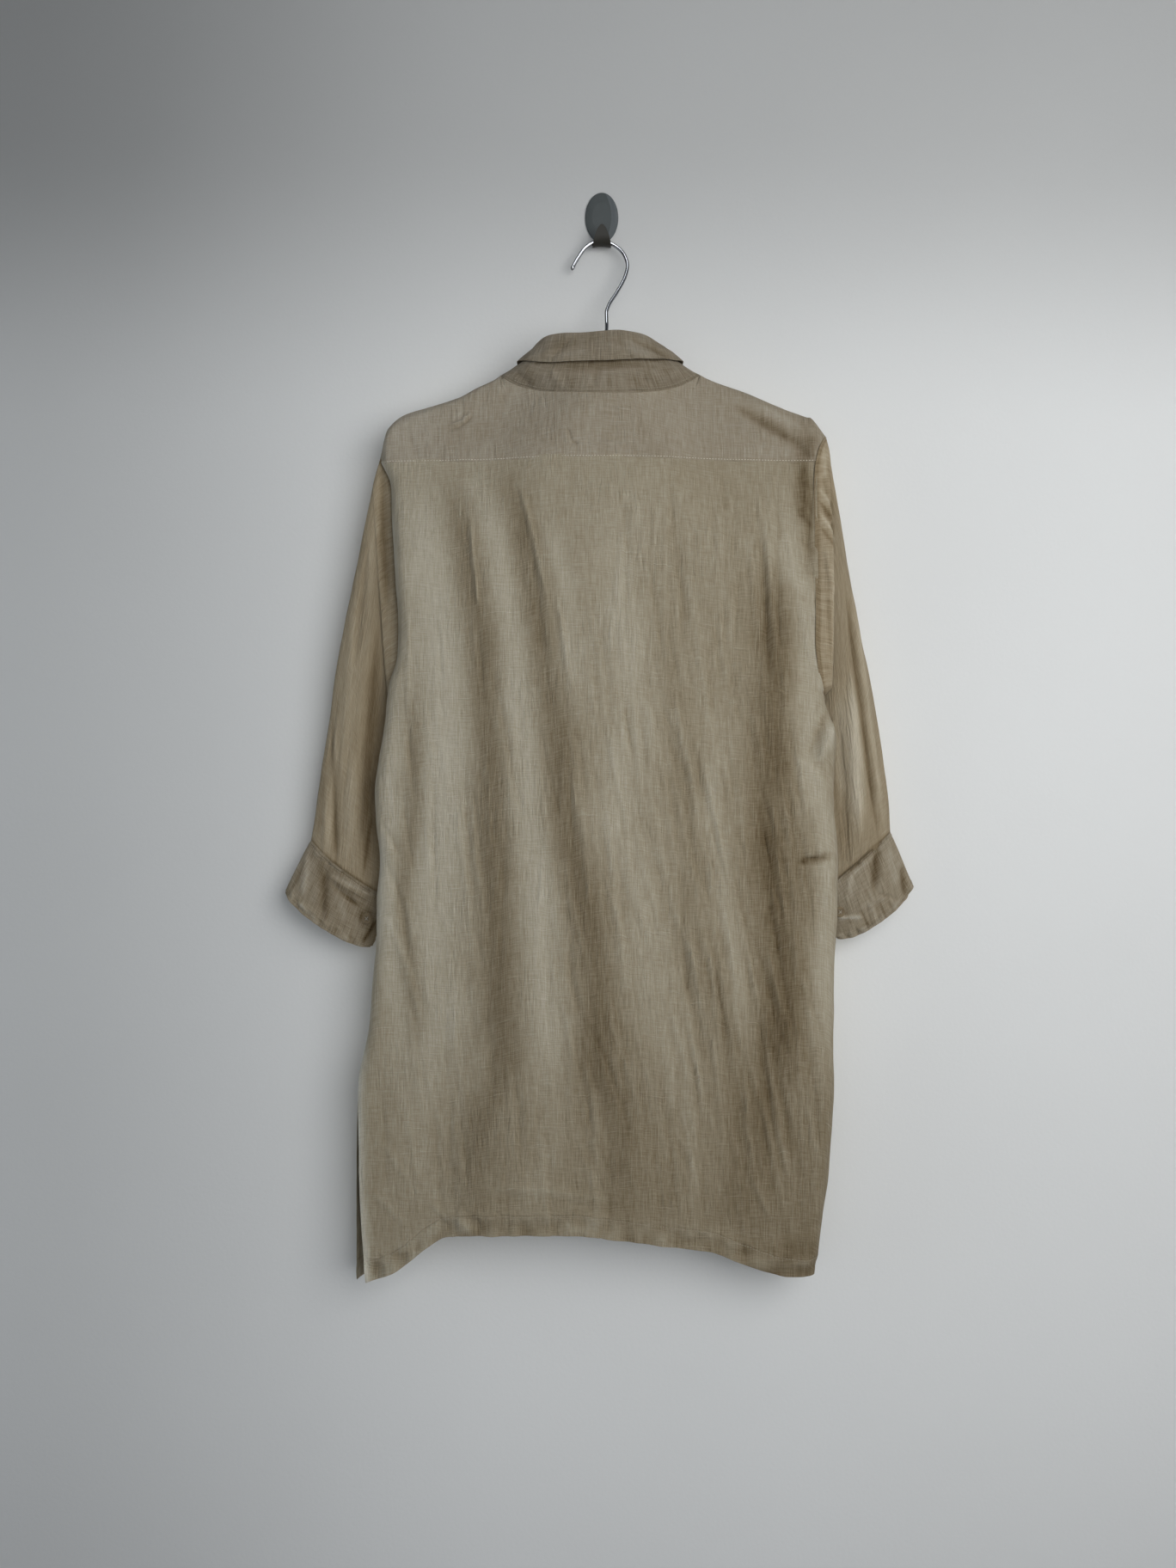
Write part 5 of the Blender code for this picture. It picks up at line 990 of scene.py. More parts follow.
def front_grid(arm, sign):
    """One front, from its side to its edge past the centre."""
    gap = EDGE_SHARE
    _, front_h = arm_heights(arm, YOKE_FORWARD)
    side, _ = neck_side(sign)
    neck = front_neck(sign, neck_turns())
    end = arm_points(arm, [front_h], True)[0]
    shoulder_x = np.linspace(arm["yoke_x"], side, FRONT_SHOULDER + 1)[:-1]
    shoulder = shoulder_point(shoulder_x, np.full(FRONT_SHOULDER, YOKE_FORWARD))
    top = np.concatenate((end[None], shoulder, neck))
    top[1:, 2] -= FRONT_DROP
    count = len(top)
    bottom = front_row(sign, np.full(count, ARMPIT_Z), count, gap)
    rows = []
    for v in np.linspace(0, 1, BACK_UPPER_ROWS + 1):
        x = blend(top[:, 0], bottom[:, 0], v)
        z = blend(top[:, 2], ARMPIT_Z, v)
        side_edge = arm_points(arm, [blend(front_h, 1.0, v)], True)[0]
        share = (x - x[0]) / (NECK_X - x[0])
        x = np.where(share < 1, side_edge[0] + (NECK_X - side_edge[0]) * share, x)
        row = lift_left_front(depth_point(x, z, True), sign)
        row[0] = side_edge
        rows.append(row)
    rows[0][0, 2] -= FRONT_DROP
    rows[-1] = bottom
    for v in np.linspace(0, 1, LOWER_ROWS + 1)[1:]:
        z = np.full(count, ARMPIT_Z)
        for _ in range(3):
            row = front_row(sign, z, count, gap)
            z = blend(ARMPIT_Z, hem_z(row[:, 0], HEM_FRONT), v)
        rows.append(front_row(sign, z, count, gap))
    return np.stack(rows)


def front_row(sign, z, count, gap):
    """A row of a front below the armhole: even steps, then three columns at the centre."""
    left, right = side_x(z)
    middle, half = (left + right) / 2, (right - left) / 2
    edge = 2 - seam_share(z, sign) - gap - (vent_share(z) if sign > 0 else 0)
    centre = sign * (NECK_X + sign * OVERLAP - middle) / half * (1 - TURN_SHARE) / (1 - TURN_REACH)
    share = spread(count - 3, 0.2)
    share = np.concatenate((share, [1.0, 1.0]))
    t = sign * blend(edge, centre, share)
    x = middle + half * share_to_across(t)
    x[-2] = NECK_X
    x[-1] = NECK_X - sign * OVERLAP
    return lift_left_front(depth_point(x, z, True), sign)


# Sleeves and cuffs

def ends(table, k):
    """The outer and the inner end of a sleeve's section."""
    return [np.array([table[end + axis][k] for axis in "xyz"]) for end in ("outer_", "inner_")]


def section(outer, inner, near, far, bow, angle, sign, dip):
    """A flattened ring between an outer and an inner point, at angles round it."""
    share = (1 + np.cos(angle)) / 2
    points = inner + (outer - inner) * share[:, None]
    across = np.sin(angle)
    points[:, 1] -= np.where(across > 0, near, far) * across
    points[:, 0] += sign * bow * np.maximum(across, 0)
    points[:, 2] -= dip * (1 - np.abs(np.cos(angle)) ** 3)
    return points


def sleeve_grid(arm, table, cuff, armhole, valleys):
    """Sections from the armhole to the cuff. The first one follows the edges that it is sewn to."""
    sign = arm["sign"]
    top, bottom = armhole[0, 2], armhole[:, 2].min()
    lowest = int(np.argmin(armhole[:, 2]))
    count = len(armhole)
    height = np.clip((top - armhole[:, 2]) / (top - bottom), 0, 1)
    first = np.arccos(1 - 2 * height)
    first[lowest + 1:] = 2 * pi - first[lowest + 1:]
    even = np.empty(count)
    even[:lowest + 1] = np.linspace(0, pi, lowest + 1)
    even[lowest:] = np.linspace(pi, 2 * pi, count - lowest + 1)[:-1]
    rows = [armhole]
    total = len(table["near"])
    for k in range(total):
        angle = blend(first, even, min((k + 1) / 4, 1.0))
        dip = cuff["dip"][0] * smooth((k + 4 - total) / 3)
        reach = (table[name][k] for name in ("near", "far", "bow"))
        ring = section(*ends(table, k), *reach, angle, sign, dip)
        for where, half, deep, start in valleys:
            fade = smooth((k - start + 1) / 3) * smooth((total - k) / 3)
            ring[:, 1] += deep * fade * np.exp(-((angle - where) / half) ** 2)
        rows.append(ring)
    return np.stack(rows)


def cuff_ring(table, cuff, share, angle, sign):
    """A ring of a cuff. Past one turn it runs outside itself, where its upper end laps over."""
    outer, inner = (blend(top, np.array(rim), share) for top, rim in
                    zip(ends(table, -1), (cuff["outer"], cuff["inner"])))
    near = blend(table["near"][-1], CUFF_NEAR, share)
    far = blend(table["far"][-1], CUFF_FAR, share)
    dip = blend(cuff["dip"][0], cuff["dip"][1], share)
    ring = section(outer, inner, near, far, 0.0, angle, sign, dip)
    ahead = section(outer, inner, near, far, 0.0, angle + 0.01, sign, dip)
    axis = np.cross(outer - inner, [0.0, 1.0, 0.0])
    out = np.cross(ahead - ring, axis)
    out /= np.linalg.norm(out, axis=1, keepdims=True)
    centre = (outer + inner) / 2
    flip = np.sign(np.sum(out * (ring - centre), axis=1, keepdims=True))
    lift = CUFF_STEP * smooth((angle - 2 * pi) / CUFF_LIFT_TURN)
    return ring + out * flip * lift[:, None]


def cuff_grid(table, cuff, sign):
    """A cuff from its under end, once round the wrist, to its upper end."""
    angle = np.linspace(CUFF_UNDER, CUFF_OVER + 2 * pi, CUFF_COLUMNS + 1)
    return np.stack([cuff_ring(table, cuff, share, angle, sign) for share in CUFF_ROWS])


# The collar

def collar_ring(index, angle):
    """A ring of the collar. The first one is the neck seam itself."""
    if index == 0:
        return neck_line(angle)
    half, near, far = (COLLAR[name][index] for name in ("half", "near", "far"))
    back, side, front = (COLLAR[name][index] for name in ("back_z", "side_z", "front_z"))
    cosine = np.cos(angle)
    behind = cosine > 0
    size = np.abs(cosine)
    x = NECK_X + half * np.sin(angle)
    y = (near + far) / 2 + (near - far) / 2 * np.where(behind, size, -size ** FRONT_ROUND)
    lean = blend(COLLAR["lean"][index], 1.0, smooth(cosine / 0.6))
    y = blend(neck_line(angle)[:, 1], y, lean)
    fall = np.clip((np.abs(np.sin(angle)) - BACK_FLAT) / (1 - BACK_FLAT), 0, 1) ** BACK_FALL
    z = np.where(behind, blend(back, side, fall), blend(side, front, size ** COLLAR["rise"][index]))
    if index > ROLL_RING:
        floor = depth_point(x, z, True)[:, 1] + FALL_REST
        resting = smooth((index - ROLL_RING) / 2) * smooth(size / 0.3)
        y = np.where(behind, y, y + np.maximum(floor - y, 0) * resting)
    points = np.stack((x, y, z), -1)
    lapped = angle < -pi / 2
    lifted = lift_left_front(points, -1)
    return np.where(lapped[:, None], lifted, points)


def neck_turns():
    """The turns of a front's neck points: to the overlap's start, the centre and the edge."""
    inner = np.arccos(OVERLAP / NECK_HALF)
    return np.concatenate((np.linspace(0, inner, FRONT_NECK), [pi / 2, pi - inner]))


def neck_angles():
    """Angles round the neck seam that fall on the points of the yoke and the fronts."""
    back = np.linspace(0, pi / 2, YOKE_NECK // 2 + 1)
    forward = np.array([w for w in YOKE_TURNS if w > 0]) / YOKE_FORWARD * SIDE_SHARE
    front = SIDE_SHARE + (1 - SIDE_SHARE) * neck_turns() / (pi / 2)
    half = np.concatenate((back, pi / 2 * (1 + forward), pi / 2 * (1 + front)))
    return np.concatenate((-half[:0:-1], half))


def stand_grid():
    """The collar's stand, just off the neck seam."""
    angle = neck_angles()
    rings = [collar_ring(index, angle) for index in range(STAND_RINGS)]
    reach = blend(SEAM_REACH, STAND_REACH, smooth((np.abs(angle) - 0.7) / 0.5))
    rings[0] = move_along(rings[0], rings[1], reach[:, None])
    return np.stack(rings)


def move_along(start, end, distance):
    step = end - start
    return start + step / np.linalg.norm(step, axis=-1, keepdims=True) * distance


def fall_grid():
    """The collar's fall, over the roll and down, with its points spread at the front."""
    first = STAND_RINGS - 1
    last = len(COLLAR["half"]) - 1
    rings = []
    angle = neck_angles()
    reach = pi - FALL_OPENING
    angle = angle[np.abs(angle) < reach - 0.05]
    angle = np.concatenate(([-reach], angle, [reach]))
    for index in range(first, last + 1):
        share = smooth((index - first - 3) / (last - first - 3))
        rings.append(collar_ring(index, angle * (1 - FALL_SPREAD * share / reach)))
    rings[0] = move_along(rings[0], rings[1], SEAM_REACH)
    return np.stack(rings)


# Small pieces

def armhole_ring(yoke, back, front, arm):
    """The first ring of a sleeve: the armhole's edges, each point moved just past its panel."""
    left = arm["sign"] < 0
    edge, beside = (0, 1) if left else (-1, -2)
    upper = BACK_UPPER_ROWS
    near = back[:upper, edge], back[:upper, beside]
    far = front[1:upper, 0], front[1:upper, 1]
    over = yoke[:, edge], yoke[:, beside]
    tip = len(YOKE_END["back"])
    points = np.concatenate((over[0][tip:0:-1], near[0], [back[upper, edge]], far[0][::-1],
                             over[0][:tip:-1]))
    inside = np.concatenate((over[1][tip:0:-1], near[1], [back[upper, beside]], far[1][::-1],
                             over[1][:tip:-1]))
    step = points - inside
    lowest = int(np.argmin(points[:, 2]))
    step[lowest] = (arm["sign"], 0.0, 0.8)
    reach = np.full(len(points), SEAM_REACH + (LEFT_SLEEVE_MORE if left else 0))
    reach[lowest] = ARMPIT_REACH
    step /= np.linalg.norm(step, axis=1, keepdims=True)
    return points + step * reach[:, None]


def label_grid():
    """The label inside the yoke, at the centre back."""
    x = np.linspace(LABEL["x"][0], LABEL["x"][1], 4)
    z = np.linspace(LABEL["z"][0], LABEL["z"][1], 4)
    grid = depth_point(x[None, :], z[:, None], False)
    grid[..., 1] += WALL / 2 + 2 * SEAM_GAP + LABEL_THICK / 2
    return grid


def hanger_height(x):
    """The middle of the hanger's wood under the shoulder line, rising freely between the sides."""
    under = ridge_z(x) - WALL / 2 - HANGER_GAP - HANGER_HALF_HEIGHT
    side = np.where(x < HANGER_X, HANGER_X - HANGER_SHOULDER, HANGER_X + HANGER_SHOULDER)
    foot = ridge_z(side) - WALL / 2 - HANGER_GAP - HANGER_HALF_HEIGHT
    share = np.minimum(np.abs(x - HANGER_X) / HANGER_SHOULDER, 1)
    inner = HANGER_APEX_Z + (foot - HANGER_APEX_Z) * share ** HANGER_RISE
    return np.where(share < 1, inner, under)


def path_length(points):
    """The length of a path up to each of its points."""
    return np.concatenate(([0], np.cumsum(np.linalg.norm(np.diff(points, axis=0), axis=1))))


def smooth_path(points, count):
    """Evenly spread points on a smooth curve through the given ones."""
    points = np.asarray(points, float)
    length = path_length(points)
    along = np.linspace(0, length[-1], count)
    return np.stack([through(along, length, points[:, axis]) for axis in range(3)], -1)


# Fine grids

def refine(grid, rows, columns):
    """The same surface with more points: a Catmull-Rom curve through every row and column."""
    def along(values, count):
        last = len(values) - 1
        at = np.linspace(0, last, count + 1)
        i = np.minimum(at.astype(int), last - 1)
        u = (at - i)[:, None, None]
        first = 2 * values[0] - values[1]
        end = 2 * values[-1] - values[-2]
        padded = np.concatenate((first[None], values, end[None]))
        a, b, c, d = (padded[i + k] for k in range(4))
        return b + u * (c - a + u * (2 * a - 5 * b + 4 * c - d + u * (3 * (b - c) + d - a))) / 2
    grid = along(grid, rows)
    return np.swapaxes(along(np.swapaxes(grid, 0, 1), columns), 0, 1)


def refine_round(grid, rows, columns):
    """The same for a grid whose columns go all the way round. The first column comes last again."""
    wrapped = np.concatenate((grid[:, -2:], grid, grid[:, :3]), axis=1)
    count = grid.shape[1]
    fine = refine(wrapped, rows, (count + 4) * columns)
    return fine[:, 2 * columns:(count + 2) * columns + 1]


def grain_of(grid):
    """Distances along the rows and the columns, in metres, for the weave."""
    across = np.linalg.norm(np.diff(grid, axis=1), axis=2).mean(0)
    down = np.linalg.norm(np.diff(grid, axis=0), axis=2).mean(1)
    u = np.concatenate(([0], np.cumsum(across)))
    v = np.concatenate(([0], np.cumsum(down)))
    return np.meshgrid(u, v)


def outward(grid):
    """Unit normals that point away from the body's middle plane, the shirt's right side."""
    normal = normals_of(grid, False)
    plane = through(grid[..., 2], DEPTH["z"], DEPTH["plane"])
    side = np.sign(np.sum(normal[..., 1] * (grid[..., 1] - plane)))
    return normal * (side if side else 1)


def new_object(name, points, faces, material, smooth_angle=0.9):
    mesh = bpy.data.meshes.new(name)
    mesh.from_pydata([tuple(map(float, p)) for p in points], [], faces)
    mesh.validate()
    item = bpy.data.objects.new(name, mesh)
    bpy.context.scene.collection.objects.link(item)
    mesh.materials.append(material)
    mesh.shade_smooth()
    mesh.set_sharp_from_angle(angle=smooth_angle)
    return item


def face_out(item):
    """Turn all faces of a closed mesh to point out."""
    shape = bmesh.new()
    shape.from_mesh(item.data)
    bmesh.ops.recalc_face_normals(shape, faces=shape.faces)
    shape.to_mesh(item.data)
    shape.free()


def double_skin(grid, thickness):
    """Points and faces of a closed skin on both sides of a grid. The far side's come second."""
    rows, columns = grid.shape[:2]
    away = normals_of(grid, False) * thickness / 2
    points = np.concatenate(((grid + away).reshape(-1, 3), (grid - away).reshape(-1, 3)))
    half = rows * columns
    index = np.arange(half).reshape(rows, columns)
    a, b = index[:-1, :-1].ravel(), index[:-1, 1:].ravel()
    d, e = index[1:, :-1].ravel(), index[1:, 1:].ravel()
    ring = np.concatenate((index[0, :], index[1:, -1], index[-1, -2::-1], index[-2:0:-1, 0]))
    after = np.roll(ring, -1)
    faces = np.concatenate((np.stack((a, b, e, d), -1),
                            np.stack((half + a, half + d, half + e, half + b), -1),
                            np.stack((after, ring, half + ring, half + after), -1)))
    return points, faces.tolist()


def tube_faces(rings, sides, first=0):
    """Faces of a closed tube whose rings of points start at an index."""
    faces = [(first + r * sides + k, first + r * sides + (k + 1) % sides,
              first + (r + 1) * sides + (k + 1) % sides, first + (r + 1) * sides + k)
             for r in range(rings - 1) for k in range(sides)]
    last = first + (rings - 1) * sides
    return faces + [tuple(range(first, first + sides))[::-1], tuple(range(last, last + sides))]


def store(item, name, near, far=None):
    """Keep a value or a vector for each point of a double skin, the same on both sides if alone."""
    kind, field = ("FLOAT_VECTOR", "vector") if near.ndim == 3 else ("FLOAT", "value")
    layer = item.data.attributes.new(name, kind, "POINT")
    values = np.stack((near, near if far is None else far))
    layer.data.foreach_set(field, values.astype(np.float32).ravel())


def stand_for(item, node):
    """Show a piece on the part's body in the place of one of its solids."""
    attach(item, "root")
    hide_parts(node)


def cloth(name, grid, material, lines=(), painted_shading=None, upright=0, thickness=CLOTH_THICK):
    """A closed double skin round a grid, with the weave's directions.
    On the body's panels, where upright is 1 at the back or -1 at the front, they are x and z.
    Lines are up to three sewn ones, each an edge and a distance from it. The painted shading has a
    row for each of the grid's last rows; each piece's own painted light and shade is added to it."""
    rows, columns = grid.shape[:2]
    u, v = grain_of(grid)
    size = (float(u.max()), float(v.max()))
    if upright:
        u, v = grid[..., 0], grid[..., 2] + upright * grid[..., 1]
    item = new_object(name + "_cloth", *double_skin(grid, thickness), material)
    face_out(item)
    side = np.zeros_like(u)
    store(item, "grain", np.stack((u, v, side), -1), np.stack((u, v, side + 1), -1))
    # each piece's own painted light and shade is added to its painted shading
    painted_shading = np.zeros((rows, columns)) if painted_shading is None else painted_shading + PIECE_PAINTED_SHADING.get(name, 0.0)
    store(item, "painted_shading", np.pad(painted_shading, ((rows - painted_shading.shape[0], 0), (0, 0)), "edge"))
    away = [from_edge(grid, edge) - distance for edge, distance in lines]
    away += [np.ones((rows, columns))] * (3 - len(away))
    store(item, "lines", np.stack(away, -1))
    stand_for(item, name)
    area = min(max(cell_area(grid), 0.31 * size[0] * size[1]), size[0] * size[1])


def cell_area(grid):
    """The area of all the grid's cells."""
    a = grid[1:, :-1] - grid[:-1, :-1]
    b = grid[:-1, 1:] - grid[:-1, :-1]
    return float(np.linalg.norm(np.cross(a, b), axis=2).sum())


# Creases

def crease(x, z, start, end, width, height, bow=0.0):
    """A fold between two points: a ridge, or a valley where its height is negative.
    It bows sideways by that much."""
    start, end = np.array(start), np.array(end)
    along = end - start
    length = np.linalg.norm(along)
    along = along / length
    aside = np.array((-along[1], along[0]))
    dx, dz = x - start[0], z - start[1]
    s = (dx * along[0] + dz * along[1]) / length
    t = dx * aside[0] + dz * aside[1] - bow * 4 * s * (1 - s)
    fade = (smooth((s + CREASE_BEYOND) / CREASE_FADE)
            * smooth((1 + CREASE_BEYOND - s) / CREASE_FADE))
    grown = width * (CREASE_WIDTHS[0] + CREASE_WIDTHS[1] * np.sin(np.clip(s, 0, 1) * pi))
    return height * fade * np.exp(-(t / grown) ** 2)


def crumple(points, size, height, stretch=(1.0, 1.0, 1.0), seed=0.0):
    """Smooth noise of a size over points, for the cloth's small unevenness."""
    shape = points.shape[:-1]
    flat = points.reshape(-1, 3) * np.array(stretch) / size + seed
    values = np.fromiter((noise.noise(p) for p in flat.tolist()), float, len(flat))
    return values.reshape(shape) * height


def photo_xz(x_px, y_px, y):
    """A place in the photograph, in pixels, as x and z at a depth."""
    scale = (y - CAMERA[1]) * PIXEL
    return (CAMERA[0] + (x_px - FRAME_MIDDLE[0]) * scale,
            CAMERA[2] - (y_px - FRAME_MIDDLE[1]) * scale)


# Materials

SOCKETS = dict(rough="Roughness", metal="Metallic", specular="Specular IOR Level",
               sheen="Sheen Weight", sheen_rough="Sheen Roughness", colour="Base Color",
               normal="Normal")


class Shade:
    """One material's nodes, with short calls for the sums that its pattern needs."""

    def __init__(self, name, **values):
        self.material = bpy.data.materials.new(name)
        self.material.use_nodes = True
        self.tree = self.material.node_tree
        self.shader = self.tree.nodes["Principled BSDF"]
        self.set(**values)

    def put(self, socket, value):
        if isinstance(value, bpy.types.NodeSocket):
            self.tree.links.new(value, socket)
        elif value is not None:
            socket.default_value = value

    def sum(self, operation, *values):
        made = self.tree.nodes.new("ShaderNodeMath")
        made.operation = operation
        for socket, value in zip(made.inputs, values):
            self.put(socket, value)
        return made.outputs[0]

    def vary(self, value, by, start):
        """A start value that a factor adds to, by a share of itself."""
        return self.sum("MULTIPLY_ADD", value, by, start)

    def vector(self, operation, first, second):
        made = self.tree.nodes.new("ShaderNodeVectorMath")
        made.operation = operation
        self.put(made.inputs[0], first)
        self.put(made.inputs["Scale" if operation == "SCALE" else 1], second)
        return made.outputs[0]

    def attribute(self, name, output="Vector"):
        made = self.tree.nodes.new("ShaderNodeAttribute")
        made.attribute_name = name
        return made.outputs[output]

    def place(self):
        return self.tree.nodes.new("ShaderNodeTexCoord").outputs["Object"]

    def set(self, **values):
        """Set the shader's inputs, by the names in SOCKETS."""
        for name, value in values.items():
            self.put(self.shader.inputs[SOCKETS[name]], value)

    def parts(self, vector):
        made = self.tree.nodes.new("ShaderNodeSeparateXYZ")
        self.put(made.inputs[0], vector)
        return made.outputs

    def noise(self, vector, size, detail=2.0, roughness=0.5):
        """Smooth noise from 0 to 1, with its size along x, y and z in metres."""
        made = self.tree.nodes.new("ShaderNodeTexNoise")
        made.inputs["Scale"].default_value = 1.0
        made.inputs["Detail"].default_value = detail
        made.inputs["Roughness"].default_value = roughness
        self.put(made.inputs["Vector"], self.vector("MULTIPLY", vector, [1 / s for s in size]))
        return made.outputs["Fac"]

    def step(self, value, low, high, start=0.0, end=1.0):
        """A smooth step of a value between two limits."""
        made = self.tree.nodes.new("ShaderNodeMapRange")
        made.interpolation_type = "SMOOTHSTEP"
        for socket, number in zip(made.inputs, (value, low, high, start, end)):
            self.put(socket, number)
        return made.outputs[0]

    def bump(self, height, distance, strength=1.0, under=None):
        made = self.tree.nodes.new("ShaderNodeBump")
        made.inputs["Strength"].default_value = strength
        made.inputs["Distance"].default_value = distance
        self.put(made.inputs["Height"], height)
        if under is not None:
            self.put(made.inputs["Normal"], under)
        return made.outputs[0]

    def colour(self, colour, factor):
        self.set(colour=self.vector("SCALE", colour, factor))

    def tint(self, colour, factor, powers):
        """The colour times a factor, with a power of it for each channel."""
        made = self.tree.nodes.new("ShaderNodeCombineXYZ")
        for socket, power, share in zip(made.inputs, powers, colour):
            self.put(socket, self.sum("MULTIPLY", self.sum("POWER", factor, power), share))
        self.set(colour=made.outputs[0])


def linen(name, colour):
    """Plain-weave linen: uneven threads both ways, slubs, soft blotches and pressed seam lines,
    with painted light and shade: the painted shading stored on each piece, painted light to the
    left and the top, and painted shade towards the hem and in the grooves.
    """
    shade = Shade(name, rough=0.92, sheen=0.06, sheen_rough=0.6, specular=0.08)
    grain = shade.attribute("grain")

    def layer(size, **rest):
        return shade.noise(grain, (*size, 1.0), **rest)

    layers, total = {}, None
    for row in LINEN_LAYERS:
        value = layer(**{key: row[key] for key in ("size", "detail", "roughness") if key in row})
        if "slub" in row:
            value = shade.step(value, *SLUB_LIMITS)
        layers[row["name"]] = value
        if total is None:
            total = shade.sum("MULTIPLY", value, row["share"])
        else:
            total = shade.vary(value, row["share"], total)
    # painted light and shade stored on each piece
    total = shade.sum("ADD", shade.attribute("painted_shading", "Fac"), total)
    # painted light, paler to the left and the top, and painted shade towards the hem
    x, _, z = shade.parts(shade.place())
    total = shade.vary(x, -PAINTED_LIGHT_ACROSS, total)
    total = shade.vary(z, PAINTED_LIGHT_UP, total)
    total = shade.sum("ADD", shade.step(z, *PAINTED_SHADE_LOW_FROM, -PAINTED_SHADE_LOW, 0.0), total)
    factor = shade.sum("ADD", total, 1.0 - LINEN_LEVEL + PAINTED_LIGHT_MIDDLE * PAINTED_LIGHT_UP)

    threads = shade.sum("ADD", layers["warp"], layers["weft"])
    for slub in ("slub_down", "slub_across"):
        threads = shade.vary(layers[slub], SLUB_RELIEF, threads)
    surface = shade.bump(threads, *THREAD_RELIEF)
    surface = shade.bump(layer(**CRINKLE), *CRINKLE_RELIEF, surface)
    turning = shade.sum("ABSOLUTE", shade.sum("SUBTRACT", layer(**CREASED), 0.5))
    patch = shade.step(layer(**PATCHES), *PATCH_LIMITS)
    turning = shade.sum("MULTIPLY", shade.sum("POWER", turning, CREASE_POWER), patch)
    surface = shade.bump(turning, *CREASE_RELIEF, surface)
    pressed = None
    for line in shade.parts(shade.attribute("lines")):
        away = shade.sum("ABSOLUTE", line)
        groove = shade.step(away, 0.0, GROOVE, 1.0, 0.0)
        band = shade.step(line, -LINE_STEP, LINE_STEP, 1.0, 0.0)
        pucker = shade.sum("MULTIPLY", shade.step(away, 0.0, PUCKER_REACH, 1.0, 0.0),
                           layer((PUCKER_SIZE, PUCKER_SIZE), detail=1.0))
        height = shade.sum("SUBTRACT", shade.sum("MULTIPLY", band, BAND_HIGH), groove)
        height = shade.vary(pucker, PUCKER_HIGH, height)
        pressed = height if pressed is None else shade.sum("ADD", pressed, height)
        # painted shade in the groove
        factor = shade.vary(groove, GROOVE_PAINTED_SHADE, factor)
    shade.tint(colour, factor, WARMTH)
    shade.set(normal=shade.bump(pressed, *LINE_RELIEF, surface))
    return shade.material


def thread_material(name="thread", colour=THREAD_COLOUR):
    shade = Shade(name, rough=0.7)
    twist = shade.noise(shade.place(), [0.0006] * 3)
    shade.colour(colour, shade.vary(twist, by=0.4, start=0.8))
    return shade.material


def button_material():
    shade = Shade("button", rough=0.36, specular=0.06)
    cloud = shade.noise(shade.place(), (0.004, 0.004, 0.0015), detail=3.0)
    shade.colour(BUTTON_COLOUR, shade.vary(cloud, by=0.45, start=0.30))
    return shade.material


def chrome_material():
    shade = Shade("chrome", metal=1.0)
    smear = shade.noise(shade.place(), (0.003, 0.003, 0.012))
    shade.colour(CHROME_COLOUR, shade.vary(smear, by=0.12, start=0.94))
    shade.set(rough=shade.vary(smear, by=0.03, start=0.05))
    return shade.material


def plate_material(name, colour):
    shade = Shade(name, specular=0.15)
    speck = shade.noise(shade.place(), [0.0012] * 3, detail=3.0)
    cloud = shade.noise(shade.place(), [0.012] * 3)
    shade.colour(colour, shade.vary(cloud, by=0.25, start=0.88))
    shade.set(rough=shade.vary(speck, by=0.2, start=0.42),
              normal=shade.bump(speck, distance=0.0002, strength=0.3))
    return shade.material


def wood_material():
    shade = Shade("wood", rough=0.45)
    rings = shade.noise(shade.place(), (0.05, 0.0025, 0.0025), detail=4.0, roughness=0.6)
    shade.colour(WOOD_COLOUR, shade.vary(rings, by=0.9, start=0.55))
    shade.set(normal=shade.bump(rings, distance=0.0004, strength=0.4))
    return shade.material


def label_material():
    shade = Shade("label", rough=0.6)
    rib = shade.noise(shade.attribute("grain"), (0.009, 0.0006, 1.0))
    shade.colour(LABEL_COLOUR, shade.vary(rib, by=0.3, start=0.85))
    shade.set(normal=shade.bump(rib, distance=0.0003, strength=0.5))
    return shade.material


def wall_material():
    """A wall in pale paint with painted shade, darker to the top and the left; opaque from the
    room. From behind it isn't drawn, so the shirt can be seen.
    """
    shade = Shade("wall", rough=0.85)
    place = shade.place()
    cloud = shade.noise(place, [0.30] * 3)
    x, _, z = shade.parts(place)
    slope = shade.vary(x, WALL_PAINTED_SHADE_SLOPE[0], shade.sum("MULTIPLY", z, WALL_PAINTED_SHADE_SLOPE[1]))
    # painted shade, darker to the top and the left
    dim = None
    for axis, *limits in WALL_PAINTED_SHADE:
        change = shade.step(dict(slope=slope, x=x, z=z)[axis], *limits)
        dim = change if dim is None else shade.sum("ADD", dim, change)
    shade.colour(WALL_COLOUR, shade.vary(cloud, by=0.05, start=shade.sum("ADD", dim, 0.97)))
    grain = shade.noise(place, [0.004] * 3, detail=3.0)
    shade.set(normal=shade.bump(grain, distance=0.0004, strength=0.35))
    tree = shade.tree
    mixer = tree.nodes.new("ShaderNodeMixShader")
    clear = tree.nodes.new("ShaderNodeBsdfTransparent")
    facing = tree.nodes.new("ShaderNodeNewGeometry")
    output = next(n for n in tree.nodes if n.type == "OUTPUT_MATERIAL")
    tree.links.new(facing.outputs["Backfacing"], mixer.inputs[0])
    tree.links.new(shade.shader.outputs[0], mixer.inputs[1])
    tree.links.new(clear.outputs[0], mixer.inputs[2])
    tree.links.new(mixer.outputs[0], output.inputs["Surface"])
    return shade.material


# Lines at a distance from an edge

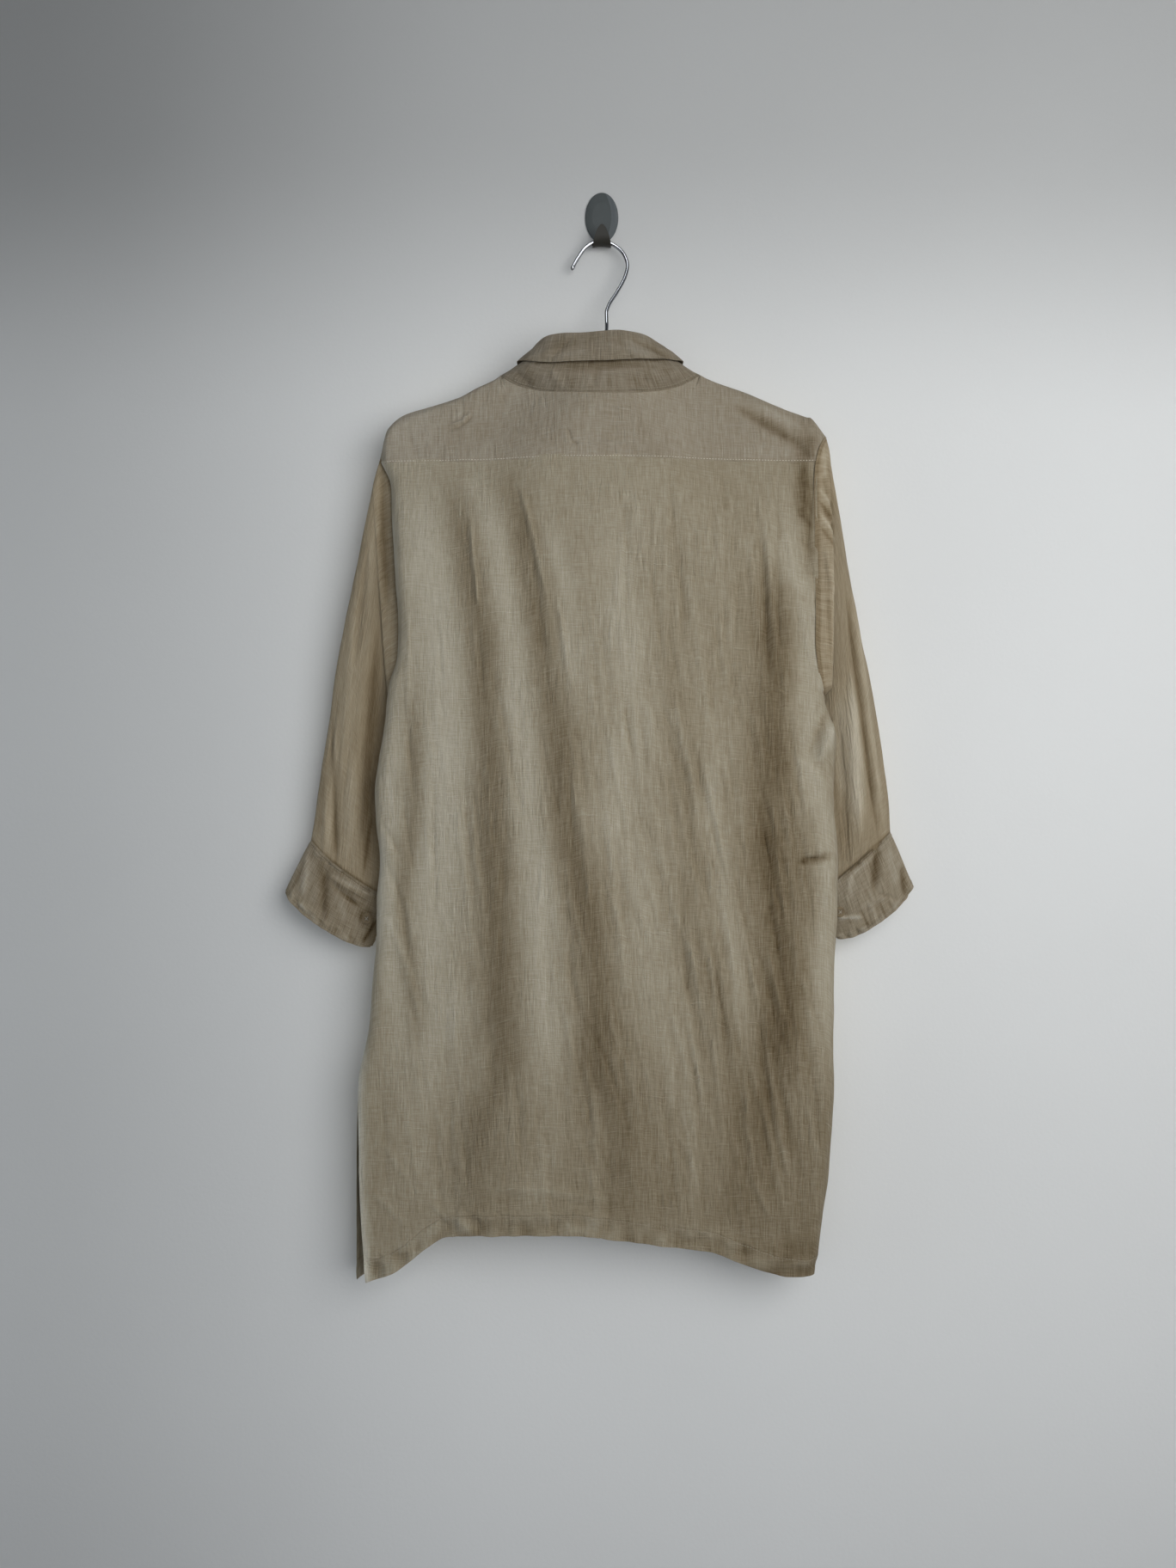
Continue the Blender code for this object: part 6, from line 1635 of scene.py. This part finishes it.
def from_edge(grid, edge):
    """Each point's distance from one edge of its grid, along the cloth."""
    aside, order = edge in ("left", "right"), -1 if edge in ("bottom", "right") else 1
    rows = (np.swapaxes(grid, 0, 1) if aside else grid)[::order]
    steps = np.linalg.norm(np.diff(rows, axis=0), axis=2)
    away = np.concatenate((np.zeros((1, rows.shape[1])), np.cumsum(steps, axis=0)))[::order]
    return away.T if aside else away


def inset_line(grid, edge, distance):
    """The points of the cloth at a distance from an edge, with the cloth's outward normals."""
    away = from_edge(grid, edge)
    normal = outward(grid)
    if edge in ("left", "right"):
        away, grid, normal = away.T, np.swapaxes(grid, 0, 1), np.swapaxes(normal, 0, 1)
    points, normals = [], []
    for column in range(grid.shape[1]):
        order = np.argsort(away[:, column])
        for source, out in ((grid, points), (normal, normals)):
            out.append([np.interp(distance, away[order, column], source[order, column, axis])
                        for axis in range(3)])
    return np.array(points), np.array(normals)


def stitch_row(name, lines, material):
    """Short threads along lines on the cloth, as one piece."""
    points, faces = [], []
    for line, normals in lines:
        length = path_length(line)
        at = (np.arange(int(length[-1] / STITCH_PITCH)) + 0.5) * STITCH_PITCH
        centre, ahead, up = (
            np.stack([np.interp(where, length, values[:, k]) for k in range(3)], -1)
            for where, values in ((at, line), (at + 0.0005, line), (at, normals)))
        up /= np.linalg.norm(up, axis=1, keepdims=True)
        along = ahead - centre
        along /= np.maximum(np.linalg.norm(along, axis=1, keepdims=True), 1e-9)
        aside = np.cross(up, along)
        for c, a, n, s in zip(centre, along, up, aside):
            faces += tube_faces(len(STITCH_RINGS), STITCH_SIDES, len(points))
            for where, wide, high in STITCH_RINGS:
                over = CLOTH_THICK / 2 + STITCH_RADIUS * high
                middle = c + a * where * STITCH_LENGTH + n * over
                for k in range(STITCH_SIDES):
                    turn = 2 * pi * k / STITCH_SIDES
                    points.append(middle + (n * sin(turn) + s * cos(turn)) * STITCH_RADIUS * wide)
    item = new_object(name, points, faces, material, 3.2)
    face_out(item)
    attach(item, "root")


# Cloth pieces

def shaped(kind, grid, creases=(), drawn=(), painted_shades=()):
    """A panel with its creases and a little unevenness, moved along its outward normals, and its
    painted light and shade there: painted highlight on ridges, painted shade in valleys, and the
    painted shades. Along sewn edges it puckers. Creases are given as x and z; drawn ones and
    painted shades in the photograph's pixels."""
    worn = WORN[kind]
    x, z = grid[..., 0], grid[..., 2]
    creases = creases + (photo_creases(drawn, worn["y"]) if drawn else ())
    painted_shades = photo_creases(painted_shades, worn["y"]) if painted_shades else ()
    total = sum((crease(x, z, *row) for row in creases), np.zeros(x.shape))
    puckered = 0.0
    for edge, width, height in worn.get("puckers", ()):
        away = from_edge(grid, edge)
        near = smooth((PUCKER_END * width - away) / (PUCKER_FADE * width))
        wave = crumple(np.stack((x, 0 * x, z), -1), PUCKER_WIDE * width + PUCKER_LEAST, height,
                       seed=worn["seed"] + PUCKER_SEED)
        puckered = puckered + near * wave
    total = total + puckered
    # painted highlight on ridges and puckers, painted shade in valleys
    painted_shading = CREASE_PAINTED_SHADING * (total + PUCKER_PAINTED_SHADING * puckered)
    painted_shading = painted_shading + sum(crease(x, z, *row) for row in painted_shades)
    for size, share, stretch, later in UNEVEN:
        total = total + crumple(grid, size, worn["uneven"] * share, stretch, worn["seed"] + later)
    if "tube" in worn:
        normal = normals_of(grid, False)
        middle = grid.mean(axis=1, keepdims=True)
        normal = normal * np.sign(np.sum(normal * (grid - middle)))
    else:
        normal = outward(grid)
    return grid + normal * total[..., None], painted_shading


def photo_creases(rows, y):
    """Creases given in the photograph's pixels, at a depth."""
    return tuple((photo_xz(*start, y), photo_xz(*end, y), *rest) for start, end, *rest in rows)


def long_crinkles():
    """Many fine upright creases, denser on the right and lower down, as worn linen has."""
    random = np.random.RandomState(CRINKLE_SEED)
    rows = []
    for zone in CRINKLE_ZONES:
        for _ in range(zone["count"]):
            x = random.uniform(*zone["x"])
            z = random.uniform(*zone["z"])
            half = random.uniform(*CRINKLE_LENGTHS) / 2
            lean = random.normal(zone["lean"], CRINKLE_LEAN)
            width = random.uniform(*CRINKLE_WIDTHS)
            height = zone["high"] * random.uniform(0.5, 1.0) * random.choice((-1.0, 1.0))
            rows.append(((x - lean * half, z + half), (x + lean * half, z - half), width, height,
                         random.normal(0, CRINKLE_BOW)))
    return tuple(rows)


def tuck(grid, edge, reach, depth):
    """Carry an upper or lower edge on under its neighbour, so no slit shows at the seam."""
    order = -1 if edge == "bottom" else 1
    rows, normal = grid[::order], outward(grid)[::order]
    step = rows[0] - rows[1]
    step /= np.linalg.norm(step, axis=1, keepdims=True)
    added = [rows[0] + step * reach * share - normal[0] * depth for share in TUCK_ROWS]
    return np.concatenate((np.stack(added), rows))[::order]


def join_under(grid):
    """Carry a sleeve's ends on, a little smaller, under the body's edge and into its cuff."""
    added = []
    for first, second in ((grid[0], grid[1]), (grid[-1], grid[-2])):
        step = first - second
        step /= np.linalg.norm(step, axis=1, keepdims=True)
        inward = first.mean(axis=0) - first
        inward[:, 0] *= JOIN_ASIDE
        inward /= np.linalg.norm(inward, axis=1, keepdims=True)
        added.append(first + step * JOIN_REACH + inward * JOIN_DEPTH)
    return np.concatenate((added[0][None], grid, added[1][None]))


def fall_rise(x):
    """How far the fall's edge at the back rises towards its right end."""
    end = (x - FALL_RISE["end"]) / FALL_RISE["fade"]
    return FALL_RISE["high"] * smooth(x / FALL_RISE["full"]) * (1 - smooth(end))


def uneven_fall(grid):
    """The fall as worn: its roll bulges a little along the top, and its edge at the back rises."""
    x, y, z = grid[..., 0], grid[..., 1], grid[..., 2]
    top = smooth((z - FALL_TOP_Z) / FALL_TOP_REACH)
    lift = sum(high * np.exp(-((x - middle) / half) ** 2) for middle, half, high in FALL_TOP)
    low = (1 - smooth(from_edge(grid, "bottom") / FALL_LOW_REACH)) * (y < DEPTH["plane"][-1])
    grid = grid.copy()
    grid[..., 2] += top * lift + low * fall_rise(x)
    return grid


def fall_shadow(stand):
    """How much darker the stand is under the fall's edge, at the back."""
    x, y, z = stand[..., 0], stand[..., 1], stand[..., 2]
    below = np.maximum((FALL_EDGE_Z + fall_rise(x) - z) / FALL_SHADOW["reach"], 0)
    across = (np.abs(x - FALL_SHADOW["middle"]) - FALL_SHADOW["half"]) / FALL_SHADOW["end"]
    strength = np.where(y < DEPTH["plane"][-1], FALL_SHADOW["painted_shading"], 0.0) * (1 - smooth(across))
    return strength * np.exp(-below ** 2)


def make_back(grid, material):
    """The back's cloth. Gives back its points, for the hem's stitches."""
    grid = refine(grid, *WORN["back"]["cells"])
    # painted light and shade along the long folds, and painted highlight beside the sides
    bands = fold_painted_shading(grid[..., 0], grid[..., 2])
    grid, painted_shading = shaped("back", grid, BACK_CREASES + long_crinkles(), painted_shades=BACK_PAINTED_SHADES)
    for edge, share in EDGE_PAINTED_HIGHLIGHTS:
        bands = bands + share * np.exp(-(from_edge(grid, edge) / EDGE_PAINTED_HIGHLIGHT) ** 2)
    grid = tuck(grid, *BACK_TUCK)
    cloth("back", grid, material, WORN["back"]["lines"], painted_shading + bands, upright=1)
    return grid


def make_yoke(grid, material):
    """The yoke's cloth. Gives back its points, for its stitches."""
    grid, painted_shading = shaped("yoke", refine(grid, *WORN["yoke"]["cells"]), YOKE_CREASES,
                        painted_shades=YOKE_PAINTED_SHADES)
    # the long folds' painted light and shade, on the yoke too
    painted_shading = painted_shading + fold_painted_shading(grid[..., 0], grid[..., 2])
    cloth("yoke", grid, material, painted_shading=painted_shading, upright=1)
    return grid


def make_front(name, grid, material):
    """A front's cloth. Gives back its points, for the placket."""
    grid, painted_shading = shaped(name, refine(grid, *WORN[name]["cells"]))
    cloth(name, grid, material, WORN[name]["lines"], painted_shading, upright=-1)
    return grid


def make_placket(front, material, thread):
    """The strip down the left front's edge, with a row of stitches along each side."""
    reach = from_edge(front, "right")
    columns = max(3, int(np.sum(reach[-1] < 2 * OVERLAP)))
    strip = front[:, -columns:].copy()
    strip[..., 1] += WALL / 2 + SEAM_GAP + PLACKET_THICK / 2
    lines = [(edge, INSETS["placket"]) for edge in ("left", "right")]
    cloth("front_placket", strip, material, lines, upright=-1)
    stitch_row("stitches_placket", [inset_line(strip, *line) for line in lines], thread)


def make_sleeve(side, grid, material):
    """A sleeve, with painted shade along the seams at both its ends."""
    grid = refine_round(grid, *WORN["sleeve"]["cells"])
    grid, painted_shading = shaped("sleeve", grid, drawn=SLEEVE_CREASES[side], painted_shades=SLEEVE_PAINTED_SHADES[side])
    for edge in ("top", "bottom"):
        painted_shading = painted_shading + SEAM_PAINTED_SHADE * np.exp(-(from_edge(grid, edge) / SEAM_SHADE) ** 2)
    painted_shading = np.pad(painted_shading, ((0, 1), (0, 0)), "edge")
    cloth("sleeve_" + side, join_under(grid), material, painted_shading=painted_shading)


def make_cuff(side, grid, material, thread):
    """A cuff with a row of stitches along its seam and along its rim."""
    grid, painted_shading = shaped("cuff", refine(grid, *WORN["cuff"]["cells"]), drawn=CUFF_CREASES[side],
                        painted_shades=CUFF_PAINTED_SHADES[side])
    cloth("cuff_" + side, grid, material, WORN["cuff"]["lines"], painted_shading)
    rows = [inset_line(grid, edge, INSETS["cuff"]) for edge in ("top", "bottom")]
    stitch_row("stitches_cuff_" + side, rows, thread)


def make_collar(material):
    """The stand and the fall. Gives back the stand, for its stitches."""
    stand, painted_shading = shaped("stand", refine(stand_grid(), *WORN["stand"]["cells"]),
                         drawn=STAND_CREASES, painted_shades=STAND_PAINTED_SHADES)
    painted_shading = painted_shading - fall_shadow(stand)
    for row in STAND_TUCKS:
        stand = tuck(stand, *row)
    painted_shading = np.pad(painted_shading, ((0, 2), (0, 0)), "edge")
    cloth("collar_stand", stand, material, WORN["stand"]["lines"], painted_shading)
    fall = uneven_fall(refine(fall_grid(), *WORN["fall"]["cells"]))
    fall, painted_shading = shaped("fall", fall, drawn=FALL_CREASES, painted_shades=FALL_PAINTED_SHADES)
    cloth("collar", fall, material, WORN["fall"]["lines"], painted_shading)
    return stand


def make_cloth():
    """All the cloth, its stitches and the label."""
    linens = {name: linen("linen_" + name, colour) for name, colour in LINEN_COLOURS.items()}
    thread = thread_material()
    yoke, back = yoke_grid(), back_grid()
    fronts = dict(left=front_grid(ARM_LEFT, -1), right=front_grid(ARM_RIGHT, 1))
    sleeves = []
    for side, arm, table, cuff in (("left", ARM_LEFT, SLEEVE_LEFT, CUFF_LEFT),
                                   ("right", ARM_RIGHT, SLEEVE_RIGHT, CUFF_RIGHT)):
        armhole = armhole_ring(yoke, back, fronts[side], arm)
        sleeves.append((side, sleeve_grid(arm, table, cuff, armhole, SLEEVE_VALLEYS[side]),
                        cuff_grid(table, cuff, arm["sign"])))
    back = make_back(back, linens["body"])
    yoke = make_yoke(yoke, linens["yoke"])
    left = make_front("front_left", fronts["left"], linens["body"])
    make_placket(left, linens["body"], thread)
    make_front("front_right", fronts["right"], linens["body"])
    for side, grid, cuff in sleeves:
        make_sleeve(side, grid, linens["sleeve"])
        make_cuff(side, cuff, linens["cuff"], thread)
    stand = make_collar(linens["collar"])
    cloth("neck_label", refine(label_grid(), *LABEL_CELLS), label_material(),
          thickness=LABEL_SKIN)
    stitch_row("stitches_hem", [inset_line(back, "bottom", INSETS["hem"])], thread)
    seam = "bottom" if yoke[0, 0, 2] > yoke[-1, 0, 2] else "top"
    pale = thread_material("thread_pale", THREAD_PALE_COLOUR)
    stitch_row("stitches_yoke", [inset_line(yoke, seam, INSETS["yoke"])], pale)
    stitch_row("stitches_stand", [inset_line(stand, "top", INSETS["stand"])], thread)


# Buttons

def turned(name):
    """The button's section turned round its axis."""
    shape = bmesh.new()
    rings = []
    for radius, level in BUTTON_SECTION:
        count = 1 if radius == 0 else BUTTON_SIDES
        rings.append([shape.verts.new((radius * BUTTON_RADIUS * cos(2 * pi * k / BUTTON_SIDES),
                                       radius * BUTTON_RADIUS * sin(2 * pi * k / BUTTON_SIDES),
                                       level * BUTTON_THICK)) for k in range(count)])
    for first, second in zip(rings, rings[1:]):
        for k in range(BUTTON_SIDES):
            corners = (first[k % len(first)], first[(k + 1) % len(first)],
                       second[(k + 1) % len(second)], second[k % len(second)])
            shape.faces.new(list(dict.fromkeys(corners)))
    bmesh.ops.recalc_face_normals(shape, faces=shape.faces)
    return placed(name, shape)


def placed(name, shape):
    """An object of a finished shape."""
    mesh = bpy.data.meshes.new(name)
    shape.to_mesh(mesh)
    shape.free()
    item = bpy.data.objects.new(name, mesh)
    bpy.context.scene.collection.objects.link(item)
    return item


def drill(button):
    """Cut the four holes."""
    shape = bmesh.new()
    for across in (-HOLE_AT, HOLE_AT):
        for down in (-HOLE_AT, HOLE_AT):
            bmesh.ops.create_cone(shape, cap_ends=True, segments=HOLE_SIDES, radius1=HOLE_RADIUS,
                                  radius2=HOLE_RADIUS, depth=BUTTON_THICK * 3,
                                  matrix=Matrix.Translation((across, down, 0)))
    cutter = placed(button.name + "_holes", shape)
    holes = button.modifiers.new("holes", "BOOLEAN")
    holes.operation, holes.solver, holes.object = "DIFFERENCE", "EXACT", cutter
    made = bpy.data.meshes.new_from_object(
        button.evaluated_get(bpy.context.evaluated_depsgraph_get()))
    button.modifiers.clear()
    button.data = made
    bpy.data.objects.remove(cutter)


def make_button(like, facing, material, thread):
    """A round button with a rolled rim, four holes and crossed threads, in a CAD button's place."""
    low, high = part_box(like)
    button = turned(like + "_sewn")
    button.data.materials.append(material)
    drill(button)
    button.data.shade_smooth()
    button.data.set_sharp_from_angle(angle=0.7)
    turn = Vector(facing).to_track_quat("Z", "Y")
    button.matrix_world = Matrix.Translation((low + high) / 2) @ turn.to_matrix().to_4x4()
    stand_for(button, like)
    points, faces = [], []
    for tilt in (pi / 4, -pi / 4):
        along = np.array((cos(tilt), sin(tilt), 0.0)) * HOLE_REACH
        aside = np.array((-sin(tilt), cos(tilt), 0.0))
        up = np.array((0.0, 0.0, 1.0))
        for shift in THREAD_SHIFTS:
            faces += tube_faces(len(THREAD_ARCH), THREAD_SIDES, len(points))
            for where, rise in THREAD_ARCH:
                over = BUTTON_THICK * 0.3 + rise * THREAD_RISE
                middle = along * where + aside * shift + up * over
                for k in range(THREAD_SIDES):
                    angle = 2 * pi * k / THREAD_SIDES
                    points.append(middle + (aside * cos(angle) + up * sin(angle)) * THREAD_RADIUS)
    cross = new_object(like + "_sewn_thread", points, faces, thread, 3.2)
    face_out(cross)
    cross.matrix_world = button.matrix_world.copy()
    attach(cross, "root")


def make_buttons():
    """A drilled and sewn button in the place of each of the part's."""
    material, thread = button_material(), bpy.data.materials["thread"]
    for name in sorted(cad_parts):
        if name.startswith("button_"):
            make_button(name, BUTTON_FACING.get(name, FRONT_FACING), material, thread)


# Hanger, wire and hook

def smooth_tube(name, path, widths, heights, up, material, sides=24):
    """A closed bar with an oval section along a path."""
    tangent = np.gradient(path, axis=0)
    tangent /= np.linalg.norm(tangent, axis=1, keepdims=True)
    side = np.cross(tangent, np.array(up, float))
    side /= np.linalg.norm(side, axis=1, keepdims=True)
    upright = np.cross(side, tangent)
    turn = 2 * pi * np.arange(sides) / sides
    rings = (path[:, None] + side[:, None] * (widths[:, None] * np.cos(turn))[..., None]
             + upright[:, None] * (heights[:, None] * np.sin(turn))[..., None])
    item = new_object(name, rings.reshape(-1, 3), tube_faces(len(path), sides), material, 1.0)
    face_out(item)
    return item


def make_wire():
    """The chrome wire, with a rounded tip."""
    path = smooth_path(WIRE_PATH, WIRE_POINTS)
    length = path_length(path)
    radius = np.full(len(path), WIRE_RADIUS)
    near_tip = length < 2 * WIRE_RADIUS
    radius[near_tip] = WIRE_RADIUS * 1.12 * np.sqrt(
        np.maximum(1 - (1 - length[near_tip] / (2 * WIRE_RADIUS)) ** 2, 0.02))
    item = smooth_tube("hanger_wire_bent", path, radius, radius, (0, 1, 0), chrome_material())
    stand_for(item, "hanger_wire")


def make_hanger():
    """The wood inside the shoulders, thinner under the neck and rounded at its tips."""
    share = np.linspace(-1, 1, HANGER_POINTS)
    x = HANGER_X + HANGER_HALF * np.sin(share * pi / 2)
    y = through(np.minimum(ridge_z(x), NECK_BACK_Z), DEPTH["z"], DEPTH["plane"])
    path = np.stack((x, y, hanger_height(x)), -1)
    beyond = np.maximum(np.abs(share) - HANGER_TIP, 0) / (1.01 - HANGER_TIP)
    taper = np.sqrt(1 - beyond ** 2)
    outside = smooth((np.abs(x - HANGER_X) - HANGER_NECK_X) / HANGER_NECK_TURN)
    depth, height = (blend(neck, half, outside) * taper for neck, half in
                     zip(HANGER_NECK, (HANGER_HALF_DEPTH, HANGER_HALF_HEIGHT)))
    item = smooth_tube("hanger_wood", path, depth, height, (0, 0, 1), wood_material(), 28)
    stand_for(item, "hanger")


def flank_edge(z):
    """Where the plate's face turns down into its right flank."""
    return FLANK_X + FLANK_BOW * (1 - (z / PLATE_HALF[1]) ** 2)


def make_plate():
    """The oval plate with its bevelled right flank, which is painted paler as a painted reflection.
    """
    turn = 2 * pi * np.arange(PLATE_SIDES) / PLATE_SIDES
    shares = np.concatenate(([0.985, 1.0, 1.0, 0.985], np.linspace(0.965, 0.04, PLATE_LEVELS)))
    rings = np.stack([np.stack((PLATE_HALF[0] * share * np.cos(turn), np.zeros(PLATE_SIDES),
                                PLATE_HALF[1] * share * np.sin(turn)), -1) for share in shares])
    rings[1:4, :, 1] = np.array((-PLATE_ROUND, PLATE_ROUND - PLATE_RIM, -PLATE_RIM))[:, None]
    inner = rings[4:]
    x, z = inner[..., 0], inner[..., 2]
    radius = np.sqrt((x / PLATE_HALF[0]) ** 2 + (z / PLATE_HALF[1]) ** 2)
    dome = PLATE_RIM + PLATE_CROWN * np.minimum((1 - radius ** 2) * 1.5, 1.0)
    flank = PLATE_RIM + FLANK_SLOPE * (flank_edge(z) - x) + PLATE_CROWN
    inner[..., 1] = -np.maximum(np.minimum(dome, flank), PLATE_RIM * 0.9)
    plate = new_object("hook_plate", rings.reshape(-1, 3), tube_faces(len(rings), PLATE_SIDES),
                       plate_material("plate", PLATE_COLOUR), 0.25)
    face_out(plate)
    # painted reflection: the right flank gets a paler material
    plate.data.materials.append(plate_material("plate_flank_painted_highlight", FLANK_PAINTED_HIGHLIGHT_COLOUR))
    for face in plate.data.polygons:
        x, y, z = face.center
        face.material_index = int(x > flank_edge(z) and y < -PLATE_RIM * 0.8)
    stand_for(plate, "wall_hook")


def make_tongue():
    """The tongue that turns up from the plate's foot."""
    rows = []
    for y, z, half in zip(TONGUE["y"], TONGUE["z"], TONGUE["half"]):
        x = np.linspace(-half, half, 5)
        rows.append(np.stack((x, np.full(5, y), z - TONGUE_SAG * (x / half) ** 2), -1))
    skins = double_skin(refine(np.stack(rows), 60, 20), TONGUE_THICK)
    tongue = new_object("hook_tongue", *skins, plate_material("tongue", TONGUE_COLOUR), 0.6)
    face_out(tongue)
    bevel = tongue.modifiers.new("bevel", "BEVEL")
    bevel.width, bevel.segments, bevel.angle_limit = TONGUE_BEVEL, 2, 0.9
    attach(tongue, "root")


# Room, light and camera

def make_room():
    """The wall, as a stage for the picture."""
    mesh = bpy.data.meshes.new("wall")
    corners = ((-1, -1), (1, -1), (1, 1), (-1, 1))
    mesh.from_pydata([(x * WALL_REACH, 0, z * WALL_REACH) for x, z in corners], [], [(0, 1, 2, 3)])
    wall = bpy.data.objects.new("wall", mesh)
    wall.location = (0, WALL_BEHIND, 0)
    bpy.context.scene.collection.objects.link(wall)
    mesh.materials.append(wall_material())
    wall.visible_shadow = False


def make_light(name, place, aim, size, power, colour, seen="all"):
    """A rectangular light. The metal mirrors one that only glossy surfaces see."""
    data = bpy.data.lights.new(name, "AREA")
    data.shape, data.size, data.size_y = "RECTANGLE", size[0], size[1]
    data.energy, data.color = power, colour
    lamp = bpy.data.objects.new(name, data)
    lamp.location = place
    lamp.rotation_euler = (Vector(aim) - Vector(place)).to_track_quat("-Z", "Y").to_euler()
    bpy.context.scene.collection.objects.link(lamp)
    if seen == "glossy":
        lamp.visible_diffuse = lamp.visible_transmission = False


def make_lights():
    """The room, darker on its left, and its lamps."""
    world = bpy.data.worlds.new("room")
    bpy.context.scene.world = world
    world.use_nodes = True
    tree = world.node_tree
    background = tree.nodes["Background"]
    background.inputs["Strength"].default_value = WORLD_STRENGTH
    place = tree.nodes.new("ShaderNodeTexCoord")
    parts = tree.nodes.new("ShaderNodeSeparateXYZ")
    ramp = tree.nodes.new("ShaderNodeValToRGB")
    spread_out = tree.nodes.new("ShaderNodeMapRange")
    spread_out.inputs["From Min"].default_value = -1.0
    spread_out.inputs["From Max"].default_value = 1.0
    tree.links.new(place.outputs["Generated"], parts.inputs[0])
    tree.links.new(parts.outputs["X"], spread_out.inputs["Value"])
    tree.links.new(spread_out.outputs[0], ramp.inputs[0])
    tree.links.new(ramp.outputs[0], background.inputs["Color"])
    for stop, colour in zip(ramp.color_ramp.elements, (ROOM_DARK, ROOM_BRIGHT)):
        stop.color = colour
    for row in LIGHTS:
        make_light(**row)


def make_camera():
    """The photograph's camera."""
    data = bpy.data.cameras.new("camera")
    data.lens, data.sensor_width = LENS, SENSOR
    camera = bpy.data.objects.new("camera", data)
    camera.location = CAMERA
    camera.rotation_euler = (pi / 2, 0, 0)
    bpy.context.scene.collection.objects.link(camera)
    bpy.context.scene.camera = camera
    bpy.context.scene.view_settings.view_transform = "Standard"


make_camera()
make_room()
make_lights()
make_cloth()
make_buttons()
make_hanger()
make_wire()
make_plate()
make_tongue()
